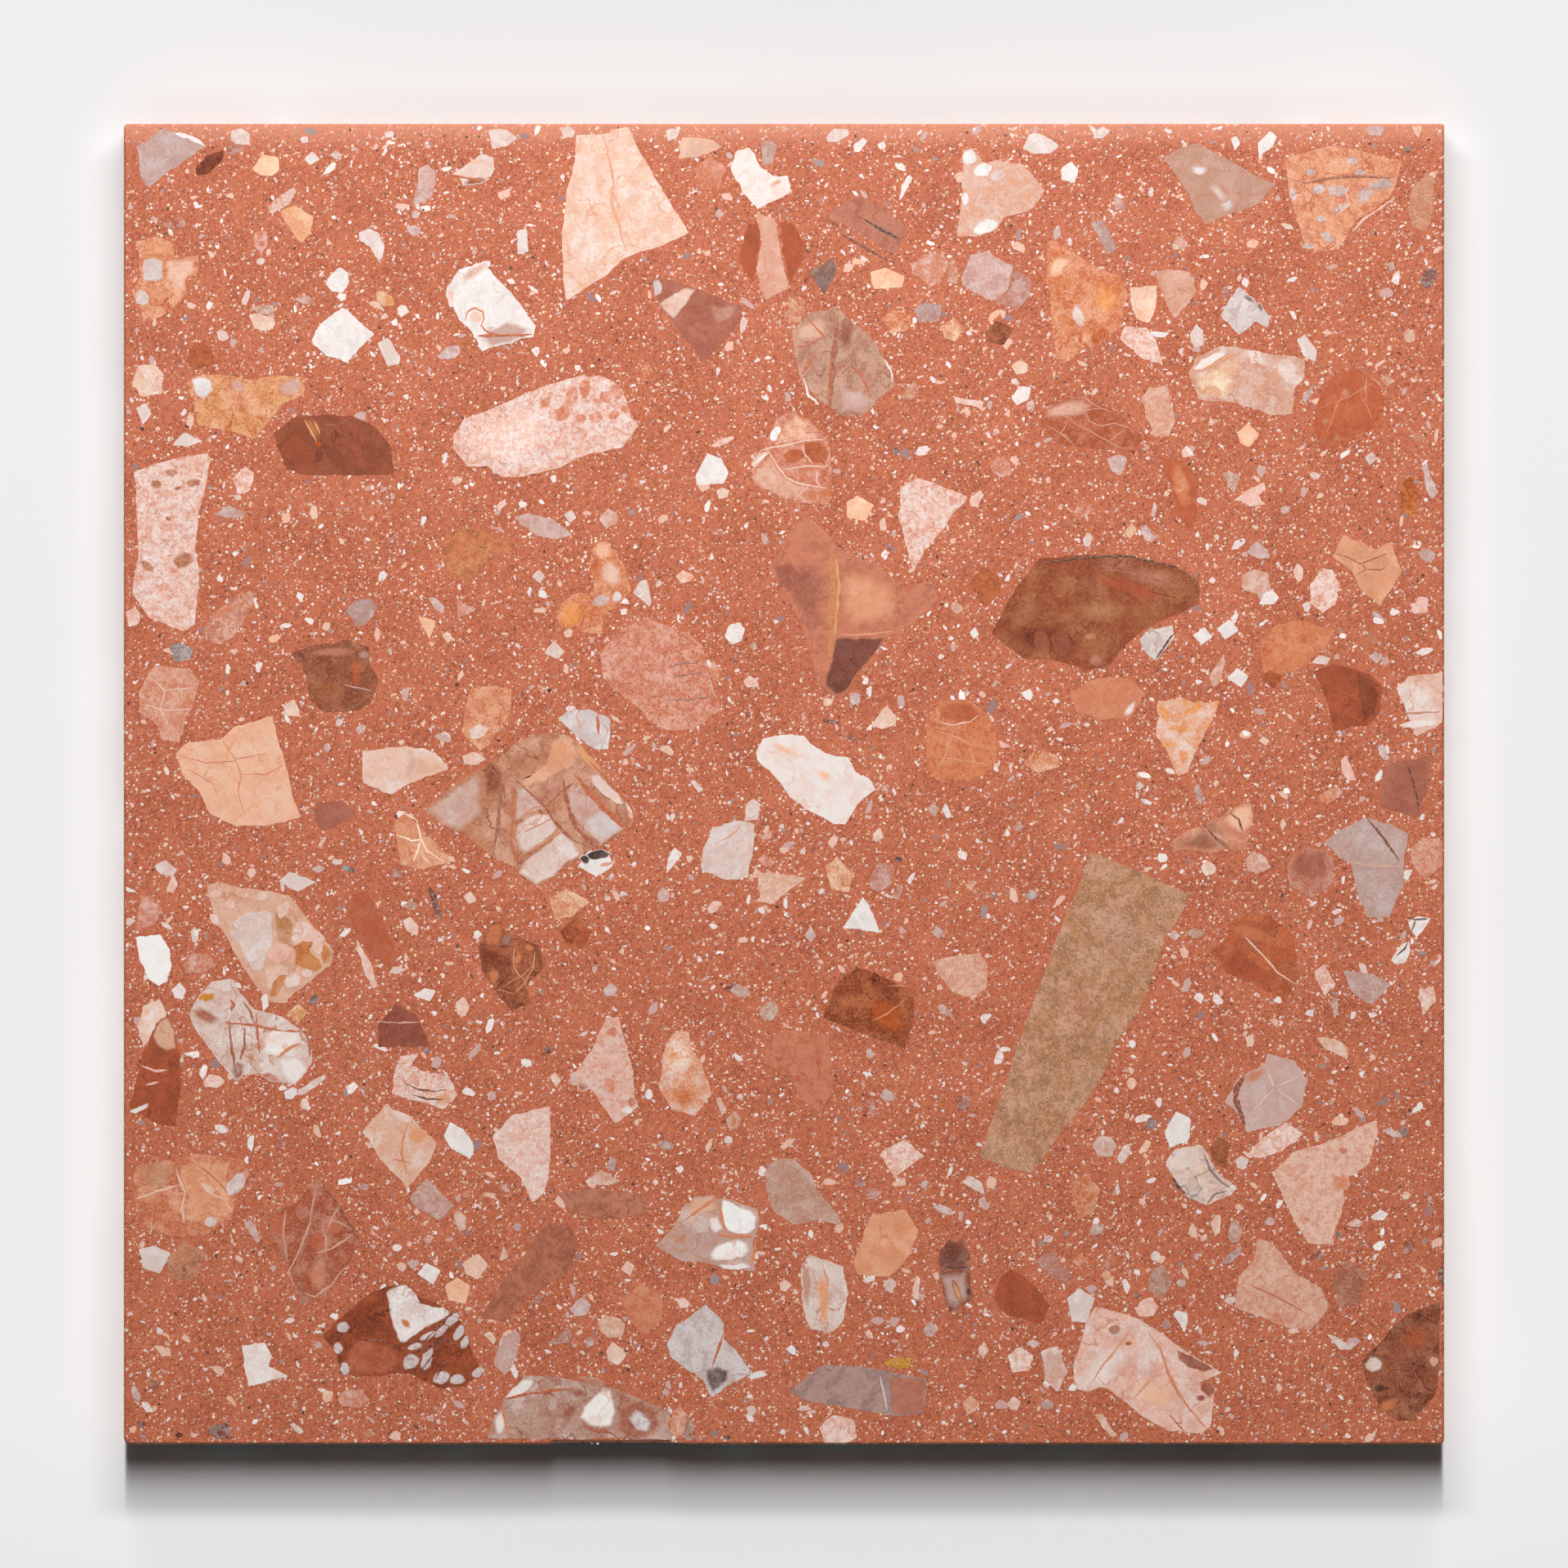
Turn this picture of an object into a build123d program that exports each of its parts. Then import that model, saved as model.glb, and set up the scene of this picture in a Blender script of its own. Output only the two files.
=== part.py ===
from build123d import *
from math import atan2, degrees
import os

# Terrazzo floor tile, cast as one piece, lying on its back with the honed face up.
# Millimetres. +Z points out of the honed face, -Y is the front edge, and the origin
# is the centre of the back.

# Slab
TILE_SIDE = 400
TILE_THICKNESS = 20

# Eased edges, around the honed face and around the back
ARRIS = 0.6

# Corners of the honed face, each worn to its own radius
FRONT_LEFT_WEAR = 1.6
FRONT_RIGHT_WEAR = 0.9
BACK_LEFT_WEAR = 0.8
BACK_RIGHT_WEAR = 0.2

# Spall: a stretch of the front edge that has broken away beside a large stone
SPALL_FROM_LEFT = 128.5
SPALL_LENGTH = 36.5
SPALL_TAIL = 9.5
SPALL_BITE = 1.4
SPALL_TAIL_BITE = 0.75
SPALL_DROP = 8
SPALL_END_RUN = 1.2

# Cutting tools reach this far past the faces that they open
CUT_OVERRUN = 2

os.makedirs("parts", exist_ok=True)

half_side = TILE_SIDE / 2

# The sides turn each corner outside the arris
front_left_radius = ARRIS + FRONT_LEFT_WEAR
front_right_radius = ARRIS + FRONT_RIGHT_WEAR
back_left_radius = ARRIS + BACK_LEFT_WEAR
back_right_radius = ARRIS + BACK_RIGHT_WEAR

# The spall's back wall leans out and meets the front face SPALL_DROP below the honed face
spall_lean = degrees(atan2(SPALL_BITE, SPALL_DROP))
spall_start = -half_side + SPALL_FROM_LEFT
spall_end = spall_start + SPALL_LENGTH
tail_end = spall_end + SPALL_TAIL


# Terrazzo tile
with BuildPart() as terrazzo_tile:
    with BuildSketch() as outline:
        Rectangle(TILE_SIDE, TILE_SIDE)
        left_corners = outline.vertices().group_by(Axis.X)[0].sort_by(Axis.Y)
        fillet(left_corners[0], front_left_radius)
        left_corners = outline.vertices().group_by(Axis.X)[0].sort_by(Axis.Y)
        fillet(left_corners[-1], back_left_radius)
        right_corners = outline.vertices().group_by(Axis.X)[-1].sort_by(Axis.Y)
        fillet(right_corners[0], front_right_radius)
        right_corners = outline.vertices().group_by(Axis.X)[-1].sort_by(Axis.Y)
        fillet(right_corners[-1], back_right_radius)
    extrude(amount=TILE_THICKNESS)
    face_edges = terrazzo_tile.edges().group_by(Axis.Z)[-1]
    back_edges = terrazzo_tile.edges().group_by(Axis.Z)[0]
    chamfer(face_edges + back_edges, ARRIS)

    # Spall along the front edge, deepest beside the stone and shallower along its tail
    with BuildSketch(Plane.XY.offset(TILE_THICKNESS)):
        with BuildLine():
            Polyline(
                (spall_start, -half_side - CUT_OVERRUN),
                (spall_start, -half_side),
                (spall_start + SPALL_END_RUN, -half_side + SPALL_BITE),
                (spall_end, -half_side + SPALL_BITE),
                (spall_end + SPALL_END_RUN, -half_side + SPALL_TAIL_BITE),
                (tail_end, -half_side),
                (tail_end, -half_side - CUT_OVERRUN),
                close=True,
            )
        make_face()
    extrude(amount=-SPALL_DROP, taper=spall_lean, mode=Mode.SUBTRACT)

terrazzo_tile.part.label = "terrazzo_tile"
export_step(terrazzo_tile.part, "parts/terrazzo_tile.step")

box = terrazzo_tile.part.bounding_box()
print("size", box.size, "volume mm3", round(terrazzo_tile.part.volume))
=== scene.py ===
# %% [markdown]
# # A terrazzo tile, seen from straight above
#
# Terrazzo is cement poured over broken marble and then ground until every stone is cut flat.
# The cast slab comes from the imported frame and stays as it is: here it becomes the terracotta cement.
# Every stone that shows on the ground face is a solid of its own, set into that cement.

import bpy
import numpy as np
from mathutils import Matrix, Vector


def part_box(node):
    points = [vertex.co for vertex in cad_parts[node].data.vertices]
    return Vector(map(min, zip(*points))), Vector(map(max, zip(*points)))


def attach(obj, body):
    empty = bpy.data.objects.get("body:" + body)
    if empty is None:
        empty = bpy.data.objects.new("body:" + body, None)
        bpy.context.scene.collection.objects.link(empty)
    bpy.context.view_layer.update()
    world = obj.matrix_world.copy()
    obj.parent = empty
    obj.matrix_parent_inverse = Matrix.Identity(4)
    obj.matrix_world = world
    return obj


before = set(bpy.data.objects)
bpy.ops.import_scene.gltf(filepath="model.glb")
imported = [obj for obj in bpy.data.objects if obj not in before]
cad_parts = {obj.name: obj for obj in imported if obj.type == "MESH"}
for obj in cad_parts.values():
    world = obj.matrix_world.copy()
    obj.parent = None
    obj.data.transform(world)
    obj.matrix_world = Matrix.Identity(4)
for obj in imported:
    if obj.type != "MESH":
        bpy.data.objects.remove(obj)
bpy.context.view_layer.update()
tile_low, tile_high = (np.array(corner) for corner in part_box("terrazzo_tile"))
half_side = float(tile_high[0] - tile_low[0]) / 2
face_height = float(tile_high[2])
print("tile", [round(float(size), 4) for size in tile_high - tile_low])

# %% [markdown]
# ## Where the camera stands
#
# The photograph looks straight down, and its frame is a little wider than the tile.
# A long lens from three metres up keeps the four sides hidden, as they are there.
# The same numbers turn a pixel of the photograph into a place on the ground face, so
# that an outline read off the picture lands on the stone that it belongs to.

# %% Camera, and from pixels to metres
PHOTO_SIDE = 1920
FACE_SIDE_IN_PHOTO = 1617
CAMERA_RISE = 3.0
SENSOR = 36.0

metres_per_pixel = 2 * half_side / FACE_SIDE_IN_PHOTO
photo_width = PHOTO_SIDE * metres_per_pixel


def on_face(pixels):
    """Pixel columns and rows, counted from the top left, as X and Y on the face in metres."""
    pixels = np.asarray(pixels, float)
    middle = PHOTO_SIDE / 2
    return np.column_stack([pixels[:, 0] - middle, middle - pixels[:, 1]]) * metres_per_pixel


camera_data = bpy.data.cameras.new("camera")
camera_data.sensor_width = SENSOR
camera_data.lens = SENSOR * CAMERA_RISE / photo_width
camera = bpy.data.objects.new("camera", camera_data)
camera.location = (0, 0, face_height + CAMERA_RISE)
bpy.context.collection.objects.link(camera)
bpy.context.scene.camera = camera
bpy.context.scene.view_settings.view_transform = "Standard"
print("one pixel is", round(metres_per_pixel * 1000, 4), "mm, lens", round(camera_data.lens, 1))

# %% [markdown]
# ## Sums on sockets
#
# A finish is a network of nodes, and most of its nodes are plain arithmetic. A small class lets
# that arithmetic be written as arithmetic: `1 - mask` adds the node that subtracts. Every other
# node goes in through one method, which sets the node's options first and its sockets second.


# %% A wire that does sums, and a finish to put nodes in
def plug(socket, value):
    """Link a wire into a socket, or set the socket's own value."""
    if isinstance(value, Wire):
        socket.id_data.links.new(value.socket, socket)
    else:
        socket.default_value = value


class Wire:
    """One output socket. Each operator adds a Math node and hands back that node's output."""

    def __init__(self, socket):
        self.socket = socket

    def maths(self, operation, first, second):
        node = self.socket.id_data.nodes.new("ShaderNodeMath")
        node.operation = operation
        plug(node.inputs[0], first)
        plug(node.inputs[1], second)
        return Wire(node.outputs[0])

    def __add__(self, other):
        return self.maths("ADD", self, other)

    def __radd__(self, other):
        return self.maths("ADD", other, self)

    def __sub__(self, other):
        return self.maths("SUBTRACT", self, other)

    def __rsub__(self, other):
        return self.maths("SUBTRACT", other, self)

    def __mul__(self, other):
        return self.maths("MULTIPLY", self, other)

    def __rmul__(self, other):
        return self.maths("MULTIPLY", other, self)

    def __truediv__(self, other):
        return self.maths("DIVIDE", self, other)

    def __gt__(self, other):
        return self.maths("GREATER_THAN", self, other)

    def __lt__(self, other):
        return self.maths("LESS_THAN", self, other)

    def least(self, other):
        return self.maths("MINIMUM", self, other)

    def most(self, other):
        return self.maths("MAXIMUM", self, other)

    def size(self):
        return self.maths("ABSOLUTE", self, 0.0)


class Finish:
    """A material, or a world, in the making: add() puts in one node and returns the outputs asked for."""

    def __init__(self, name, world=None):
        self.material = world or bpy.data.materials.new(name)
        self.material.use_nodes = True
        self.tree = self.material.node_tree
        self.tree.nodes.clear()

    def add(self, kind, settings, sockets, out=0):
        node = self.tree.nodes.new("ShaderNode" + kind)
        for name, value in settings.items():
            setattr(node, name, value)
        for name, value in sockets.items():
            plug(node.inputs[name], value)
        if isinstance(out, tuple):
            return [Wire(node.outputs[name]) for name in out]
        return Wire(node.outputs[out]) if node.outputs else None

    def step(self, value, low, high):
        """A soft step: 0 below low, 1 above high, smooth between them."""
        settings = {"interpolation_type": "SMOOTHSTEP"}
        return self.add("MapRange", settings, {"Value": value, "From Min": low, "From Max": high})

    def blend(self, share, first, second):
        """A colour between two colours."""
        return self.add("Mix", {"data_type": "RGBA"}, {0: share, 6: first, 7: second}, out=2)

    def scaled(self, vector, factors):
        """A vector with each of its three parts multiplied by a factor of its own."""
        return self.add("VectorMath", {"operation": "MULTIPLY"}, {0: vector, 1: factors})

    def noise(self, place, scale, detail=2.0, rough=0.5, warp=0.0):
        """Cloudy noise over a flat pattern, about 0.5 on average."""
        sockets = {"Vector": place, "Scale": scale, "Detail": detail, "Roughness": rough, "Distortion": warp}
        return self.add("TexNoise", {"noise_dimensions": "2D"}, sockets)

    def surface(self, sockets):
        """The shader itself, joined to the material's output."""
        shader = self.add("BsdfPrincipled", {}, sockets)
        self.add("OutputMaterial", {}, {"Surface": shader})
        return self.material


print("sums on sockets ready")

# %% [markdown]
# ## A pale floor and a soft studio light
#
# The tile lies on a plain pale floor. Its shadow falls only below the front edge, 27 mm long and
# soft, and the face is brighter towards the back edge. So one long, narrow lamp stands far behind the
# back edge, stretched from low to high, and a small lamp nearer the tile brightens that side.
# The floor's colour is deepened where the lamps are stronger, so that the background stays one even grey,
# and has less red close to the front edge, where the terracotta would warm the shadow.

# %% Floor
FLOOR_REACH = 6.0
FLOOR_DROP = 0.00005
FLOOR_GREY = 0.863
PLAIN_FROM = 0.42
PLAIN_TO = 0.75
LEVEL = 0.761
LEVEL_FALL = 0.748
LEVEL_CURVE = 0.57
SIDE_GAIN = 1.07
SIDE_GAIN_RISE = 1.97
LAMP_REACH = 0.26
SIDE_REACH = 0.057
SHADOW_STRIP = 0.014
RED_TAKEN = 0.46
GREEN_TAKEN = 0.05

floor_finish = Finish("pale_floor")
floor_place = floor_finish.add("TexCoord", {}, {}, out="Object")
across, floor_row = floor_finish.add("SeparateXYZ", {}, {0: floor_place}, out=("X", "Y"))
along = floor_row.least(LAMP_REACH).most(-LAMP_REACH)
radius = floor_finish.add("VectorMath", {"operation": "LENGTH"}, {0: floor_place}, out="Value")
evened = LEVEL - LEVEL_FALL * along + LEVEL_CURVE * along * along
evened = evened + (SIDE_GAIN + SIDE_GAIN_RISE * along) * (across * across).least(SIDE_REACH)
# Painted light and shade: the floor is paler beside the tile, where the tile's sides would shade it, and
# darker in a strip just behind it.
beside = floor_finish.step(across.size(), half_side + 0.022, half_side)
beside = beside * floor_finish.step(floor_row.size(), half_side + 0.010, half_side - 0.010)
behind = floor_finish.step(floor_row, half_side + 0.016, half_side)
behind = behind * floor_finish.step(across.size(), half_side + 0.006, half_side - 0.010)
evened = (1.025 * evened + 0.11 * beside - 0.10 * behind).least(0.98)
# Painted shadow colour: within SHADOW_STRIP of the front edge the floor has less red and a little less green,
# so that the shadow stays grey under the light the terracotta throws into it.
in_front = floor_finish.step(floor_row, -half_side - SHADOW_STRIP, -half_side)
in_front = in_front * floor_finish.step(floor_row, 0.1, 0.0)
in_front = in_front * in_front * floor_finish.step(across.size(), half_side + 0.002, half_side - 0.004)
less_red = evened * (1 - RED_TAKEN * in_front)
less_green = evened * (1 - GREEN_TAKEN * in_front)
floor_colour = floor_finish.add("CombineColor", {}, {"Red": less_red, "Green": less_green, "Blue": evened})
matt_floor = floor_finish.add("BsdfDiffuse", {}, {"Color": floor_colour})
plain_grey = (FLOOR_GREY, FLOOR_GREY, FLOOR_GREY, 1)
plain_glow = floor_finish.add("Emission", {}, {"Color": plain_grey, "Strength": 1.0})
SEEN_RAYS = ("Is Camera Ray", "Is Glossy Ray", "Is Transmission Ray")
by_camera, by_gloss, by_glass = floor_finish.add("LightPath", {}, {}, out=SEEN_RAYS)
far_share = by_camera.most(by_gloss).most(by_glass) * floor_finish.step(radius, PLAIN_FROM, PLAIN_TO)
floor_shader = floor_finish.add("MixShader", {}, {0: far_share, 1: matt_floor, 2: plain_glow})
floor_finish.add("OutputMaterial", {}, {"Surface": floor_shader})

floor_mesh = bpy.data.meshes.new("floor")
floor_corners = np.array([(-1, -1, 0), (1, -1, 0), (1, 1, 0), (-1, 1, 0)]) * FLOOR_REACH - (0, 0, FLOOR_DROP)
floor_mesh.from_pydata(floor_corners.tolist(), [], [(0, 1, 2, 3)])
floor_mesh.materials.append(floor_finish.material)
floor = bpy.data.objects.new("floor", floor_mesh)
bpy.context.collection.objects.link(floor)
print("floor", 2 * FLOOR_REACH, "m square")

# %% Lamps and world
AMBIENT = 0.04


def lamp(name, place, width, length, watts):
    """An oval lamp that faces the middle of the tile, its length in the upright plane through Y."""
    light = bpy.data.lights.new(name, "AREA")
    light.shape = "ELLIPSE"
    light.size = width
    light.size_y = length
    light.energy = watts
    holder = bpy.data.objects.new(name, light)
    holder.location = place
    holder.rotation_euler = Vector(place).to_track_quat("Z", "Y").to_euler()
    holder.visible_camera = False
    bpy.context.collection.objects.link(holder)
    return holder


lamp("key_lamp", (0, 3.36, 4.97), 0.25, 4.2, 290)
lamp("back_lamp", (0, 0.50, 0.62), 0.5, 0.12, 3.2)

studio = Finish("studio", bpy.data.worlds.new("studio"))
by_camera, by_gloss, by_glass = studio.add("LightPath", {}, {}, out=SEEN_RAYS)
studio_level = AMBIENT + (FLOOR_GREY - AMBIENT) * by_camera.most(by_gloss).most(by_glass)
surroundings = studio.add("Background", {}, {"Color": (1, 1, 1, 1), "Strength": studio_level})
studio.add("OutputWorld", {}, {"Surface": surroundings})
bpy.context.scene.world = studio.material
print("two lamps and a world of", AMBIENT)

# %% [markdown]
# ## A shelf of colours
#
# Stone merchants sort chips by colour, and so does this file. Every colour has a plain name and is
# written as a screen shows it, from 0 to 255. Shaders work in linear light, so one function changes over.


# %% Tones of cement and stone
def tone(red, green, blue):
    """A screen colour as linear light: divided by 12.92 near black, a power of 2.4 above that."""
    screen = np.array([red, green, blue]) / 255
    linear = np.where(screen <= 0.04045, screen / 12.92, ((screen + 0.055) / 1.055) ** 2.4)
    return tuple(linear.tolist()) + (1.0,)


SHELF = {
    "chalk": tone(244, 238, 234),
    "snow": tone(232, 221, 216),
    "ivory": tone(217, 193, 184),
    "shell": tone(226, 185, 166),
    "blush": tone(207, 155, 133),
    "peach": tone(233, 180, 150),
    "cream": tone(228, 190, 168),
    "apricot": tone(216, 149, 113),
    "honey": tone(212, 150, 98),
    "amber": tone(206, 124, 84),
    "sienna": tone(197, 115, 80),
    "rust": tone(182, 92, 60),
    "brick": tone(168, 84, 56),
    "oxblood": tone(150, 76, 48),
    "umber": tone(146, 82, 58),
    "cocoa": tone(108, 56, 40),
    "soot": tone(58, 40, 34),
    "dove": tone(202, 162, 150),
    "lilac": tone(196, 162, 155),
    "ash": tone(188, 152, 141),
    "taupe": tone(184, 141, 121),
    "blush_grey": tone(205, 165, 155),
    "mauve": tone(182, 118, 98),
    "plum": tone(164, 98, 77),
    "slate": tone(174, 138, 130),
    "lead": tone(130, 104, 100),
    "tan": tone(190, 127, 96),
    "sand": tone(216, 168, 142),
    "olive": tone(176, 119, 93),
    "rose": tone(229, 181, 163),
    "salmon": tone(200, 127, 99),
    "coral": tone(200, 123, 95),
    "mist": tone(224, 215, 214),
    "pearl": tone(206, 192, 189),
    "smoke": tone(150, 134, 133),
    "violet": tone(146, 114, 114),
    "custard": tone(250, 231, 202),
    "marigold": tone(226, 144, 82),
    "burnt": tone(180, 84, 40),
    "mahogany": tone(88, 38, 26),
    "chestnut": tone(126, 62, 43),
    "garnet": tone(148, 80, 65),
    "ginger": tone(188, 114, 66),
    "khaki": tone(178, 124, 86),
    "ochre": tone(206, 152, 58),
    "fig": tone(118, 76, 68),
    "walnut": tone(140, 102, 76),
}
print(len(SHELF), "tones on the shelf")

# %% [markdown]
# ## Terracotta cement
#
# Under a lens the cement is not one colour: it is coloured paste full of sand. Grains of a third to
# one millimetre are pale, pinkish or dark brown, and the paste drifts lighter and darker over a few
# centimetres. Voronoi cells give one random tone a grain, and noise gives the drift. The pattern is flat,
# in the tile's own millimetres, and the height is added to both directions so that it runs on down the
# four sides.

# %% Cement finish for the cast slab
PASTE = tone(187, 102, 71)
PASTE_DARK = tone(140, 68, 44)
PASTE_PALE = tone(207, 125, 94)
SAND_DARK = tone(84, 40, 32)
# Tone and width of a painted highlight: a paler strip of cement along the back edge.
HIGHLIGHT_PALE = tone(230, 160, 132)
HIGHLIGHT_STRIP = 0.009

cement = Finish("terracotta_cement")
cement_place = cement.add("TexCoord", {}, {}, out="Object")
cement_x, cement_y, cement_z = cement.add("SeparateXYZ", {}, {0: cement_place}, out=("X", "Y", "Z"))
in_mm = cement.add("CombineXYZ", {}, {"X": 1000 * (cement_x + cement_z), "Y": 1000 * (cement_y + cement_z)})
drift = cement.noise(in_mm, 0.05, detail=3.0, rough=0.6)
dust = cement.noise(in_mm, 2.2, detail=2.0, rough=0.75)


def moved(finish, place, distance):
    """The same pattern coordinates, moved along both flat directions."""
    return finish.add("VectorMath", {"operation": "ADD"}, {0: place, 1: (distance, distance, 0)})


def sand_layer(finish, place, per_mm, crisp=0.06):
    """One layer of sand: three random numbers a grain, and how near its middle a point is."""
    colour, distance = finish.add(
        "TexVoronoi",
        {"voronoi_dimensions": "2D", "feature": "F1"},
        {"Vector": place, "Scale": per_mm},
        out=("Color", "Distance"),
    )
    pick, shade, tint = finish.add("SeparateColor", {}, {0: colour}, out=("Red", "Green", "Blue"))
    return pick, shade, tint, finish.step(distance, 0.40 + crisp, 0.40 - crisp)


fine_pick, fine_tone, _, fine_near = sand_layer(cement, in_mm, 1.75)
mid_pick, mid_tone, mid_tint, mid_near = sand_layer(cement, moved(cement, in_mm, 31.7), 0.95)

shade = 0.5 + 0.45 * (drift - 0.5) + 1.15 * (dust - 0.5) + 0.40 * (fine_tone - 0.5) + 0.22 * (mid_tone - 0.5)
paste = cement.blend(cement.step(shade, 0.50, 0.02), PASTE, PASTE_DARK)
paste = cement.blend(cement.step(shade, 0.50, 0.98), paste, PASTE_PALE)
pale_fine = (fine_pick > 0.925) * fine_near * (0.25 + 0.7 * fine_tone)
pale_mid = (mid_pick > 0.95) * mid_near * (0.20 + 0.7 * mid_tone)
dark_fine = (fine_pick < 0.10) * fine_near * (0.30 + 0.7 * fine_tone)
sand_tint = cement.blend(cement.step(mid_tint, 0.35, 0.65), SHELF["custard"], SHELF["snow"])
sandy = cement.blend(pale_fine.most(pale_mid), paste, sand_tint)
sandy = cement.blend(dark_fine, sandy, SAND_DARK)
# Painted highlight: the cement pales towards the back edge, where the light from behind glances off the face.
painted_edge_highlight = cement.step(cement_y, half_side - HIGHLIGHT_STRIP, half_side)
sandy = cement.blend(0.45 * painted_edge_highlight, sandy, HIGHLIGHT_PALE)
pores = cement.add("Bump", {}, {"Strength": 0.2, "Distance": 0.0002, "Height": dust})
cement.surface(
    {
        "Base Color": sandy,
        "Roughness": 0.52 + 0.2 * (dust - 0.5) - 0.1 * pale_fine,
        "Specular IOR Level": 0.2,
        "Normal": pores,
    }
)
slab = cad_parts["terrazzo_tile"]
for place in slab.material_slots:
    place.material = cement.material
print("cement on", slab.name, "in", len(slab.material_slots), "slots")

# %% [markdown]
# ## How a stone is cut
#
# A chip is an angular lump of marble, and grinding cuts it flat at the face. So each stone is a closed
# solid: an outline at the face, straight walls just below it, and a smaller outline deeper down.
# A stone at the edge of the tile is cut by the side as well, so its points are held inside the tile's own
# arris, sides and broken front edge, and it shows there too. It stands proud of the cement by a few
# hundredths of a millimetre. The heaps, and the stones in them, are stepped by thousandths, so that the
# flat faces of stones that touch don't share one place.

# %% Keeping a stone inside the tile
ARRIS = 0.0006
SPALL_START = -0.0715
SPALL_END = -0.035
SPALL_BITE = 0.0014
SPALL_DROP = 0.008


def held_in_tile(points, proud):
    """Points moved onto the tile's sides where they lie beyond them.

    The sides stand half a tile from the middle, less how far a point is above the arris. Along the broken
    stretch the front limit leans: it lies SPALL_BITE further in at the face and runs out SPALL_DROP below it.
    """
    below_face = face_height - points[:, 2]
    limit = half_side - np.clip(ARRIS - below_face, 0, ARRIS) + proud
    lean = SPALL_BITE * np.clip(1 - below_face / SPALL_DROP, 0, 1)
    in_spall = (points[:, 0] > SPALL_START) & (points[:, 0] < SPALL_END)
    front = np.where(in_spall, np.minimum(limit, half_side - lean + proud), limit)
    held = points.copy()
    held[:, 0] = np.clip(points[:, 0], -limit, limit)
    held[:, 1] = np.clip(points[:, 1], -front, limit)
    return held


# %% Outlines and solids
OUTLINE_STEP = 0.0007
WIDTHS = np.array([1.0, 1.0, 0.94, 0.55])


def broken_outline(corners, ragged, seed):
    """A broken edge through given corners.

    The corners are joined by straights and the closed line is sampled at even steps. Each sample then moves
    along the line's normal by a sum of sine waves with seeded phases, shorter waves moving it less.
    """
    corners = np.asarray(corners, float)
    after = np.roll(corners, -1, axis=0)
    turn = np.sum(corners[:, 0] * after[:, 1] - after[:, 0] * corners[:, 1])
    corners = corners if turn > 0 else corners[::-1]
    closed = np.vstack([corners, corners[:1]])
    travelled = np.concatenate([[0.0], np.cumsum(np.hypot(*np.diff(closed, axis=0).T))])
    count = int(np.clip(travelled[-1] / OUTLINE_STEP, 12, 420))
    at = np.arange(count) * travelled[-1] / count
    ring = np.column_stack([np.interp(at, travelled, closed[:, axis]) for axis in (0, 1)])
    ahead = np.roll(ring, -1, axis=0) - np.roll(ring, 1, axis=0)
    normal = np.column_stack([ahead[:, 1], -ahead[:, 0]]) / np.hypot(*ahead.T)[:, None].clip(1e-9)
    waves = np.unique(np.geomspace(3, max(count / 3, 4), 12).astype(int))
    phases = np.random.default_rng(seed).uniform(0, 2 * np.pi, len(waves))
    heights = ragged * (waves / waves[0]) ** -0.45
    angles = 2 * np.pi * waves[:, None] * at / travelled[-1] + phases[:, None]
    return ring + normal * (heights[:, None] * np.sin(angles)).sum(0)[:, None]


def stacked_rings(ring, drops, widths=WIDTHS):
    """Points and faces of a stone seen from its cut face: its outline at four depths and widths.

    Rings run round the outline, the walls join each ring to the next one down, and two caps close it.
    """
    count = len(ring)
    middle = ring.mean(0)
    flat = middle + np.asarray(widths)[:, None, None] * (ring - middle)
    depths = np.broadcast_to(-np.asarray(drops)[:, None, None], (4, count, 1))
    points = np.concatenate([flat, depths], axis=2).reshape(-1, 3)
    here = np.arange(3 * count)
    beside = here + 1 - count * ((here + 1) % count == 0)
    walls = np.column_stack([here, here + count, beside + count, beside])
    return points, walls.tolist() + [list(range(count)), list(range(4 * count - 1, 3 * count - 1, -1))]


def face_stone(ring, depth, proud):
    """A stone of the honed face: its second ring lies at the foot of the arris, and the tile holds it in."""
    drops = [-proud, 1.02 * ARRIS, max(0.55 * depth, 1.3 * ARRIS), max(depth, 1.6 * ARRIS)]
    points, faces = stacked_rings(ring, drops)
    points[:, 2] += face_height
    return held_in_tile(points, proud), faces


def face_patch(ring, soft, proud):
    """A thin patch on a stone: a narrower ring, the full outline at the same height, and two rings below."""
    points, faces = stacked_rings(ring, [-proud, -proud, 0.0003, 0.0006], [1 - soft, 1.0, 1.0, 0.9])
    points[:, 2] += face_height
    return held_in_tile(points, proud), faces


print("a stone's outline is sampled every", OUTLINE_STEP * 1000, "mm")

# %% [markdown]
# ## Sorting the stones
#
# The stones are kept in heaps by kind: grey marble, white marble, milky quartz and so on. Every stone has
# a name, a tone from the shelf and the corners of its outline, read from the photograph.
# A heap also says which tone its stones pale towards and which they darken towards, and how far.
# Most stones have marks of their own: an inlay is a patch of another colour inside a stone.

# %% Heaps of stone
HEAPS = {
    "grey_marble": ("mist", 0.60, "plum", 0.70),
    "white_marble": ("chalk", 0.80, "pearl", 0.80),
    "milky_quartz": ("chalk", 0.80, "marigold", 0.55),
    "cream_marble": ("custard", 0.70, "marigold", 0.60),
    "rose_breccia": ("chalk", 0.75, "sienna", 0.80),
    "amber_marble": ("custard", 0.70, "burnt", 0.75),
    "oxblood_marble": ("marigold", 0.55, "mahogany", 0.75),
    "tan_marble": ("shell", 0.65, "cocoa", 0.60),
    "salmon_marble": ("shell", 0.70, "burnt", 0.65),
    "chippings": ("chalk", 0.55, "burnt", 0.35),
}
STONE_PROUD = 0.00002
PATCH_PROUD = 0.000068
PATCH_STEP = 0.000002
STONE_STEP = 0.000001
heap = {kind: [] for kind in HEAPS}
kind_of = {}


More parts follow.
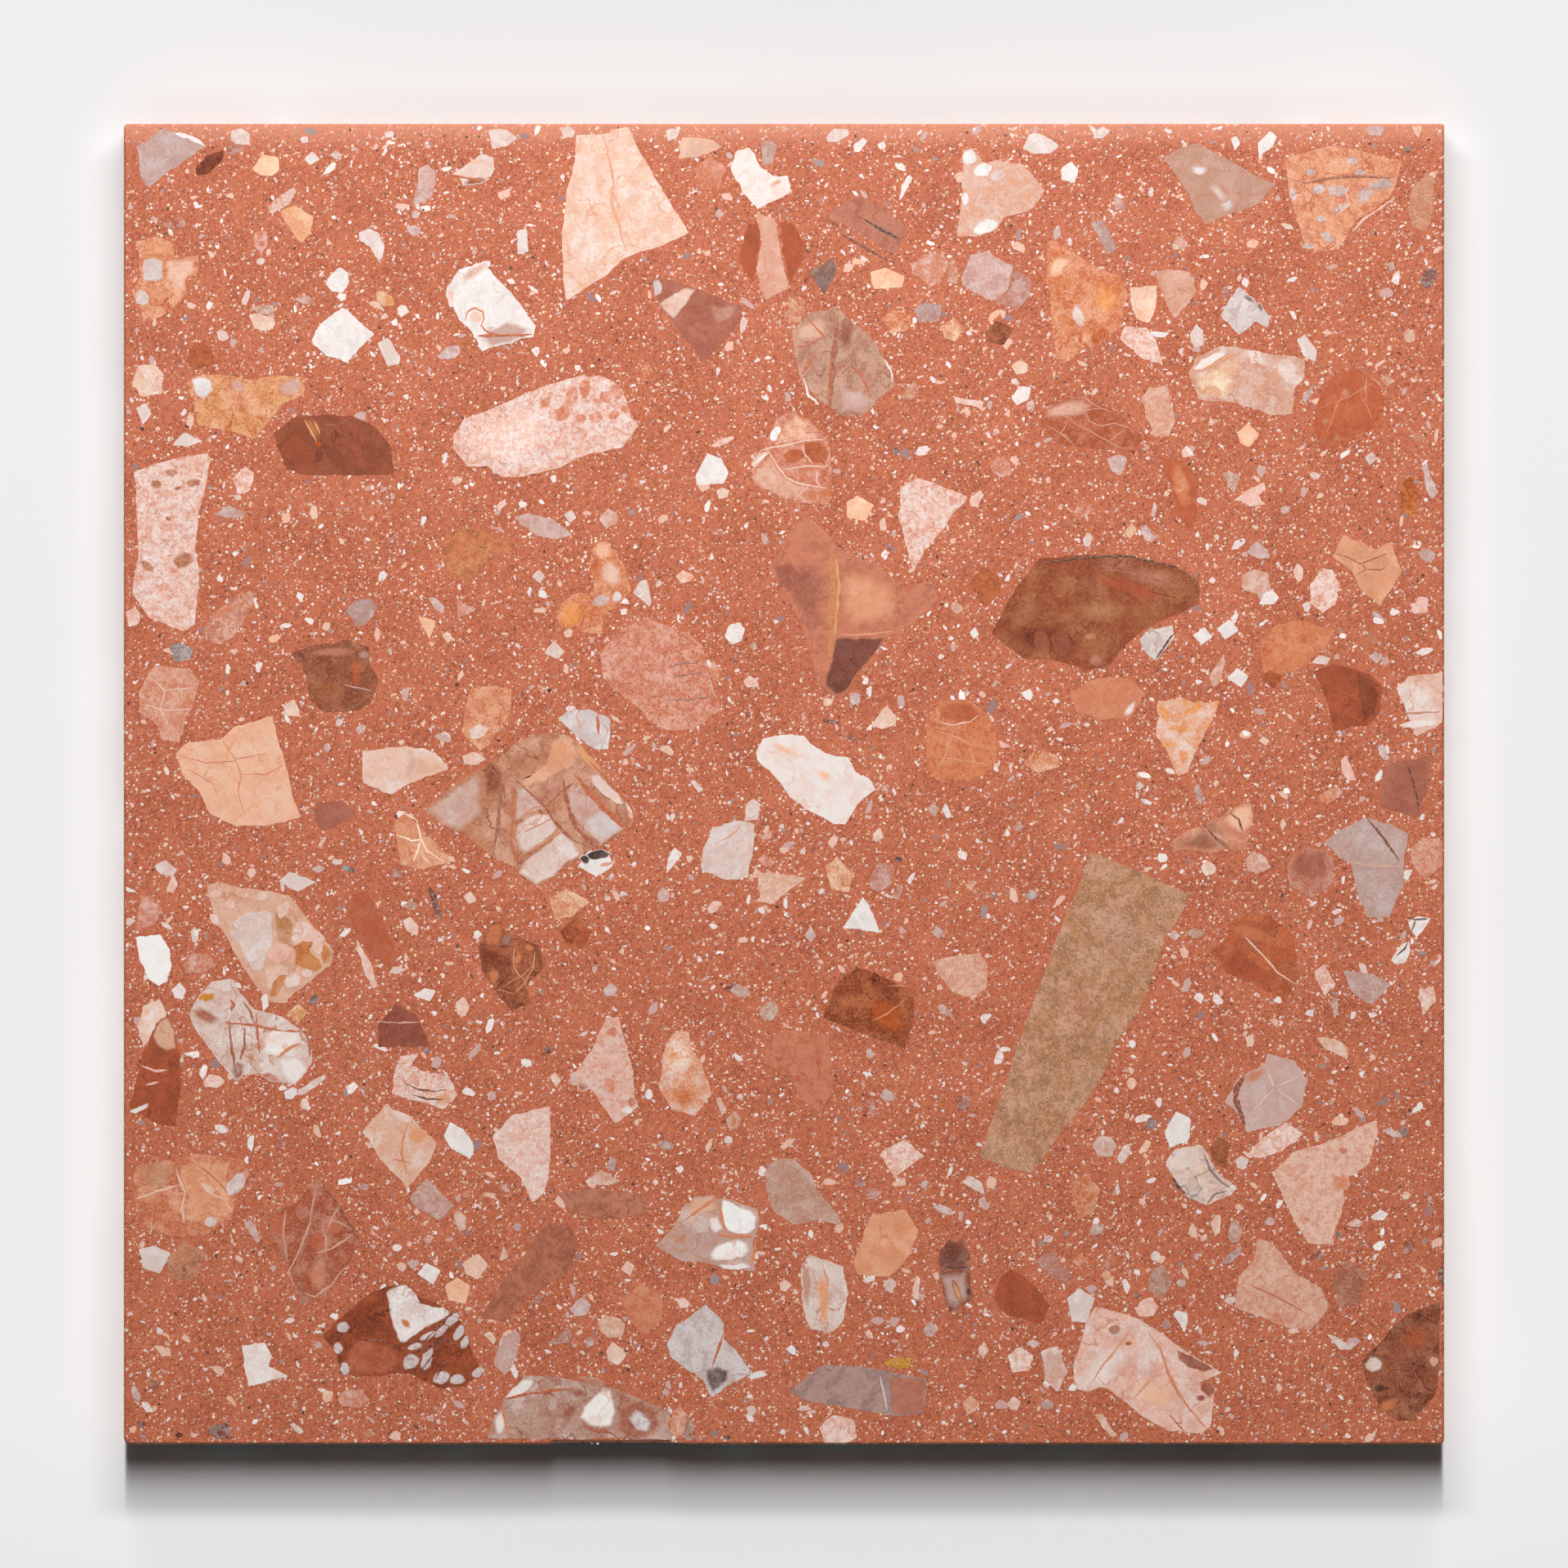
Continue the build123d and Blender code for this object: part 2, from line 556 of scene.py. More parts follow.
def stone(
    kind, name, colour, corners, pale=None, dark=None,
    proud=STONE_PROUD, plane=None, host=None, soft=0.0, over=None,
):
    """Put one stone on its heap: its name, its tone and the corners of its outline in pixels.

    A stone may name the tones it pales and darkens towards. One that lies on a side or on the back
    names that plane and has its corners in metres there. A patch names the stone that is its host,
    and one that lies over another patch names that patch's tone.
    """
    facts = dict(name=name, colour=colour, corners=corners, pale=pale, dark=dark)
    heap[kind].append(dict(facts, proud=proud, plane=plane, host=host, soft=soft, over=over))
    kind_of[name] = kind


print(len(HEAPS), "heaps")

# %% [markdown]
# ### Grey and mauve marble
#
# Grey and mauve marble is the quietest stone on the tile: soft grey, lilac or brownish mauve, with faint
# streaks and a crack here and there.

# %% Grey and mauve marble: outlines in pixels of the photograph
stone("grey_marble", "corner_wedge", "ash", [
    (197, 159), (228, 164), (252, 178), (224, 198), (182, 229), (173, 221), (171, 195), (167, 178),
    (184, 170)
], "pearl", "slate")
stone("grey_marble", "lilac_pebble", "dove", [
    (513, 207), (524, 201), (533, 209), (533, 227), (528, 242), (511, 250), (505, 248), (511, 229)
])
stone("grey_marble", "grey_lens", "dove", [
    (632, 632), (648, 628), (681, 638), (701, 656), (681, 660), (656, 656), (638, 642)
])
stone("grey_marble", "small_grey_a", "slate", [
    (423, 748), (435, 735), (455, 733), (462, 743), (453, 760), (439, 768)
])
stone("grey_marble", "small_grey_b", "smoke", [
    (207, 790), (220, 787), (237, 795), (232, 808), (214, 810)
], "pearl", "lead")
stone("grey_marble", "taupe_wedge", "taupe", [
    (1424, 192), (1440, 183), (1469, 176), (1482, 184), (1515, 202), (1560, 226), (1544, 248),
    (1515, 258), (1494, 267), (1477, 276), (1463, 258), (1457, 238), (1440, 215)
], "dove", "olive")
stone("grey_marble", "cracked_beige", "taupe", [
    (970, 404), (992, 383), (1025, 375), (1048, 399), (1073, 420), (1090, 449), (1095, 474), (1071, 491),
    (1055, 511), (1030, 509), (1005, 491), (980, 466), (974, 437)
], "sand", "umber")
stone("grey_marble", "pink_grey_block", "blush_grey", [
    (1177, 341), (1189, 312), (1208, 308), (1241, 327), (1233, 354), (1218, 370), (1179, 350)
])
stone("grey_marble", "mauve_block", "mauve", [
    (1241, 329), (1262, 341), (1262, 362), (1245, 379), (1218, 370), (1233, 354)
])
stone("grey_marble", "top_grey_block", "ash", [(932, 175), (940, 171), (952, 178), (946, 200), (934, 202)])
stone("grey_marble", "grey_bar_a", "slate", [
    (1119, 378), (1135, 370), (1154, 374), (1150, 393), (1125, 395)
])
stone("grey_marble", "grey_brown_block", "lead", [
    (990, 333), (1019, 316), (1025, 333), (1009, 360)
], "taupe", "cocoa")
stone("grey_marble", "grey_bar_b", "slate", [(1336, 273), (1349, 268), (1368, 304), (1357, 312)])
stone("grey_marble", "mauve_triangle", "plum", [
    (798, 343), (806, 339), (835, 348), (872, 360), (909, 375), (905, 395), (889, 416), (864, 443),
    (839, 416), (822, 391), (804, 368)
], "mauve", "garnet")
stone("grey_marble", "mauve_crystal", "mauve", [
    (1011, 267), (1046, 239), (1079, 254), (1110, 277), (1104, 294), (1096, 312), (1055, 287),
    (1030, 273)
], "tan", "garnet")
stone("grey_marble", "cracked_right", "ash", [
    (1623, 1032), (1643, 1015), (1672, 1000), (1705, 1011), (1723, 1021), (1720, 1059), (1718, 1084),
    (1701, 1123), (1674, 1123), (1664, 1100), (1654, 1059), (1639, 1048)
], "pearl", "slate")
stone("grey_marble", "grey_white_mid", "ivory", [
    (860, 1040), (872, 1015), (900, 1005), (925, 1008), (922, 1040), (915, 1075), (890, 1078),
    (860, 1066)
], "mist", "dove")
stone("grey_marble", "grey_low_mid", "taupe", [
    (935, 1436), (949, 1421), (972, 1419), (992, 1436), (1001, 1457), (1025, 1486), (1030, 1500),
    (1005, 1494), (972, 1500), (947, 1482), (938, 1457)
], "ivory", "olive")
stone("grey_marble", "pale_dark_corner", "pearl", [
    (817, 1647), (829, 1623), (864, 1597), (885, 1618), (887, 1639), (905, 1660), (923, 1683),
    (897, 1693), (872, 1710), (860, 1689), (822, 1664)
], "mist", "slate")
stone("grey_marble", "long_grey", "slate", [
    (967, 1703), (992, 1681), (1009, 1671), (1055, 1674), (1084, 1678), (1135, 1689), (1131, 1730),
    (1092, 1734), (1038, 1724), (992, 1716)
], "ash", "lead")
stone("grey_marble", "grey_pink_round", "dove", [
    (1500, 1349), (1515, 1322), (1548, 1303), (1552, 1290), (1585, 1299), (1601, 1324), (1594, 1357),
    (1565, 1378), (1527, 1387), (1519, 1366)
], "pearl", "ash")
stone("grey_marble", "mauve_brown", "garnet", [
    (1149, 1540), (1179, 1516), (1188, 1540), (1189, 1573), (1193, 1589), (1162, 1608), (1154, 1573)
], "taupe", "cocoa")
stone("grey_marble", "grey_triangle", "ash", [
    (1645, 1189), (1680, 1192), (1703, 1205), (1680, 1231), (1655, 1215)
])
stone("grey_marble", "mauve_bar", "mauve", [
    (1269, 1545), (1278, 1536), (1290, 1533), (1311, 1560), (1308, 1574), (1285, 1561)
])
stone("grey_marble", "lavender_sliver", "dove", [
    (612, 1640), (632, 1627), (638, 1640), (630, 1668), (618, 1685), (605, 1670)
])
stone("grey_marble", "grey_beige_a", "dove", [
    (501, 1469), (522, 1442), (555, 1477), (540, 1494), (511, 1480)
])
stone("grey_marble", "mauve_tri_left", "garnet", [
    (462, 1256), (484, 1230), (511, 1243), (526, 1282), (464, 1282)
], "plum", "cocoa")
stone("grey_marble", "mauve_red_tri", "plum", [
    (1693, 938), (1753, 924), (1747, 963), (1737, 1001), (1689, 988)
], "mauve", "garnet")
stone("grey_marble", "dark_pink_tri", "plum", [
    (387, 984), (420, 980), (437, 999), (395, 1018), (385, 1005)
], "mauve", "garnet")
stone("grey_marble", "grey_sliver", "ash", [(261, 630), (280, 619), (302, 628), (290, 636)])
stone("grey_marble", "grey_green", "olive", [
    (1410, 1555), (1425, 1548), (1436, 1570), (1422, 1591), (1406, 1580)
])
print(len(heap["grey_marble"]), "stones of grey and mauve marble")

# %% [markdown]
# ### White marble
#
# The white chips are the brightest spots on the face. Most are small, sharp and almost free of marks.

# %% White marble: outlines in pixels of the photograph
stone("white_marble", "white_diamond", "snow", [
    (382, 416), (391, 399), (418, 375), (458, 409), (425, 443), (399, 435), (383, 422)
])
stone("white_marble", "white_hexagon", "snow", [
    (404, 337), (416, 327), (425, 333), (428, 346), (420, 358), (406, 357), (399, 348)
])
stone("white_marble", "white_kidney", "ivory", [
    (439, 285), (451, 280), (464, 285), (471, 304), (468, 316), (460, 316), (453, 302), (440, 294)
])
stone("white_marble", "white_notch", "snow", [
    (894, 205), (902, 184), (917, 181), (926, 192), (930, 205), (947, 215), (965, 215), (967, 234),
    (959, 241), (928, 256), (909, 234)
], "snow", "shell")
stone("white_marble", "white_mid", "snow", [
    (852, 582), (866, 555), (882, 561), (893, 580), (885, 592), (853, 594)
])
stone("white_marble", "white_triangle", "snow", [
    (1032, 1136), (1057, 1098), (1070, 1120), (1077, 1142), (1050, 1138)
])
stone("white_marble", "left_oval", "chalk", [
    (166, 1148), (196, 1144), (208, 1162), (209, 1183), (205, 1202), (194, 1208), (180, 1195),
    (171, 1175)
], "chalk", "snow")
stone("white_marble", "small_ivory_a", "ivory", [
    (462, 420), (475, 413), (490, 437), (489, 445), (475, 449)
])
stone("white_marble", "ivory_oblong", "ivory", [(633, 282), (645, 280), (647, 308), (634, 312)])
stone("white_marble", "top_block", "ivory", [
    (1252, 182), (1260, 165), (1274, 163), (1297, 178), (1287, 188), (1266, 188)
])
stone("white_marble", "white_pentagon", "snow", [
    (1300, 205), (1312, 198), (1321, 208), (1316, 224), (1300, 220)
])
stone("white_marble", "top_pointed", "snow", [
    (1540, 176), (1554, 161), (1564, 167), (1558, 180), (1546, 188), (1542, 198)
])
stone("white_marble", "top_small_tri", "snow", [(1507, 170), (1514, 166), (1519, 176), (1512, 184)])
stone("white_marble", "white_grey", "pearl", [
    (1494, 387), (1506, 366), (1517, 351), (1531, 362), (1555, 387), (1552, 401), (1538, 395),
    (1517, 409)
], "snow", "slate")
stone("white_marble", "curved_sliver", "ivory", [
    (1588, 415), (1598, 410), (1613, 430), (1611, 443), (1596, 436)
])
stone("white_marble", "white_a", "snow", [(1460, 778), (1475, 768), (1485, 780), (1472, 789)])
stone("white_marble", "white_b", "snow", [(1490, 770), (1505, 758), (1517, 772), (1500, 783)])
stone("white_marble", "white_c", "snow", [(1502, 830), (1515, 818), (1529, 828), (1520, 842)])
stone("white_marble", "white_d", "snow", [
    (1426, 1385), (1440, 1361), (1459, 1370), (1455, 1398), (1432, 1405)
])
stone("white_marble", "white_ell", "snow", [
    (296, 1647), (325, 1645), (333, 1660), (329, 1672), (352, 1685), (304, 1698), (300, 1676)
], "chalk", "shell")
stone("white_marble", "white_e", "snow", [
    (543, 1390), (551, 1374), (569, 1384), (581, 1403), (576, 1419), (553, 1407)
])
stone("white_marble", "black_capped", "snow", [
    (708, 1060), (720, 1042), (745, 1045), (751, 1060), (730, 1074)
])
stone("white_marble", "white_f", "snow", [(511, 1560), (522, 1546), (540, 1556), (530, 1573)])
stone("white_marble", "white_g", "ivory", [(170, 1530), (190, 1525), (209, 1535), (195, 1560), (175, 1552)])
stone("white_marble", "white_h", "ivory", [
    (1307, 1590), (1320, 1577), (1341, 1590), (1330, 1620), (1312, 1618)
])
stone("white_marble", "white_i", "ivory", [(372, 195), (382, 185), (392, 195), (380, 202)])
stone("white_marble", "white_j", "ivory", [(167, 500), (178, 493), (186, 507), (175, 520)])
stone("white_marble", "white_k", "ivory", [(211, 545), (225, 529), (248, 540), (230, 547)])
stone("white_marble", "white_l", "ivory", [(341, 1080), (355, 1067), (387, 1080), (365, 1092)])
print(len(heap["white_marble"]), "stones of white marble")

# %% [markdown]
# ### Milky quartz and conglomerate
#
# Milky quartz is cloudy, beige to white, and cut by rusty veins. The largest of these stones is a
# conglomerate, pebbles grown together, and it gets its pebbles as inlays.

# %% Milky quartz and conglomerate: outlines in pixels of the photograph
stone("milky_quartz", "quartz_cap", "snow", [
    (549, 350), (563, 329), (586, 324), (598, 329), (632, 366), (656, 399), (653, 412), (619, 416),
    (590, 430), (578, 406), (561, 391), (547, 362)
], "chalk", "pearl")
stone("milky_quartz", "quartz_small_top", "ivory", [
    (554, 213), (567, 205), (590, 188), (603, 192), (606, 207), (600, 217), (586, 223), (565, 221)
])
stone("milky_quartz", "quartz_lozenge", "shell", [
    (443, 919), (503, 914), (538, 926), (549, 941), (503, 959), (482, 971), (470, 970), (445, 959)
], "snow", "sand")
stone("milky_quartz", "quartz_over", "pearl", [
    (683, 880), (702, 868), (727, 870), (747, 880), (746, 918), (729, 917), (710, 905)
], "mist", "ash")
stone("milky_quartz", "quartz_right", "blush", [
    (1455, 457), (1465, 437), (1494, 425), (1519, 426), (1556, 433), (1598, 439), (1597, 462),
    (1585, 474), (1583, 507), (1554, 508), (1531, 499), (1502, 491), (1467, 489), (1461, 470)
], "snow", "tan")
stone("milky_quartz", "quartz_left", "ivory", [
    (232, 1241), (242, 1220), (258, 1202), (285, 1199), (296, 1218), (312, 1237), (346, 1245),
    (372, 1262), (381, 1287), (381, 1301), (362, 1328), (350, 1326), (316, 1314), (285, 1320),
    (267, 1299), (250, 1274), (234, 1252)
], "snow", "tan")
stone("milky_quartz", "quartz_low", "ash", [
    (801, 1525), (826, 1502), (839, 1475), (864, 1466), (897, 1469), (928, 1482), (929, 1502),
    (922, 1523), (924, 1556), (897, 1554), (864, 1546), (835, 1544)
], "ivory", "tan")
stone("milky_quartz", "quartz_tall", "ivory", [
    (981, 1548), (992, 1535), (1032, 1552), (1039, 1585), (1032, 1618), (1015, 1633), (992, 1627),
    (982, 1598)
], "snow", "tan")
stone("milky_quartz", "quartz_crack", "pearl", [
    (1395, 783), (1407, 771), (1436, 766), (1438, 781), (1415, 810), (1401, 797)
], "snow", "taupe")
stone("milky_quartz", "quartz_edge_right", "shell", [
    (1710, 843), (1724, 829), (1767, 822), (1767, 885), (1734, 902), (1722, 872)
], "snow", "blush")
stone("milky_quartz", "quartz_bottom", "taupe", [
    (596, 1761), (607, 1730), (619, 1710), (644, 1685), (669, 1685), (698, 1689), (739, 1695),
    (768, 1708), (806, 1722), (822, 1730), (818, 1743), (822, 1762)
], "ivory", "garnet")
stone("milky_quartz", "quartz_black", "cream", [
    (1426, 1424), (1440, 1407), (1471, 1401), (1482, 1419), (1494, 1440), (1515, 1455), (1506, 1465),
    (1477, 1475), (1455, 1466), (1445, 1458), (1440, 1447)
], "snow", "smoke")
stone("milky_quartz", "quartz_left_sliver", "shell", [
    (175, 1232), (195, 1224), (205, 1240), (190, 1265), (175, 1283), (169, 1258)
])
stone("milky_quartz", "quartz_bar", "dove", [
    (1275, 1655), (1295, 1647), (1307, 1680), (1295, 1705), (1280, 1690)
])
stone("milky_quartz", "conglomerate", "tan", [
    (520, 992), (561, 957), (603, 934), (619, 916), (654, 897), (685, 897), (694, 909), (727, 938),
    (777, 988), (779, 1005), (768, 1017), (739, 1034), (723, 1040), (665, 1081), (656, 1086),
    (632, 1063), (603, 1050), (569, 1021)
], "sand", "umber")
print(len(heap["milky_quartz"]), "stones of milky quartz and conglomerate")

# %% [markdown]
# ### Cream and peach marble
#
# Cream marble is pale and even, with clouds of peach and hair-thin cracks.

# %% Cream and peach marble: outlines in pixels of the photograph
stone("cream_marble", "cream_wedge", "cream", [
    (705, 166), (746, 164), (752, 159), (769, 156), (781, 178), (806, 225), (843, 285), (814, 300),
    (785, 308), (760, 319), (744, 337), (694, 367), (689, 329), (688, 283), (694, 234), (704, 198)
], "snow", "apricot")
stone("cream_marble", "peach_left", "peach", [
    (215, 922), (229, 909), (271, 905), (287, 891), (333, 877), (341, 905), (350, 938), (358, 972),
    (367, 1001), (325, 1011), (290, 1013), (258, 996), (242, 967), (223, 947)
], "cream", "apricot")
stone("cream_marble", "pale_diagonal", "snow", [
    (925, 919), (934, 905), (956, 901), (984, 900), (993, 910), (1013, 923), (1038, 928), (1047, 945),
    (1063, 953), (1072, 967), (1058, 978), (1047, 990), (1035, 1009), (1021, 1009), (1001, 998),
    (987, 990), (968, 976), (956, 959), (939, 942), (927, 931)
], "snow", "shell")
stone("cream_marble", "cream_low_right", "rose", [
    (1315, 1670), (1328, 1623), (1341, 1600), (1382, 1610), (1415, 1627), (1440, 1647), (1497, 1681),
    (1469, 1693), (1486, 1705), (1482, 1747), (1471, 1755), (1432, 1753), (1399, 1734), (1357, 1701),
    (1316, 1685)
], "snow", "salmon")
stone("cream_marble", "cream_small_a", "peach", [
    (309, 207), (321, 189), (341, 193), (342, 209), (333, 215), (319, 215)
])
stone("cream_marble", "orange_cream_a", "apricot", [
    (342, 259), (362, 251), (384, 267), (379, 287), (368, 298), (354, 279)
])
stone("cream_marble", "speckled_left", "cream", [
    (169, 447), (188, 446), (200, 457), (198, 482), (173, 486), (162, 470)
], "chalk", "sienna")
stone("cream_marble", "peach_top", "sand", [
    (835, 167), (872, 171), (885, 180), (856, 192), (831, 194)
], "cream", "ash")
stone("cream_marble", "cream_block", "peach", [
    (1065, 333), (1085, 328), (1108, 338), (1104, 352), (1070, 354)
])
stone("cream_marble", "cream_b", "shell", [
    (1383, 352), (1417, 350), (1415, 379), (1407, 395), (1392, 392), (1386, 375)
])
stone("cream_marble", "beige_pink", "blush", [
    (1413, 333), (1440, 330), (1457, 333), (1465, 358), (1457, 368), (1438, 391), (1426, 366)
], "shell", "tan")
stone("cream_marble", "cracked_orange", "apricot", [
    (1631, 681), (1645, 656), (1668, 665), (1685, 673), (1703, 663), (1716, 698), (1691, 743),
    (1668, 723), (1654, 698)
], "peach", "tan")
stone("cream_marble", "peach_sliver", "peach", [(511, 754), (534, 760), (526, 783)])
stone("cream_marble", "cream_diamond", "sand", [
    (443, 1386), (472, 1353), (503, 1368), (535, 1399), (530, 1415), (499, 1456), (474, 1428)
], "snow", "apricot")
stone("cream_marble", "peach_veined", "apricot", [
    (482, 1005), (495, 996), (515, 1013), (536, 1034), (552, 1054), (520, 1065), (491, 1059)
], "peach", "rust")
stone("cream_marble", "orange_oval", "apricot", [
    (1044, 1548), (1055, 1519), (1067, 1488), (1108, 1480), (1123, 1506), (1117, 1535), (1088, 1564),
    (1050, 1560)
], "peach", "amber")
stone("cream_marble", "cream_c", "peach", [(1036, 615), (1050, 607), (1070, 618), (1060, 638), (1038, 634)])
stone("cream_marble", "cream_d", "peach", [(544, 1575), (560, 1564), (576, 1575), (570, 1597), (550, 1592)])
stone("cream_marble", "cream_e", "shell", [(567, 1545), (585, 1535), (598, 1548), (585, 1567), (570, 1560)])
stone("cream_marble", "cream_f", "peach", [(1515, 530), (1528, 518), (1542, 532), (1530, 548), (1518, 542)])
stone("cream_marble", "pointed_pink", "salmon", [
    (1432, 1034), (1457, 1015), (1494, 1001), (1531, 981), (1535, 1001), (1525, 1042), (1506, 1040),
    (1477, 1034), (1440, 1043)
], "peach", "plum")
print(len(heap["cream_marble"]), "stones of cream and peach marble")

# %% [markdown]
# ### Rose breccia
#
# Breccia is rock that broke and healed: pale pink fragments in a network of darker lines.

# %% Rose breccia: outlines in pixels of the photograph
stone("rose_breccia", "rose_long", "rose", [
    (555, 532), (569, 513), (623, 491), (677, 470), (710, 460), (733, 460), (752, 468), (768, 490),
    (773, 511), (783, 520), (762, 547), (723, 555), (690, 571), (645, 583), (615, 585), (598, 571),
    (574, 571), (555, 549)
], "snow", "coral")
stone("rose_breccia", "rose_tall_left", "rose", [
    (164, 578), (192, 567), (229, 559), (254, 553), (259, 563), (250, 598), (243, 627), (240, 669),
    (244, 710), (239, 764), (225, 773), (184, 756), (161, 727), (169, 681), (168, 627), (166, 594)
], "snow", "coral")
stone("rose_breccia", "rose_wedge", "rose", [
    (1103, 598), (1123, 585), (1142, 590), (1184, 609), (1150, 654), (1133, 673), (1119, 699),
    (1108, 665), (1101, 634)
], "snow", "coral")
stone("rose_breccia", "rose_clast_tri", "blush", [
    (1179, 182), (1195, 186), (1204, 200), (1220, 196), (1253, 202), (1280, 234), (1262, 258),
    (1229, 267), (1220, 279), (1195, 290), (1171, 290), (1175, 258), (1179, 234)
], "ivory", "apricot")
stone("rose_breccia", "rose_low_a", "rose", [
    (603, 1390), (627, 1366), (673, 1355), (675, 1382), (673, 1415), (669, 1459), (652, 1472),
    (636, 1440), (611, 1419)
], "snow", "blush")
stone("rose_breccia", "rose_low_b", "rose", [
    (698, 1318), (715, 1299), (725, 1283), (744, 1247), (758, 1244), (764, 1270), (773, 1303),
    (779, 1357), (754, 1376), (739, 1357), (727, 1336)
], "ivory", "coral")
stone("rose_breccia", "rose_small_a", "blush", [
    (1142, 1177), (1158, 1173), (1200, 1166), (1209, 1183), (1208, 1212), (1187, 1221), (1166, 1214),
    (1152, 1198)
], "cream", "coral")
stone("rose_breccia", "rose_big_right", "shell", [
    (1556, 1436), (1585, 1411), (1635, 1395), (1685, 1370), (1688, 1386), (1676, 1424), (1643, 1448),
    (1647, 1469), (1639, 1498), (1629, 1523), (1602, 1523), (1585, 1494), (1569, 1461)
], "cream", "coral")
stone("rose_breccia", "rose_star", "blush", [
    (1511, 1600), (1517, 1564), (1535, 1542), (1540, 1515), (1560, 1525), (1585, 1558), (1618, 1577),
    (1627, 1598), (1606, 1629), (1581, 1627), (1548, 1614)
], "cream", "coral")
stone("rose_breccia", "rose_curled", "rose", [
    (491, 1293), (515, 1289), (503, 1305), (522, 1314), (549, 1316), (561, 1341), (544, 1357),
    (511, 1349), (480, 1339), (482, 1316)
], "snow", "coral")
stone("rose_breccia", "salmon_breccia", "coral", [
    (735, 800), (760, 770), (790, 757), (830, 770), (860, 790), (870, 830), (882, 870), (850, 893),
    (815, 893), (795, 885), (785, 870), (760, 850), (738, 830)
], "rose", "rust")
stone("rose_breccia", "rose_cracked_left", "salmon", [
    (171, 847), (182, 822), (190, 815), (229, 818), (243, 833), (238, 860), (227, 885), (219, 909),
    (198, 905), (192, 889), (171, 872)
], "shell", "sienna")
stone("rose_breccia", "rose_small_b", "rose", [
    (1370, 416), (1378, 400), (1403, 401), (1415, 416), (1424, 447), (1399, 439), (1382, 424)
])
stone("rose_breccia", "rose_small_c", "blush", [
    (1399, 486), (1407, 476), (1429, 471), (1434, 495), (1439, 515), (1432, 534), (1415, 534),
    (1403, 511)
], "cream", "coral")
stone("rose_breccia", "red_net", "brick", [
    (1272, 515), (1287, 499), (1307, 486), (1332, 489), (1366, 503), (1390, 524), (1399, 540),
    (1382, 555), (1349, 549), (1295, 545)
], "coral", "oxblood")
stone("rose_breccia", "rose_oval_right", "rose", [
    (1603, 720), (1615, 700), (1630, 697), (1641, 715), (1635, 740), (1620, 751), (1606, 740)
])
stone("rose_breccia", "rose_edge_right", "salmon", [
    (1726, 1040), (1745, 1025), (1767, 1030), (1767, 1060), (1745, 1077), (1730, 1060)
], "shell", "sienna")
stone("rose_breccia", "rose_bar", "rose", [
    (1525, 1415), (1544, 1395), (1575, 1374), (1596, 1388), (1569, 1411), (1531, 1419)
])
stone("rose_breccia", "rose_square", "rose", [
    (1076, 1413), (1100, 1399), (1108, 1395), (1131, 1415), (1096, 1442)
])
stone("rose_breccia", "rose_bottom", "rose", [
    (1003, 1748), (1020, 1732), (1045, 1738), (1050, 1760), (1035, 1769), (1010, 1768)
])
stone("rose_breccia", "rose_small_d", "rose", [(285, 585), (300, 571), (312, 580), (305, 602), (292, 606)])
stone("cream_marble", "pink_strip", "blush", [
    (926, 261), (949, 267), (955, 304), (965, 354), (938, 368), (926, 333), (932, 296)
], "rose", "salmon")
stone("rose_breccia", "pink_sliver", "blush", [
    (327, 254), (337, 244), (360, 229), (363, 234), (354, 250), (333, 262)
])
stone("rose_breccia", "rose_round", "rose", [
    (1234, 1660), (1248, 1649), (1266, 1660), (1260, 1678), (1240, 1681)
])
stone("rose_breccia", "white_pink_tri", "shell", [(1737, 1212), (1755, 1208), (1759, 1225), (1742, 1243)])
stone("rose_breccia", "rose_small_e", "rose", [(1608, 1190), (1622, 1181), (1635, 1205), (1622, 1220)])
stone("rose_breccia", "pink_veined_left", "salmon", [
    (248, 773), (263, 750), (296, 725), (312, 725), (304, 752), (287, 779), (267, 789), (252, 783)
], "shell", "plum")
print(len(heap["rose_breccia"]), "stones of rose breccia")

# %% [markdown]
# ### Amber marble
#
# Amber marble runs from honey to rust, often with white or lilac pebbles inside.

# %% Amber marble: outlines in pixels of the photograph
stone("amber_marble", "amber_left", "apricot", [
    (167, 296), (192, 290), (213, 298), (215, 316), (242, 314), (241, 333), (227, 346), (229, 360),
    (207, 383), (176, 396), (173, 379), (162, 358), (173, 333)
], "peach", "burnt")
stone("amber_marble", "amber_upper_left", "honey", [
    (227, 468), (242, 460), (277, 460), (304, 464), (335, 460), (375, 462), (372, 482), (346, 495),
    (312, 538), (287, 530), (267, 524), (242, 520), (236, 491)
], "peach", "burnt")
stone("amber_marble", "amber_mid", "amber", [
    (721, 694), (731, 663), (752, 673), (770, 702), (772, 723), (756, 744), (743, 748), (735, 777),
    (710, 775), (688, 739), (706, 725), (725, 727), (727, 710)
], "peach", "burnt")
stone("amber_marble", "tan_orange", "sienna", [
    (545, 652), (569, 646), (594, 654), (627, 659), (632, 673), (598, 681), (582, 708), (557, 712),
    (540, 685)
], "honey", "umber")
stone("amber_marble", "strip_right", "brick", [
    (955, 273), (972, 275), (986, 300), (984, 316), (967, 346), (959, 308)
], "rust", "oxblood")
stone("amber_marble", "strip_left", "brick", [
    (916, 273), (930, 275), (930, 304), (922, 346), (905, 321)
], "rust", "oxblood")
stone("amber_marble", "amber_conglomerate", "apricot", [
    (1573, 198), (1579, 192), (1610, 184), (1635, 178), (1681, 188), (1716, 198), (1708, 229),
    (1701, 242), (1660, 271), (1639, 306), (1600, 308), (1591, 279), (1583, 250), (1577, 229)
], "peach", "rust")
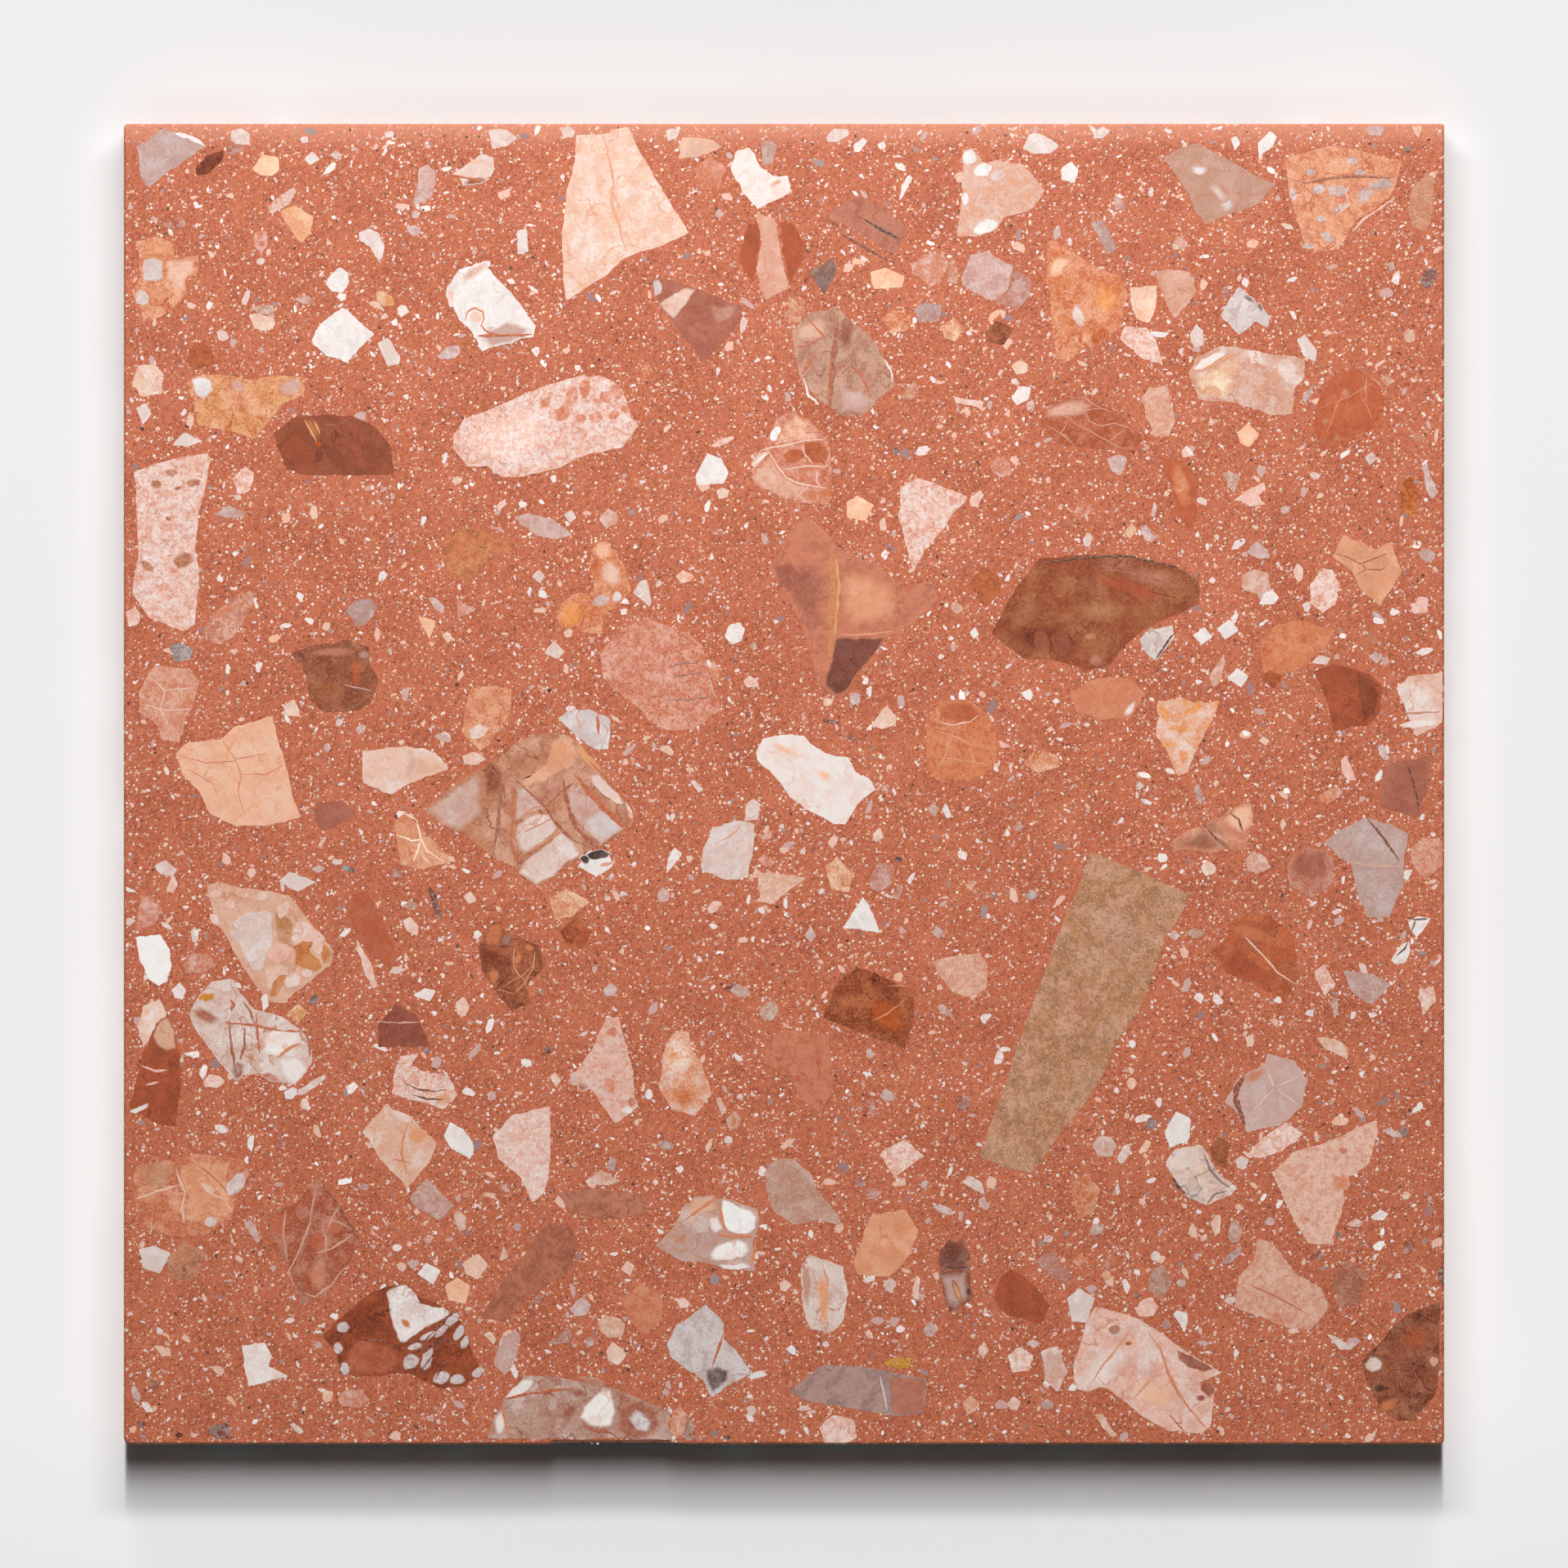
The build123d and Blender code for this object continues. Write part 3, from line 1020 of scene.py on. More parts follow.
stone("amber_marble", "amber_tall", "amber", [
    (1282, 296), (1293, 294), (1316, 312), (1345, 329), (1370, 337), (1382, 360), (1376, 379),
    (1370, 404), (1332, 424), (1316, 437), (1297, 448), (1291, 420), (1287, 379), (1282, 346)
], "peach", "burnt")
stone("amber_marble", "red_orange", "rust", [
    (1612, 495), (1627, 466), (1658, 449), (1685, 466), (1696, 495), (1693, 524), (1668, 528),
    (1647, 545), (1618, 553), (1609, 524)
], "sienna", "brick")
stone("amber_marble", "amber_vertical", "rust", [
    (1420, 565), (1436, 559), (1457, 574), (1467, 590), (1465, 627), (1457, 652), (1440, 627),
    (1436, 598)
], "sienna", "brick")
stone("amber_marble", "amber_edge_right", "burnt", [
    (1714, 595), (1728, 582), (1737, 600), (1730, 634), (1716, 625)
], "marigold", "cocoa")
stone("amber_marble", "amber_lens", "amber", [
    (1542, 793), (1560, 768), (1589, 758), (1633, 773), (1618, 800), (1585, 822), (1548, 826)
], "apricot", "rust")
stone("amber_marble", "white_orange_a", "apricot", [
    (1417, 885), (1424, 860), (1446, 853), (1465, 862), (1492, 858), (1486, 880), (1469, 909),
    (1455, 945), (1442, 950), (1432, 926), (1415, 901)
], "snow", "marigold")
stone("amber_marble", "white_orange_b", "apricot", [
    (808, 1332), (812, 1291), (829, 1262), (843, 1264), (847, 1283), (860, 1303), (871, 1341),
    (851, 1366), (822, 1359)
], "snow", "amber")
stone("amber_marble", "amber_small", "apricot", [
    (569, 868), (578, 843), (607, 839), (627, 845), (625, 872), (607, 901), (588, 919), (566, 897)
], "peach", "rust")
stone("amber_marble", "amber_tri", "apricot", [
    (672, 1100), (695, 1088), (723, 1105), (700, 1122), (680, 1127)
])
stone("amber_marble", "left_breccia", "sienna", [
    (165, 1432), (213, 1419), (238, 1413), (296, 1419), (306, 1436), (287, 1469), (283, 1494),
    (254, 1511), (213, 1515), (176, 1502), (163, 1465)
], "peach", "rust")
stone("amber_marble", "orange_salmon", "amber", [
    (1135, 885), (1150, 860), (1175, 856), (1192, 860), (1213, 880), (1224, 912), (1215, 945),
    (1190, 956), (1150, 955), (1138, 945), (1132, 915)
], "apricot", "rust")
stone("amber_marble", "amber_low", "sienna", [
    (1310, 1450), (1330, 1436), (1347, 1455), (1340, 1485), (1320, 1493)
])
stone("amber_marble", "amber_c", "amber", [(1253, 935), (1270, 918), (1295, 925), (1297, 940), (1270, 946)])
stone("amber_marble", "faint_orange", "coral", [
    (1310, 850), (1335, 832), (1380, 829), (1403, 850), (1385, 878), (1345, 882), (1318, 870)
], "apricot", "sienna")
stone("amber_marble", "amber_oval_a", "amber", [
    (1079, 390), (1095, 379), (1117, 385), (1112, 405), (1090, 408)
])
stone("amber_marble", "amber_oval_b", "apricot", [
    (1152, 400), (1168, 389), (1181, 402), (1170, 418), (1156, 414)
])
stone("amber_marble", "amber_d", "sienna", [(783, 455), (792, 444), (800, 455), (790, 468)])
stone("amber_marble", "yellow_sliver", "ochre", [
    (1081, 1668), (1100, 1661), (1122, 1664), (1112, 1676), (1092, 1675)
], "honey", "umber")
stone("amber_marble", "amber_e", "rust", [(955, 375), (975, 362), (992, 370), (980, 395), (962, 397)])
stone("amber_marble", "amber_f", "honey", [(352, 1240), (365, 1229), (377, 1240), (365, 1253)])
stone("amber_marble", "amber_g", "apricot", [
    (1010, 1060), (1025, 1050), (1045, 1070), (1040, 1092), (1018, 1090)
])
print(len(heap["amber_marble"]), "stones of amber marble")

# %% [markdown]
# ### Oxblood marble
#
# The dark stones are red-brown, streaked and veined. They carry the strongest contrast on the face.

# %% Oxblood marble: outlines in pixels of the photograph
stone("oxblood_marble", "brown_slab", "oxblood", [
    (1214, 775), (1233, 739), (1272, 683), (1324, 679), (1370, 679), (1424, 690), (1469, 708),
    (1469, 739), (1432, 756), (1395, 773), (1374, 793), (1357, 818), (1332, 820), (1291, 808),
    (1254, 806), (1229, 789)
], "khaki", "chestnut")
stone("oxblood_marble", "oxblood_left", "umber", [
    (335, 530), (362, 511), (395, 507), (428, 509), (457, 520), (478, 545), (482, 582), (416, 582),
    (362, 580), (350, 567)
], "brick", "cocoa")
stone("oxblood_marble", "oxblood_hex", "umber", [
    (358, 800), (379, 791), (424, 783), (451, 793), (453, 814), (464, 831), (457, 856), (439, 871),
    (395, 871), (378, 856), (375, 826)
], "tan", "cocoa")
stone("oxblood_marble", "oxblood_mid", "oxblood", [
    (1008, 1245), (1025, 1204), (1048, 1182), (1079, 1196), (1121, 1214), (1119, 1245), (1108, 1283),
    (1071, 1272), (1038, 1258)
], "amber", "mahogany")
stone("oxblood_marble", "oxblood_a", "umber", [
    (586, 1158), (607, 1131), (627, 1144), (661, 1158), (665, 1183), (648, 1204), (648, 1229),
    (627, 1237), (611, 1220), (590, 1187)
], "amber", "mahogany")
stone("oxblood_marble", "red_white", "oxblood", [
    (395, 1635), (420, 1610), (457, 1581), (474, 1575), (495, 1573), (515, 1589), (549, 1602),
    (565, 1618), (578, 1656), (590, 1681), (569, 1697), (540, 1699), (503, 1683), (453, 1678),
    (416, 1681), (412, 1656)
], "rust", "mahogany")
stone("oxblood_marble", "oxblood_left_edge", "brick", [
    (192, 1254), (205, 1243), (215, 1266), (219, 1291), (222, 1328), (215, 1380), (184, 1372),
    (159, 1355), (169, 1316), (176, 1287)
], "rust", "chestnut")
stone("oxblood_marble", "oxblood_corner", "umber", [
    (1668, 1666), (1697, 1635), (1722, 1610), (1763, 1594), (1763, 1660), (1759, 1705), (1730, 1741),
    (1710, 1739), (1693, 1726), (1672, 1689)
], "tan", "mahogany")
stone("oxblood_marble", "oxblood_right", "brick", [
    (1609, 822), (1635, 814), (1672, 822), (1693, 841), (1689, 872), (1676, 887), (1635, 895),
    (1623, 856)
], "rust", "chestnut")
stone("oxblood_marble", "oxblood_low", "brick", [
    (1216, 1589), (1225, 1564), (1239, 1553), (1266, 1573), (1286, 1598), (1274, 1622), (1233, 1610)
], "rust", "chestnut")
stone("oxblood_marble", "red_small", "brick", [
    (1187, 715), (1202, 694), (1222, 705), (1225, 725), (1205, 744)
])
stone("oxblood_marble", "oxblood_lens", "chestnut", [
    (239, 207), (254, 190), (273, 184), (273, 196), (254, 213), (242, 215)
], "umber", "mahogany")
stone("oxblood_marble", "dark_oval", "cocoa", [
    (1205, 408), (1220, 393), (1241, 402), (1230, 422), (1210, 420)
], "amber", "mahogany")
stone("oxblood_marble", "brown_a", "umber", [
    (1481, 1405), (1492, 1392), (1507, 1400), (1500, 1431), (1487, 1425)
])
stone("oxblood_marble", "brown_b", "brick", [(1542, 830), (1555, 820), (1571, 828), (1560, 843)])
stone("oxblood_marble", "brown_c", "brick", [
    (685, 1140), (705, 1123), (725, 1140), (715, 1162), (695, 1158)
])
stone("oxblood_marble", "brown_d", "brick", [(227, 440), (240, 418), (258, 425), (263, 445), (240, 453)])
stone("oxblood_marble", "brown_e", "brick", [(254, 1755), (265, 1743), (281, 1750), (272, 1763)])
stone("oxblood_marble", "olive_brown", "tan", [
    (202, 1545), (225, 1521), (254, 1535), (240, 1565), (215, 1569)
], "sand", "umber")
stone("oxblood_marble", "red_vein", "rust", [
    (1494, 1158), (1523, 1121), (1552, 1121), (1585, 1146), (1591, 1195), (1573, 1224), (1540, 1208),
    (1511, 1191), (1482, 1166)
], "amber", "chestnut")
print(len(heap["oxblood_marble"]), "stones of oxblood marble")

# %% [markdown]
# ### Tan marble
#
# The longest stone on the tile is a grainy tan slab. A small oval near the right edge shares its colour.

# %% Tan marble: outlines in pixels of the photograph
stone("tan_marble", "tan_slab", "khaki", [
    (1336, 1045), (1382, 1061), (1457, 1094), (1448, 1117), (1426, 1150), (1415, 1183), (1399, 1225),
    (1388, 1249), (1366, 1278), (1353, 1312), (1328, 1353), (1299, 1386), (1274, 1424), (1262, 1436),
    (1239, 1432), (1204, 1419), (1200, 1415), (1212, 1382), (1239, 1303), (1266, 1225), (1293, 1150),
    (1320, 1090)
], "sand", "walnut")
stone("cream_marble", "beige_conglomerate", "sand", [
    (252, 1084), (267, 1079), (296, 1088), (354, 1095), (379, 1129), (409, 1164), (406, 1179),
    (366, 1212), (348, 1229), (329, 1227), (308, 1200), (283, 1158), (263, 1125)
], "shell", "tan")
stone("tan_marble", "tan_oval", "tan", [
    (1730, 229), (1747, 212), (1757, 219), (1753, 267), (1747, 283), (1728, 277), (1724, 254)
], "sand", "olive")
print(len(heap["tan_marble"]), "stones of tan marble")

# %% [markdown]
# ### Salmon marble
#
# Salmon marble is close to the colour of the cement and shows mostly by its lines.

# %% Salmon marble: outlines in pixels of the photograph
stone("salmon_marble", "salmon_big", "coral", [
    (942, 694), (953, 680), (968, 649), (984, 632), (1001, 641), (1015, 655), (1027, 672), (1052, 683),
    (1074, 691), (1094, 708), (1111, 725), (1131, 711), (1145, 717), (1148, 731), (1136, 748),
    (1117, 765), (1097, 776), (1083, 781), (1069, 804), (1052, 821), (1035, 849), (1021, 852),
    (1004, 840), (998, 826), (990, 793), (982, 765), (968, 736), (953, 711)
], "salmon", "plum")
stone("salmon_marble", "salmon_net", "coral", [
    (949, 515), (967, 505), (992, 515), (1015, 540), (1018, 586), (1015, 619), (988, 617), (955, 607),
    (926, 594), (919, 576), (934, 561), (938, 540)
], "rose", "rust")
stone("salmon_marble", "salmon_low", "coral", [
    (936, 1270), (963, 1262), (1015, 1266), (1017, 1295), (1021, 1328), (1005, 1366), (980, 1345),
    (967, 1320), (938, 1303)
], "salmon", "brick")
stone("salmon_marble", "salmon_wedge", "plum", [
    (588, 1614), (619, 1564), (673, 1496), (698, 1502), (710, 1523), (698, 1556), (644, 1589),
    (619, 1618)
], "salmon", "umber")
stone("salmon_marble", "salmon_oval", "rust", [
    (432, 1093), (450, 1093), (470, 1130), (482, 1160), (478, 1185), (455, 1170), (438, 1150),
    (425, 1115)
], "mauve", "brick")
stone("salmon_marble", "net_brown", "brick", [
    (325, 1486), (362, 1473), (387, 1442), (420, 1482), (441, 1519), (416, 1564), (379, 1596),
    (362, 1585), (354, 1548), (333, 1527)
], "blush", "oxblood")
stone("salmon_marble", "salmon_strip", "mauve", [
    (681, 1460), (740, 1455), (793, 1465), (790, 1485), (740, 1494), (700, 1484)
], "salmon", "umber")
stone("salmon_marble", "salmon_a", "coral", [
    (760, 1590), (785, 1571), (810, 1585), (812, 1615), (790, 1635), (772, 1620)
], "apricot", "rust")
stone("salmon_marble", "salmon_b", "plum", [
    (1629, 1565), (1650, 1542), (1674, 1560), (1665, 1595), (1642, 1602)
], "blush", "umber")
stone("salmon_marble", "salmon_c", "mauve", [
    (1575, 1060), (1600, 1034), (1632, 1050), (1635, 1080), (1605, 1100), (1580, 1085)
])
stone("salmon_marble", "salmon_d", "coral", [(849, 205), (870, 192), (889, 205), (880, 230), (858, 234)])
print(len(heap["salmon_marble"]), "stones of salmon marble")

# %% [markdown]
# ### Chippings
#
# Between the large stones lie chippings of two to eight millimetres. The sharp ones are drawn corner by
# corner, and the round ones are given by their middle, length, width and turn, with a seeded outline.


# %% Two ways to write down a chipping
def chip(colour, corners):
    """A small sharp stone, by the corners of its outline in pixels."""
    stone("chippings", f"chip_{len(heap['chippings'])}", colour, corners)


def pebble(colour, column, row, length, width, turn=0):
    """A small round stone: nine points on an oval of seeded unevenness, turned by degrees anticlockwise."""
    seed = np.random.default_rng(int(column * 2000 + row))
    round_it = np.linspace(0, 2 * np.pi, 9, endpoint=False) + seed.uniform(-0.2, 0.2, 9)
    reach = seed.uniform(0.8, 1.12, 9)
    along = 0.5 * length * reach * np.cos(round_it)
    across_it = 0.5 * width * reach * np.sin(round_it)
    cosine, sine = np.cos(np.radians(turn)), np.sin(np.radians(turn))
    columns = column + along * cosine + across_it * sine
    rows = row - along * sine + across_it * cosine
    corners = np.column_stack([columns, rows])
    chip(colour, corners)


# %% Chippings along the top of the photograph
chip("ivory", [(283, 160), (296, 157), (305, 163), (306, 177), (290, 178), (283, 172)])
chip("plum", [(277, 178), (296, 176), (297, 183), (286, 190), (277, 188)])
chip("ivory", [(598, 160), (612, 157), (627, 163), (634, 170), (620, 179), (603, 182)])
chip("lilac", [(403, 190), (412, 184), (419, 190), (413, 196)])
chip("taupe", [(306, 378), (320, 373), (335, 374), (335, 386), (318, 384)])
chip("cream", [(304, 385), (318, 384), (335, 390), (336, 400), (326, 406), (312, 402)])
chip("brick", [(194, 272), (208, 266), (226, 269), (228, 277), (210, 281)])
chip("honey", [(460, 358), (470, 356), (482, 366), (483, 374), (470, 375), (461, 368)])
chip("mauve", [(360, 367), (372, 360), (383, 366), (388, 374), (372, 372)])
chip("lilac", [(535, 436), (548, 424), (562, 423), (564, 432), (556, 439), (540, 440)])
chip("coral", [(311, 285), (326, 281), (328, 298), (320, 312), (311, 300)])
chip("ivory", [(687, 156), (698, 155), (704, 160), (702, 168), (690, 169)])
chip("ivory", [(815, 160), (822, 157), (833, 159), (828, 170), (818, 172)])
chip("ivory", [(1012, 167), (1020, 158), (1038, 158), (1040, 165), (1025, 174), (1014, 174)])
chip("snow", [(1045, 177), (1057, 169), (1062, 172), (1053, 186), (1046, 186)])
chip("snow", [(1112, 214), (1118, 217), (1105, 242), (1101, 245), (1104, 228)])
chip("salmon", [
    (1115, 325), (1130, 312), (1155, 310), (1162, 325), (1150, 345), (1140, 352), (1128, 342), (1118, 335)
])
chip("tan", [(1162, 322), (1168, 317), (1174, 335), (1172, 348), (1160, 346)])
chip("tan", [(1108, 478), (1120, 465), (1125, 480), (1115, 490), (1104, 488)])
chip("shell", [(1168, 486), (1185, 489), (1204, 491), (1203, 503), (1190, 496), (1170, 494)])
chip("cream", [(877, 601), (884, 597), (893, 600), (891, 609), (880, 611)])
chip("blush", [(733, 637), (744, 622), (756, 630), (756, 641), (742, 646)])
chip("ivory", [(690, 630), (700, 624), (706, 634), (698, 640)])
chip("rose", [(1187, 610), (1200, 600), (1205, 606), (1196, 621), (1188, 620)])
chip("rose", [(919, 568), (928, 556), (940, 552), (936, 562), (924, 573)])
chip("coral", [(1212, 568), (1222, 558), (1235, 565), (1240, 580), (1228, 585), (1215, 578)])
chip("cocoa", [(254, 1752), (262, 1744), (278, 1743), (283, 1752), (280, 1762), (262, 1761)])
pebble("mahogany", 219, 1757, 10, 7)
chip("fig", [(1738, 345), (1745, 330), (1756, 327), (1760, 336), (1752, 353), (1744, 352)])
chip("mauve", [(1364, 239), (1376, 245), (1381, 255), (1365, 258)])
chip("ivory", [(1457, 408), (1465, 397), (1473, 405), (1474, 422), (1464, 426), (1458, 418)])
chip("cream", [(1238, 448), (1248, 441), (1259, 446), (1258, 456), (1245, 459)])
chip("snow", [(1238, 488), (1248, 473), (1262, 474), (1260, 489), (1245, 496)])
chip("lilac", [(1256, 495), (1265, 489), (1267, 499), (1258, 503)])
chip("lilac", [(1355, 562), (1370, 556), (1381, 562), (1372, 582), (1362, 578)])
chip("taupe", [(1497, 580), (1506, 577), (1519, 583), (1511, 604), (1506, 598)])
chip("rose", [
    (1510, 612), (1528, 600), (1548, 590), (1550, 600), (1540, 606), (1550, 618), (1530, 620), (1520, 614)
])
chip("lilac", [(1742, 568), (1748, 567), (1752, 585), (1762, 603), (1754, 611), (1746, 600), (1744, 584)])
chip("lilac", [(1671, 560), (1680, 553), (1686, 562), (1677, 570)])
chip("tan", [(1727, 533), (1738, 530), (1746, 537), (1735, 542)])
chip("lilac", [(1396, 648), (1403, 643), (1415, 658), (1410, 665), (1402, 661)])
chip("honey", [(1376, 652), (1386, 640), (1392, 648), (1384, 661)])
chip("lilac", [(1409, 630), (1413, 614), (1417, 620), (1413, 634)])
chip("ivory", [(1326, 660), (1332, 651), (1338, 657), (1334, 671), (1327, 668)])
chip("sienna", [(1314, 630), (1322, 610), (1338, 618), (1334, 628), (1322, 637)])
chip("lilac", [(1526, 676), (1538, 663), (1547, 668), (1556, 683), (1540, 684)])
chip("ash", [(1736, 676), (1748, 671), (1759, 679), (1752, 690), (1740, 684)])
chip("slate", [(1595, 485), (1604, 475), (1610, 468), (1604, 488), (1597, 494)])
chip("tan", [(1690, 462), (1700, 458), (1706, 468), (1698, 474)])
chip("slate", [(1699, 322), (1706, 320), (1708, 330), (1702, 333)])
chip("peach", [(1526, 297), (1534, 292), (1542, 296), (1538, 303), (1528, 303)])
chip("blush", [(1434, 300), (1443, 289), (1455, 297), (1450, 305), (1438, 306)])
chip("ivory", [(1405, 237), (1410, 228), (1413, 233), (1409, 242)])
chip("ivory", [(1338, 162), (1350, 155), (1360, 160), (1350, 170), (1340, 169)])
chip("lilac", [(1672, 156), (1688, 152), (1696, 158), (1690, 166), (1676, 165)])
pebble("ivory", 477, 165, 13, 9)
pebble("lilac", 509, 263, 12, 10)
pebble("lilac", 507, 282, 18, 12)
pebble("ivory", 319, 320, 12, 10)
pebble("snow", 1080, 178, 10, 10)
pebble("lilac", 881, 262, 10, 12)
pebble("rose", 885, 541, 30, 8, 20)
pebble("soot", 1097, 552, 7, 10)
pebble("blush", 1726, 411, 14, 18)
pebble("soot", 1724, 183, 8, 9)
pebble("cocoa", 1380, 317, 8, 6)
print(len(heap["chippings"]), "chippings so far")

# %% Chippings across the middle
chip("rose", [(154, 750), (165, 743), (172, 752), (170, 764), (158, 768)])
chip("ivory", [(651, 706), (660, 697), (667, 705), (662, 715)])
chip("lilac", [(524, 732), (532, 731), (545, 744), (543, 752), (533, 746)])
chip("salmon", [(560, 733), (582, 748), (560, 757)])
chip("shell", [(541, 777), (548, 773), (555, 782), (548, 788)])
chip("ivory", [(666, 800), (678, 784), (691, 798), (684, 807)])
chip("cream", [(347, 864), (360, 856), (366, 868), (367, 878), (350, 876)])
chip("lilac", [(435, 893), (441, 887), (449, 889), (445, 898), (438, 898)])
chip("shell", [(566, 926), (580, 920), (590, 925), (595, 930), (582, 937), (568, 935)])
chip("ivory", [(188, 1060), (202, 1053), (216, 1064), (212, 1074), (196, 1070)])
chip("rose", [(203, 1090), (212, 1070), (218, 1082), (212, 1094)])
chip("coral", [(165, 1140), (172, 1100), (185, 1097), (198, 1112), (190, 1132), (170, 1140)])
chip("cocoa", [(525, 1085), (533, 1092), (541, 1120), (540, 1128), (532, 1118), (526, 1100)])
chip("soot", [(417, 1061), (424, 1059), (436, 1066), (432, 1068), (422, 1066)])
chip("plum", [(478, 1066), (486, 1062), (495, 1070), (490, 1075), (480, 1074)])
chip("cream", [(493, 1128), (502, 1122), (513, 1135), (511, 1146), (498, 1140)])
chip("taupe", [(493, 1110), (502, 1102), (512, 1108), (503, 1115)])
chip("cream", [(567, 1098), (576, 1091), (584, 1102), (575, 1107)])
chip("lilac", [(381, 1064), (391, 1059), (399, 1064), (390, 1069)])
chip("shell", [(436, 1150), (446, 1165), (456, 1185), (462, 1208), (457, 1211), (446, 1190), (439, 1168)])
chip("snow", [(506, 1218), (520, 1210), (534, 1213), (527, 1226), (512, 1222)])
chip("salmon", [(224, 1180), (236, 1168), (256, 1168), (262, 1182), (248, 1192), (228, 1191)])
chip("soot", [(378, 1224), (384, 1217), (390, 1222), (387, 1230), (380, 1230)])
chip("snow", [(210, 1212), (220, 1203), (228, 1212), (224, 1224), (214, 1222)])
chip("snow", [(320, 1220), (327, 1216), (329, 1232), (322, 1238)])
chip("cream", [(558, 1228), (568, 1220), (575, 1232), (570, 1245), (560, 1242)])
chip("peach", [(827, 706), (836, 698), (849, 704), (846, 712), (834, 714)])
chip("ivory", [(775, 726), (784, 712), (792, 709), (798, 735), (795, 743), (786, 735)])
chip("snow", [(887, 780), (893, 765), (905, 762), (912, 770), (908, 785), (896, 789)])
chip("shell", [(910, 834), (918, 827), (927, 833), (930, 841), (915, 842)])
chip("umber", [(897, 812), (902, 796), (905, 800), (903, 814)])
chip("amber", [(868, 820), (874, 808), (881, 820), (880, 835), (872, 832)])
chip("cream", [(1067, 888), (1078, 872), (1086, 864), (1098, 878), (1096, 888), (1080, 893)])
chip("cocoa", [(1006, 881), (1015, 880), (1028, 884), (1024, 887), (1012, 885)])
chip("ivory", [(845, 957), (851, 955), (862, 968), (855, 970)])
chip("ivory", [(913, 985), (922, 978), (931, 984), (928, 1004), (912, 1005)])
chip("salmon", [(931, 1026), (940, 1018), (949, 1015), (944, 1026), (936, 1030)])
chip("salmon", [(929, 1052), (935, 1045), (949, 1055), (944, 1062), (935, 1060)])
chip("sand", [(928, 1070), (945, 1068), (988, 1075), (975, 1084), (945, 1107), (930, 1104)])
chip("snow", [(816, 1070), (818, 1050), (826, 1038), (836, 1045), (826, 1058)])
chip("lilac", [(804, 1095), (812, 1086), (820, 1094), (818, 1104), (808, 1105)])
chip("rose", [(866, 1112), (873, 1103), (884, 1104), (878, 1116), (868, 1119)])
chip("ash", [(985, 1145), (993, 1134), (999, 1145), (993, 1155)])
chip("ash", [(1140, 1142), (1148, 1134), (1156, 1142), (1148, 1149)])
chip("ash", [(1136, 992), (1142, 983), (1150, 990), (1145, 1000)])
chip("cream", [(1068, 1022), (1078, 1013), (1082, 1026), (1072, 1031)])
chip("mauve", [(1065, 1075), (1076, 1056), (1094, 1058), (1092, 1082), (1078, 1092), (1066, 1088)])
chip("mauve", [(1092, 1100), (1100, 1082), (1106, 1084), (1101, 1103)])
chip("lilac", [(738, 1213), (747, 1203), (757, 1210), (752, 1220), (742, 1220)])
chip("ash", [(893, 1212), (903, 1205), (915, 1210), (919, 1219), (905, 1221)])
chip("cocoa", [(884, 1212), (892, 1207), (905, 1201), (903, 1205), (893, 1212)])
chip("snow", [(1187, 775), (1194, 767), (1199, 778), (1192, 782)])
chip("blush", [(1164, 745), (1170, 736), (1180, 746), (1172, 752)])
chip("amber", [(1182, 1085), (1188, 1077), (1194, 1080), (1190, 1092)])
chip("blush", [(1520, 705), (1535, 697), (1552, 702), (1556, 722), (1540, 728), (1522, 722)])
chip("snow", [(1541, 740), (1548, 726), (1558, 721), (1566, 732), (1560, 740)])
chip("rose", [(1727, 748), (1738, 730), (1749, 732), (1748, 750), (1732, 752)])
chip("ivory", [(1606, 812), (1615, 802), (1630, 806), (1624, 814)])
chip("ash", [(1676, 805), (1684, 797), (1694, 806), (1686, 812)])
chip("blush", [(1480, 830), (1486, 820), (1498, 802), (1500, 812), (1494, 835), (1486, 842)])
chip("lilac", [(1687, 915), (1693, 911), (1702, 928), (1697, 932), (1689, 925)])
chip("rose", [(1642, 930), (1648, 925), (1655, 940), (1661, 955), (1650, 956), (1643, 945)])
chip("amber", [(1614, 975), (1625, 968), (1640, 963), (1644, 972), (1630, 983), (1618, 983)])
chip("slate", [(1463, 962), (1468, 960), (1474, 978), (1470, 986), (1465, 978)])
chip("cream", [(1470, 1062), (1477, 1053), (1489, 1060), (1488, 1069), (1476, 1073)])
chip("blush", [(1525, 1052), (1535, 1042), (1550, 1050), (1556, 1062), (1540, 1070), (1528, 1066)])
chip("lilac", [(1431, 1146), (1438, 1138), (1446, 1146), (1438, 1152)])
chip("taupe", [(1450, 1142), (1462, 1136), (1477, 1142), (1465, 1150)])
chip("snow", [(1724, 1128), (1735, 1122), (1752, 1124), (1745, 1136), (1735, 1148), (1728, 1140)])
chip("snow", [(1703, 1175), (1715, 1158), (1725, 1152), (1727, 1165), (1720, 1180), (1708, 1180)])
chip("brick", [(1239, 1012), (1246, 1005), (1254, 1012), (1248, 1021)])
chip("slate", [(1254, 1097), (1262, 1089), (1272, 1093), (1268, 1100), (1258, 1102)])
chip("lilac", [(1390, 962), (1396, 956), (1401, 963), (1395, 968)])
chip("cream", [(1541, 907), (1547, 902), (1555, 907), (1550, 913)])
pebble("ivory", 415, 885, 10, 10)
pebble("lilac", 496, 851, 8, 18)
pebble("lilac", 401, 915, 9, 11)
pebble("taupe", 923, 791, 8, 11)
pebble("peach", 1013, 860, 13, 11)
pebble("umber", 1043, 903, 16, 8, -10)
pebble("lilac", 1047, 855, 14, 18)
pebble("soot", 1100, 1052, 9, 7)
pebble("soot", 640, 1065, 6, 6)
pebble("rose", 1590, 702, 12, 24, 10)
pebble("ivory", 1600, 743, 11, 13)
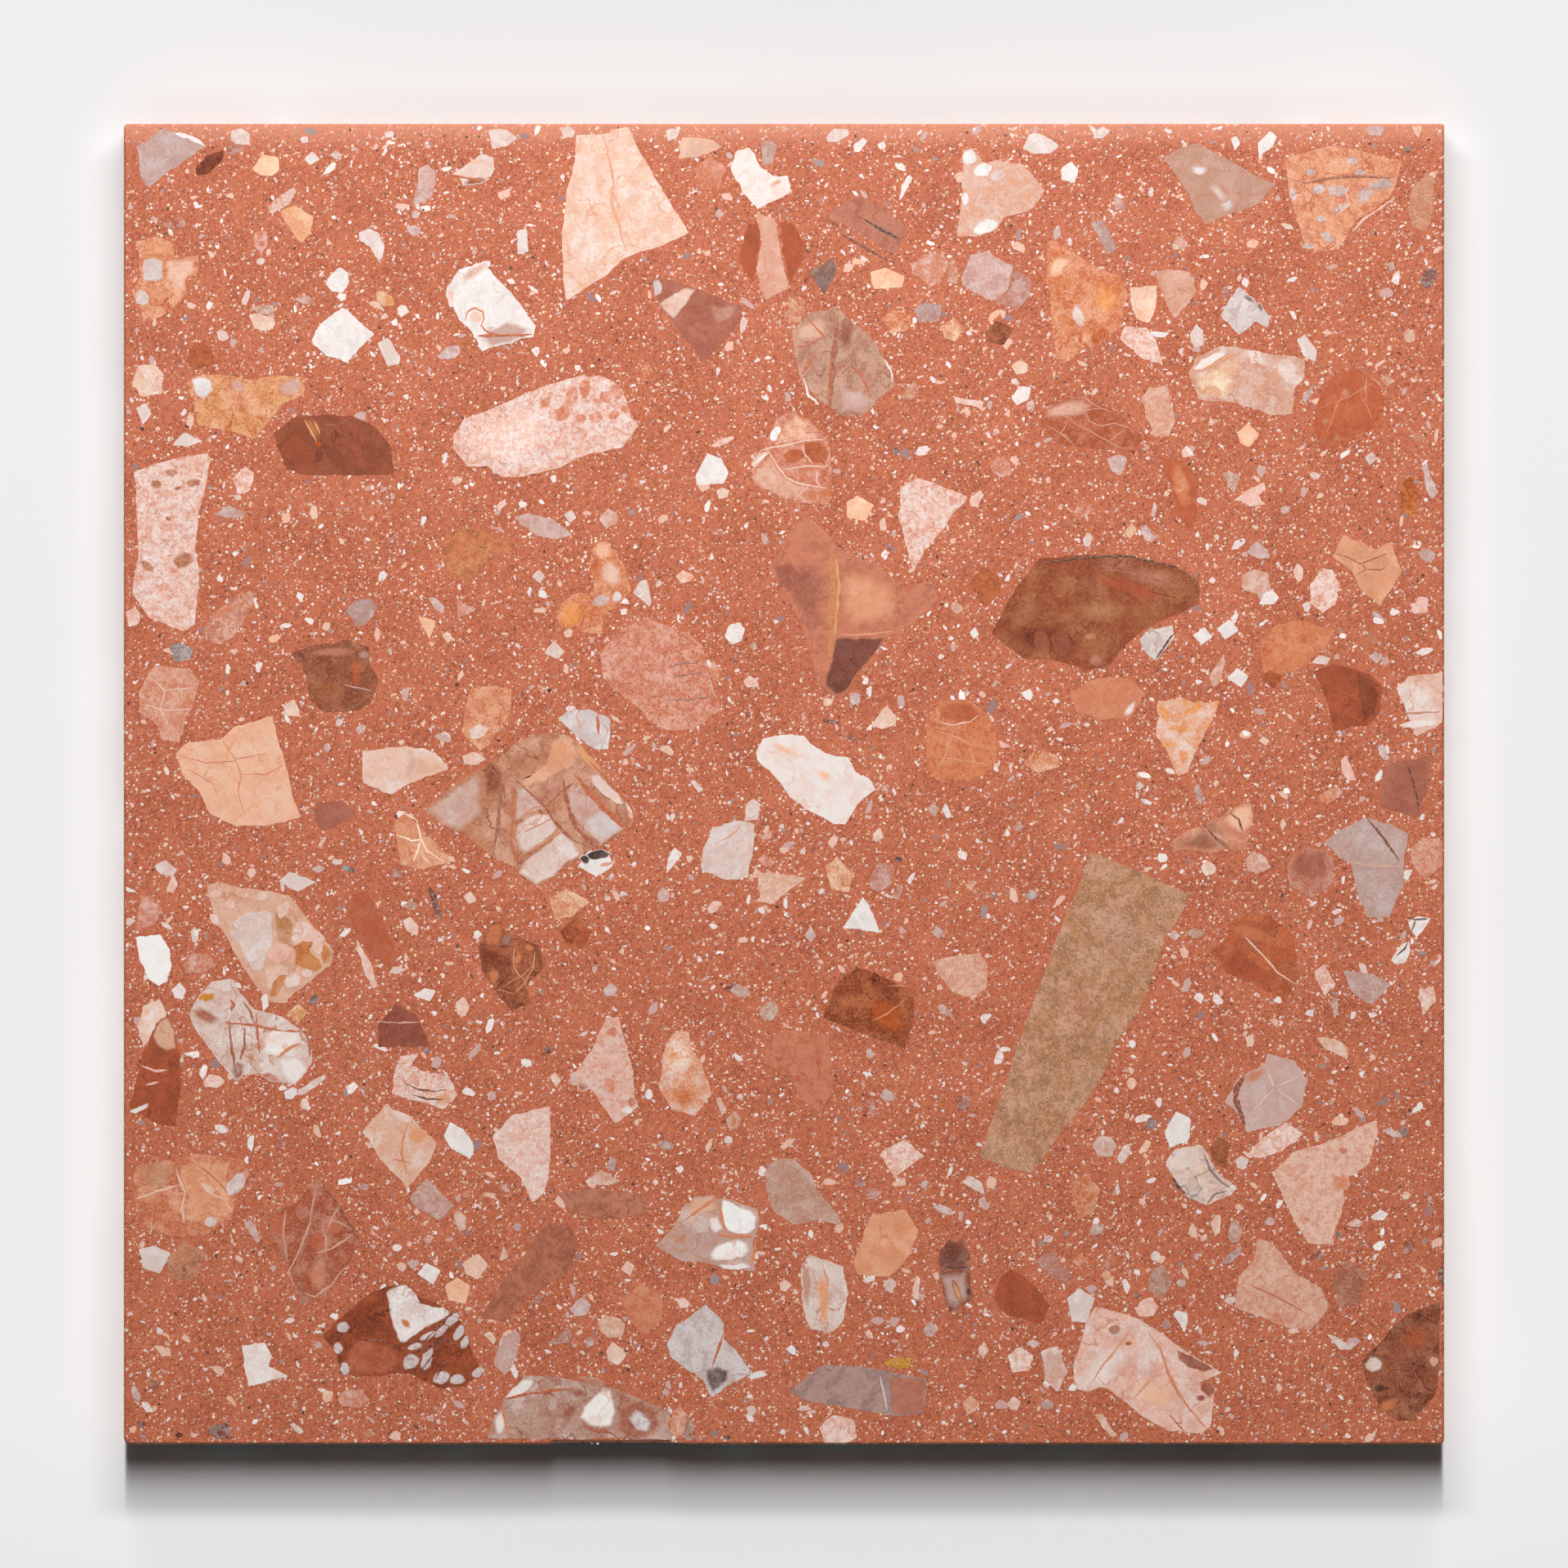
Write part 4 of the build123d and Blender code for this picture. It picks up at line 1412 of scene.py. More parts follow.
print(len(heap["chippings"]), "chippings so far")

# %% Chippings along the bottom
chip("rose", [(249, 1325), (256, 1315), (270, 1318), (276, 1325), (266, 1332), (251, 1331)])
chip("ivory", [(363, 1341), (367, 1334), (385, 1322), (398, 1315), (399, 1320), (385, 1332), (370, 1341)])
chip("cream", [(673, 1318), (680, 1313), (687, 1322), (681, 1332)])
chip("cocoa", [(665, 1285), (671, 1280), (678, 1283), (674, 1290), (667, 1290)])
chip("lilac", [(299, 1497), (307, 1494), (313, 1502), (319, 1518), (314, 1522), (306, 1510)])
chip("sand", [(611, 1543), (617, 1525), (623, 1540), (613, 1544)])
chip("plum", [(670, 1645), (680, 1637), (695, 1627), (702, 1630), (698, 1643), (680, 1646)])
chip("cream", [(592, 1634), (600, 1630), (608, 1640), (604, 1646)])
chip("peach", [(394, 1712), (398, 1702), (408, 1704), (407, 1714), (398, 1718)])
chip("salmon", [(413, 1712), (422, 1702), (445, 1702), (452, 1715), (440, 1724), (420, 1722)])
chip("ivory", [(355, 1744), (360, 1742), (372, 1752), (368, 1757), (360, 1751)])
chip("lilac", [(160, 1700), (165, 1696), (173, 1710), (170, 1716), (163, 1712)])
chip("blush", [(555, 1488), (562, 1482), (571, 1490), (570, 1506), (562, 1508)])
chip("taupe", [(929, 1240), (937, 1228), (948, 1225), (954, 1238), (945, 1250), (934, 1248)])
chip("taupe", [(1147, 1233), (1155, 1229), (1165, 1240), (1168, 1246), (1155, 1243)])
chip("lilac", [(1077, 1342), (1083, 1333), (1093, 1337), (1096, 1346), (1085, 1350)])
chip("brick", [(1059, 1338), (1064, 1334), (1070, 1350), (1074, 1364), (1068, 1368), (1062, 1352)])
chip("umber", [(1169, 1348), (1177, 1340), (1190, 1346), (1186, 1358), (1174, 1360)])
chip("blush", [(876, 1345), (882, 1343), (890, 1360), (884, 1366)])
chip("tan", [(889, 1370), (900, 1360), (908, 1370), (903, 1382), (892, 1382)])
chip("shell", [(863, 1405), (870, 1395), (872, 1402), (866, 1412)])
chip("slate", [(804, 1401), (812, 1396), (825, 1401), (824, 1408), (811, 1407)])
chip("slate", [(742, 1428), (748, 1416), (755, 1420), (753, 1434), (745, 1432)])
chip("blush", [(720, 1445), (735, 1432), (748, 1440), (760, 1446), (745, 1452), (728, 1450)])
chip("mauve", [(1059, 1460), (1066, 1454), (1080, 1458), (1076, 1468), (1064, 1468)])
chip("ivory", [(1177, 1447), (1190, 1440), (1202, 1448), (1206, 1462), (1195, 1458), (1185, 1452)])
chip("lilac", [(1197, 1470), (1205, 1465), (1212, 1478), (1208, 1482), (1200, 1477)])
chip("lilac", [(1141, 1478), (1150, 1474), (1165, 1480), (1168, 1488), (1155, 1487)])
chip("rose", [(1117, 1580), (1122, 1562), (1127, 1565), (1124, 1592), (1119, 1590)])
chip("dove", [(1081, 1573), (1090, 1564), (1098, 1570), (1092, 1584), (1085, 1580)])
chip("cream", [(954, 1571), (962, 1567), (969, 1573), (963, 1582), (956, 1580)])
chip("ash", [(1130, 1628), (1138, 1618), (1148, 1626), (1142, 1637), (1134, 1636)])
chip("lilac", [(1064, 1617), (1075, 1612), (1085, 1617), (1075, 1623)])
chip("snow", [(1097, 1626), (1103, 1622), (1109, 1627), (1104, 1632), (1098, 1631)])
chip("shell", [(1198, 1650), (1204, 1645), (1211, 1653), (1205, 1662), (1199, 1658)])
chip("apricot", [(1178, 1718), (1188, 1709), (1198, 1716), (1195, 1728), (1185, 1732)])
chip("ivory", [(914, 1724), (920, 1720), (927, 1726), (922, 1734), (916, 1732)])
chip("rose", [(829, 1594), (836, 1588), (845, 1595), (842, 1601), (833, 1602)])
chip("cream", [(742, 1654), (750, 1643), (760, 1650), (768, 1660), (757, 1672), (745, 1666)])
chip("sand", [(732, 1618), (742, 1610), (758, 1614), (766, 1625), (760, 1638), (745, 1638), (735, 1630)])
chip("lilac", [(697, 1603), (707, 1592), (715, 1588), (724, 1598), (718, 1610), (705, 1612)])
chip("rose", [(760, 1555), (768, 1543), (777, 1550), (772, 1562)])
chip("amber", [(823, 1730), (832, 1722), (842, 1733), (838, 1752), (832, 1762), (820, 1755)])
chip("umber", [(842, 1733), (850, 1745), (852, 1764), (834, 1762), (838, 1750)])
chip("sand", [
    (1612, 1270), (1622, 1270), (1640, 1274), (1651, 1284), (1650, 1297), (1635, 1290), (1622, 1284)
])
chip("slate", [(1631, 1222), (1638, 1222), (1638, 1244), (1633, 1242)])
chip("lead", [(1401, 1376), (1408, 1368), (1417, 1372), (1414, 1382), (1405, 1383)])
chip("dove", [(1337, 1403), (1345, 1391), (1360, 1392), (1367, 1402), (1362, 1416), (1345, 1416)])
chip("ivory", [(1368, 1418), (1376, 1402), (1383, 1401), (1384, 1412), (1376, 1424), (1370, 1424)])
chip("peach", [(1394, 1410), (1403, 1396), (1410, 1398), (1404, 1410), (1396, 1413)])
chip("ivory", [(1513, 1420), (1520, 1415), (1530, 1420), (1523, 1433), (1515, 1430)])
chip("peach", [(1629, 1374), (1638, 1366), (1652, 1370), (1648, 1378), (1635, 1378)])
chip("lilac", [(1692, 1384), (1702, 1381), (1715, 1388), (1717, 1394), (1705, 1392)])
chip("snow", [(1678, 1490), (1690, 1481), (1700, 1486), (1695, 1494), (1683, 1494)])
chip("blush", [(1648, 1500), (1660, 1492), (1670, 1496), (1664, 1503)])
chip("umber", [(1719, 1524), (1726, 1516), (1733, 1522), (1730, 1534), (1722, 1535)])
chip("shell", [(1482, 1498), (1490, 1487), (1495, 1488), (1494, 1508), (1488, 1514)])
chip("taupe", [(1503, 1515), (1507, 1497), (1514, 1493), (1521, 1505), (1518, 1520), (1508, 1522)])
chip("slate", [(1496, 1545), (1508, 1533), (1520, 1526), (1519, 1535), (1508, 1546), (1499, 1548)])
chip("rose", [(1390, 1605), (1398, 1592), (1410, 1588), (1418, 1600), (1412, 1612), (1396, 1612)])
chip("snow", [(1436, 1610), (1442, 1604), (1454, 1608), (1454, 1622), (1450, 1632), (1444, 1620)])
chip("lilac", [(1463, 1644), (1472, 1641), (1483, 1645), (1475, 1649)])
chip("ivory", [(1625, 1634), (1635, 1636), (1650, 1646), (1660, 1645), (1655, 1653), (1640, 1652)])
chip("lilac", [(1257, 1645), (1265, 1640), (1274, 1645), (1266, 1651)])
chip("shell", [(1233, 1718), (1241, 1710), (1250, 1716), (1246, 1727), (1237, 1726)])
chip("slate", [(1274, 1718), (1281, 1713), (1291, 1718), (1287, 1726), (1277, 1725)])
chip("sand", [(1340, 1732), (1350, 1731), (1360, 1748), (1368, 1758), (1362, 1760), (1352, 1750)])
chip("mauve", [(1352, 1550), (1358, 1535), (1361, 1538), (1357, 1557)])
chip("taupe", [(1332, 1508), (1340, 1498), (1352, 1499), (1350, 1510), (1338, 1513)])
chip("amber", [(1312, 1545), (1322, 1535), (1332, 1542), (1322, 1552)])
chip("cocoa", [(1761, 1555), (1768, 1548), (1768, 1572), (1762, 1570)])
pebble("cream", 373, 1352, 11, 16)
pebble("lilac", 602, 1342, 12, 12)
pebble("soot", 522, 1287, 8, 8)
pebble("snow", 486, 1528, 13, 9)
pebble("shell", 492, 1551, 12, 13)
pebble("umber", 660, 1591, 13, 11)
pebble("tan", 452, 1756, 18, 9)
pebble("mahogany", 173, 1745, 9, 8)
pebble("umber", 189, 1696, 14, 14)
pebble("slate", 445, 1453, 14, 9)
pebble("sienna", 571, 1463, 14, 9)
pebble("brick", 343, 1401, 14, 14)
pebble("slate", 633, 1502, 11, 12)
pebble("lilac", 1065, 1290, 10, 13)
pebble("snow", 794, 1340, 10, 14)
pebble("ivory", 906, 1343, 9, 7)
pebble("ivory", 892, 1396, 11, 10)
pebble("brick", 1050, 1445, 14, 9)
pebble("slate", 1132, 1450, 11, 10)
pebble("snow", 993, 1511, 7, 12)
pebble("slate", 722, 1643, 12, 13)
pebble("soot", 891, 1760, 9, 6)
pebble("snow", 1419, 1350, 8, 13)
pebble("peach", 1386, 1327, 14, 14)
pebble("lead", 1719, 1386, 10, 15)
pebble("cream", 1722, 1464, 13, 10)
pebble("soot", 1639, 1512, 8, 8)
pebble("umber", 1613, 1538, 18, 15)
pebble("lilac", 1555, 1495, 13, 11)
pebble("ivory", 1415, 1538, 13, 13)
pebble("lilac", 1447, 1571, 13, 11)
pebble("cocoa", 1392, 1587, 8, 8)
pebble("slate", 1428, 1622, 11, 12)
pebble("lilac", 1284, 1517, 13, 9)
pebble("honey", 1355, 1562, 11, 13)
print(len(heap["chippings"]), "chippings in all")

# %% [markdown]
# ## Marks inside the stones
#
# Half of a marble's looks is what lies inside it: a white pebble, a rusty stain, a darker band. Each such
# patch is a thin sheet of stone on its host, drawn like the host itself. Its tones run into the
# host's over a rim, so a patch can be crisp as a pebble or soft as a stain.


# %% Patches and pebbles
def inlay(host, colour, corners, soft=0.15, pale=None, dark=None, over=None):
    """A patch of another colour inside a stone. Soft is the share of the patch that its rim takes.

    The rim runs into the host's tones, or into the tone named as lying under it.
    """
    kind = kind_of[host]
    earlier = sum(facts["host"] == host for facts in heap[kind])
    level = PATCH_PROUD + PATCH_STEP * earlier
    stone(kind, f"{host}_patch_{earlier}", colour, corners, pale, dark, level, None, host, soft, over)


def clast(host, colour, column, row, length, width, turn=0, soft=0.15, pale=None, dark=None, over=None):
    """An uneven oval pebble: middle, length and width in pixels, and turn anticlockwise in degrees."""
    angles = np.linspace(0, 2 * np.pi, 10, endpoint=False)
    uneven = np.random.default_rng(column + PHOTO_SIDE * row).uniform(0.84, 1.14, 10)
    long_way = 0.5 * length * uneven * np.cos(angles)
    short_way = 0.5 * width * uneven * np.sin(angles)
    cosine, sine = np.cos(np.radians(turn)), np.sin(np.radians(turn))
    columns = column + long_way * cosine - short_way * sine
    rows = row - long_way * sine - short_way * cosine
    inlay(host, colour, np.column_stack([columns, rows]), soft, pale, dark, over)


# %% The great conglomerate
inlay("conglomerate", "dove", [
    (519, 992), (545, 975), (590, 942), (587, 967), (591, 995), (577, 1010), (560, 1020), (532, 1002)
], 0.25, "ivory", "taupe")
inlay("conglomerate", "umber", [
    (590, 941), (604, 932), (615, 937), (617, 957), (610, 980), (595, 975)
], 0.5, "tan", "cocoa")
inlay("conglomerate", "apricot", [
    (677, 904), (695, 900), (710, 912), (705, 937), (680, 950), (645, 965), (636, 958), (655, 946), (670, 935)
], 0.2, "peach", "tan")
inlay("conglomerate", "honey", [
    (705, 905), (722, 925), (742, 945), (735, 950), (718, 935), (703, 918)
], 0.4, "sand")
inlay("conglomerate", "mauve", [
    (655, 967), (667, 957), (700, 942), (690, 965), (667, 982)
], 0.4, "blush", "plum")
inlay("conglomerate", "ivory", [
    (635, 1070), (641, 1055), (665, 1037), (689, 1017), (702, 1030), (711, 1045), (695, 1057), (677, 1072),
    (656, 1085), (645, 1077)
], 0.12, "snow", "blush")
inlay("conglomerate", "ivory", [
    (631, 1010), (655, 997), (677, 995), (685, 1012), (665, 1032), (640, 1047), (631, 1035)
], 0.15, "snow", "blush")
inlay("conglomerate", "blush_grey", [
    (632, 965), (645, 965), (660, 980), (668, 990), (645, 997), (631, 1006)
], 0.2, "ivory", "mauve")
inlay("conglomerate", "dove", [
    (697, 962), (712, 960), (722, 975), (740, 990), (757, 1005), (766, 1016), (751, 1022), (736, 1035),
    (722, 1022), (707, 1007), (697, 992), (694, 977)
], 0.12, "ivory", "mauve")
inlay("conglomerate", "pearl", [
    (716, 1004), (735, 991), (757, 1005), (764, 1015), (751, 1022), (736, 1034), (722, 1021)
], 0.3, "mist", "dove", over="dove")
inlay("conglomerate", "ivory", [
    (721, 950), (731, 947), (745, 960), (760, 975), (765, 987), (755, 985), (737, 972), (725, 960)
], 0.2, "snow", "shell")
inlay("conglomerate", "shell", [(765, 980), (778, 990), (776, 1007), (770, 1002)], 0.3, "snow", "apricot")

# %% Red and white breccia near the lower left corner
inlay("red_white", "brick", [
    (417, 1664), (422, 1645), (442, 1639), (470, 1644), (489, 1651), (495, 1665), (490, 1681), (465, 1684),
    (432, 1685), (418, 1679)
], 0.3, "coral", "oxblood")
inlay("red_white", "snow", [
    (470, 1582), (481, 1575), (497, 1573), (508, 1582), (515, 1595), (530, 1600), (545, 1600), (552, 1606),
    (545, 1614), (530, 1622), (515, 1630), (505, 1637), (496, 1645), (488, 1645), (484, 1630),
    (478, 1612), (476, 1597)
], 0.08, "chalk", "dove")
clast("red_white", "amber", 497, 1621, 20, 12, -50, 0.6, over="chalk")
for column, row, length, width, turn in [
    (554, 1616, 25, 12, 50), (540, 1630, 22, 10, 45), (562, 1632, 22, 12, 60), (524, 1636, 25, 8, 30),
    (569, 1644, 18, 10, 70), (503, 1668, 24, 20, 20), (523, 1665, 32, 14, 65), (541, 1687, 24, 16, 20),
    (560, 1689, 20, 14, 0), (420, 1625, 18, 14, 0), (414, 1651, 13, 16, 0), (422, 1676, 12, 18, 10),
    (586, 1680, 18, 13, 30), (508, 1649, 19, 9, 15),
]:
    clast("red_white", "pearl", column, row, length, width, turn, 0.2, "snow", "slate")

# %% Milky quartz along the bottom edge and above it
inlay("quartz_bottom", "snow", [
    (617, 1712), (630, 1698), (643, 1688), (654, 1690), (648, 1702), (632, 1711)
], 0.15)
inlay("quartz_bottom", "chalk", [
    (708, 1736), (715, 1722), (728, 1708), (740, 1698), (748, 1700), (752, 1715), (754, 1730), (748, 1748),
    (735, 1750), (720, 1745)
], 0.2, "chalk", "shell")
inlay("quartz_bottom", "plum", [
    (753, 1701), (772, 1708), (790, 1715), (805, 1726), (812, 1745), (808, 1762), (788, 1762), (765, 1762),
    (752, 1755), (757, 1735)
], 0.25, "blush", "garnet")
inlay("quartz_bottom", "mist", [
    (768, 1736), (777, 1724), (790, 1730), (799, 1742), (794, 1755), (778, 1752)
], 0.35, "pearl", "plum", over="plum")
clast("quartz_bottom", "garnet", 697, 1728, 24, 14, 40, 0.5)
clast("quartz_bottom", "garnet", 706, 1705, 26, 14, -10, 0.5)
clast("quartz_bottom", "mauve", 728, 1692, 30, 10, -15, 0.4)
clast("quartz_bottom", "snow", 612, 1742, 16, 30, 0, 0.4)
inlay("quartz_low", "sand", [
    (838, 1482), (850, 1466), (874, 1463), (880, 1480), (860, 1486), (844, 1497)
], 0.3)
inlay("quartz_low", "chalk", [
    (884, 1468), (893, 1470), (905, 1478), (919, 1482), (927, 1492), (926, 1505), (918, 1511), (905, 1512),
    (893, 1509), (886, 1500), (883, 1485)
], 0.12, "chalk", "mist")
inlay("quartz_low", "chalk", [
    (868, 1537), (875, 1526), (890, 1519), (905, 1517), (916, 1521), (919, 1532), (911, 1540), (895, 1543),
    (880, 1545), (870, 1543)
], 0.25, "chalk", "shell")
inlay("quartz_low", "snow", [
    (876, 1548), (896, 1549), (914, 1546), (922, 1552), (905, 1555), (886, 1554)
], 0.3)
inlay("quartz_low", "snow", [(868, 1491), (879, 1489), (885, 1504), (877, 1511), (870, 1504)], 0.3)
inlay("quartz_left", "ochre", [
    (241, 1223), (249, 1216), (263, 1216), (263, 1222), (252, 1227)
], 0.2, "marigold", "burnt")
inlay("quartz_left", "plum", [
    (232, 1236), (245, 1232), (262, 1240), (273, 1250), (262, 1257), (248, 1251), (238, 1246)
], 0.5)
inlay("quartz_left", "snow", [
    (319, 1264), (344, 1259), (368, 1263), (371, 1275), (355, 1285), (338, 1295), (325, 1290), (317, 1278)
], 0.3, "chalk", "shell")
inlay("quartz_left", "snow", [
    (343, 1301), (359, 1293), (374, 1301), (376, 1312), (364, 1325), (352, 1325), (345, 1315)
], 0.3)
inlay("quartz_left", "umber", [
    (283, 1303), (291, 1297), (300, 1303), (297, 1320), (288, 1324), (282, 1315)
], 0.4)
inlay("quartz_left", "burnt", [(317, 1315), (330, 1312), (340, 1317), (344, 1326), (330, 1324)], 0.4)
inlay("quartz_cap", "lilac", [
    (597, 398), (612, 402), (632, 404), (652, 400), (652, 409), (630, 416), (610, 424), (597, 424), (590, 408)
], 0.3, "lilac", "slate")
clast("quartz_cap", "blush", 582, 332, 44, 14, 35, 0.6)
clast("quartz_cap", "shell", 552, 362, 10, 26, 0, 0.6)
clast("quartz_cap", "cream", 583, 388, 20, 16, 0, 0.3)
inlay("quartz_right", "sand", [
    (1462, 463), (1476, 455), (1500, 441), (1522, 433), (1518, 455), (1508, 480), (1502, 489),
    (1480, 489), (1466, 484)
], 0.35, "custard", "honey")
inlay("quartz_right", "snow", [
    (1459, 454), (1470, 441), (1490, 431), (1504, 431), (1490, 442), (1471, 453)
], 0.2)
inlay("quartz_lozenge", "sand", [
    (497, 918), (520, 916), (540, 928), (547, 940), (528, 950), (505, 952), (496, 936)
], 0.3)
clast("quartz_small_top", "umber", 581, 222, 36, 10, 8, 0.5)
clast("quartz_tall", "marigold", 1008, 1590, 16, 76, 5, 0.6)
clast("quartz_edge_right", "snow", 1738, 886, 50, 12, 5, 0.4)
inlay("quartz_black", "ivory", [
    (1428, 1424), (1442, 1409), (1468, 1404), (1472, 1424), (1452, 1432), (1440, 1436)
], 0.2, "snow", "cream")

# %% Salmon, rose and cream stones
inlay("salmon_big", "plum", [
    (951, 697), (973, 686), (1001, 680), (1013, 708), (1010, 742), (1004, 770), (993, 787), (979, 756),
    (965, 731)
], 0.5, "mauve", "garnet")
inlay("salmon_big", "garnet", [(948, 694), (968, 689), (979, 703), (968, 725), (956, 717)], 0.6, over="plum")
inlay("salmon_big", "fig", [
    (1024, 781), (1054, 780), (1083, 781), (1069, 804), (1052, 821), (1035, 849), (1021, 852),
    (1010, 840), (1015, 815)
], 0.1, "garnet", "cocoa")
inlay("salmon_big", "apricot", [
    (1030, 700), (1062, 702), (1090, 712), (1102, 740), (1090, 762), (1040, 768), (1028, 740)
], 0.4)
clast("salmon_net", "chalk", 950, 531, 22, 13, 65, 0.15, "chalk", "pearl")
inlay("salmon_net", "sand", [
    (920, 585), (928, 568), (940, 558), (949, 568), (958, 581), (970, 590), (983, 598), (986, 611),
    (965, 611),
    (945, 604), (928, 595)
], 0.25, "shell", "salmon")
inlay("salmon_net", "peach", [
    (960, 516), (975, 506), (990, 516), (996, 530), (1005, 536), (985, 540), (965, 541), (945, 548),
    (950, 541)
], 0.25, "shell", "sienna")
clast("salmon_net", "rust", 1000, 553, 36, 28, -30, 0.12, "sienna", "oxblood")
clast("salmon_net", "rust", 972, 558, 28, 18, 20, 0.12, "sienna", "oxblood")
clast("salmon_net", "sienna", 992, 606, 20, 15, 0, 0.15)
clast("salmon_net", "sienna", 1012, 606, 14, 16, 0, 0.15)
inlay("net_brown", "rust", [
    (328, 1490), (340, 1482), (352, 1488), (350, 1505), (340, 1516), (332, 1506)
], 0.15)
clast("net_brown", "rust", 407, 1504, 22, 18, 0, 0.15)
clast("net_brown", "rust", 389, 1521, 18, 20, 0, 0.15)
inlay("net_brown", "salmon", [
    (378, 1560), (385, 1545), (395, 1538), (401, 1548), (399, 1570), (390, 1581), (380, 1575)
], 0.4)
inlay("rose_long", "rose", [
    (562, 540), (600, 515), (648, 491), (668, 502), (674, 530), (660, 556), (630, 572), (602, 566), (572, 556)
], 0.35, "chalk", "rose")
for column, row, length, width in [
    (700, 486, 24, 18), (689, 506, 24, 20), (716, 476, 24, 15), (741, 486, 18, 16), (755, 480, 15, 19),
    (730, 511, 18, 14), (752, 508, 16, 12), (765, 501, 10, 14), (712, 512, 12, 14), (668, 492, 16, 11),
]:
    clast("rose_long", "coral", column, row, length, width, column % 90, 0.15, "rose", "sienna")
for column, row, length, width, turn in [
    (210, 579, 18, 10, 0), (191, 593, 17, 12, -20), (237, 591, 20, 12, 10), (218, 598, 9, 6, 0),
    (206, 635, 9, 6, 0),
    (224, 686, 26, 20, 30), (180, 693, 20, 12, -40),
]:
    clast("rose_tall_left", "tan", column, row, length, width, turn, 0.25, "blush", "umber")
clast("rose_clast_tri", "snow", 1187, 192, 20, 21, 0, 0.2, "chalk", "pearl")
clast("rose_clast_tri", "snow", 1203, 208, 26, 18, 20, 0.2, "chalk", "pearl")
clast("rose_clast_tri", "snow", 1182, 243, 10, 18, 0, 0.3, "chalk", "pearl")
clast("rose_clast_tri", "snow", 1207, 278, 34, 18, 25, 0.2, "chalk", "pearl")
clast("rose_clast_tri", "ivory", 1222, 215, 22, 16, 20, 0.4, "mist", "lilac")
clast("rose_low_b", "amber", 746, 1328, 16, 24, 20, 0.3)
clast("rose_low_b", "sienna", 750, 1263, 17, 12, -10, 0.3)
clast("rose_low_b", "rust", 774, 1349, 12, 13, 0, 0.3)
clast("rose_low_b", "plum", 714, 1331, 15, 13, 0, 0.5)
clast("rose_low_b", "lilac", 703, 1322, 11, 18, 0, 0.4)
clast("rose_low_b", "snow", 768, 1359, 15, 11, 0, 0.4)
inlay("cream_low_right", "garnet", [
    (1440, 1652), (1460, 1661), (1488, 1676), (1475, 1680), (1455, 1675), (1442, 1663)
], 0.12)
inlay("cream_low_right", "garnet", [
    (1470, 1691), (1484, 1693), (1489, 1704), (1480, 1711), (1470, 1702)
], 0.12)
clast("cream_low_right", "garnet", 1470, 1712, 12, 8, 0, 0.2)
clast("cream_low_right", "plum", 1365, 1628, 17, 14, 30, 0.25)
clast("cream_low_right", "rust", 1382, 1645, 9, 6, 0, 0.3)
clast("cream_low_right", "peach", 1412, 1706, 66, 40, -20, 0.7)
clast("cream_low_right", "snow", 1352, 1674, 84, 46, 40, 0.9)
clast("pale_diagonal", "peach", 960, 918, 44, 12, -25, 0.7)
clast("pale_diagonal", "peach", 1010, 950, 26, 14, -30, 0.7)
inlay("pointed_pink", "plum", [
    (1432, 1034), (1460, 1018), (1490, 1000), (1500, 1012), (1505, 1034), (1480, 1040), (1450, 1040)
], 0.35)
clast("cream_diamond", "apricot", 512, 1391, 25, 19, 0, 0.3)

# %% Beige conglomerate
inlay("beige_conglomerate", "ivory", [
    (284, 1131), (292, 1122), (305, 1116), (320, 1115), (332, 1118), (333, 1135), (336, 1150), (332, 1165),
    (325, 1175), (320, 1189), (310, 1189), (302, 1175), (295, 1160), (284, 1147), (281, 1142), (290, 1138)
], 0.05, "snow", "dove")
inlay("beige_conglomerate", "khaki", [
    (336, 1115), (350, 1120), (360, 1130), (358, 1155), (350, 1160), (340, 1155), (337, 1135)
], 0.2, "sand", "ginger")
inlay("beige_conglomerate", "rose", [
    (362, 1130), (375, 1130), (390, 1140), (400, 1150), (395, 1153), (375, 1155), (362, 1158), (357, 1150)
], 0.06, "snow", "blush")
inlay("beige_conglomerate", "rose", [
    (326, 1165), (335, 1155), (350, 1155), (357, 1163), (353, 1175), (340, 1180), (328, 1175)
], 0.08, "shell", "coral")
inlay("beige_conglomerate", "ginger", [
    (358, 1159), (370, 1152), (387, 1153), (378, 1159), (382, 1168), (392, 1175), (396, 1185), (388, 1190),
    (372, 1188), (360, 1180), (362, 1170)
], 0.12, "honey", "burnt")
inlay("beige_conglomerate", "ginger", [
    (335, 1196), (350, 1191), (352, 1200), (345, 1210), (338, 1221), (330, 1221)
], 0.15)
inlay("beige_conglomerate", "shell", [
    (325, 1186), (340, 1181), (353, 1184), (354, 1193), (343, 1194), (334, 1203), (329, 1214), (326, 1200)
], 0.06, "snow", "blush")
clast("beige_conglomerate", "ginger", 398, 1168, 12, 24, 0, 0.25)
clast("beige_conglomerate", "rose", 388, 1160, 15, 18, 20, 0.08, "snow", "blush")
for column, row, length, width, turn in [
    (282, 1107, 15, 12, 0), (264, 1094, 17, 10, 20), (320, 1098, 15, 12, 0), (347, 1114, 22, 15, 70),
    (263, 1126, 17, 9, -60), (358, 1201, 22, 18, 30), (376, 1192, 14, 12, 0), (300, 1096, 10, 8, 0),
]:
    clast("beige_conglomerate", "shell", column, row, length, width, turn, 0.1, "snow", "blush")

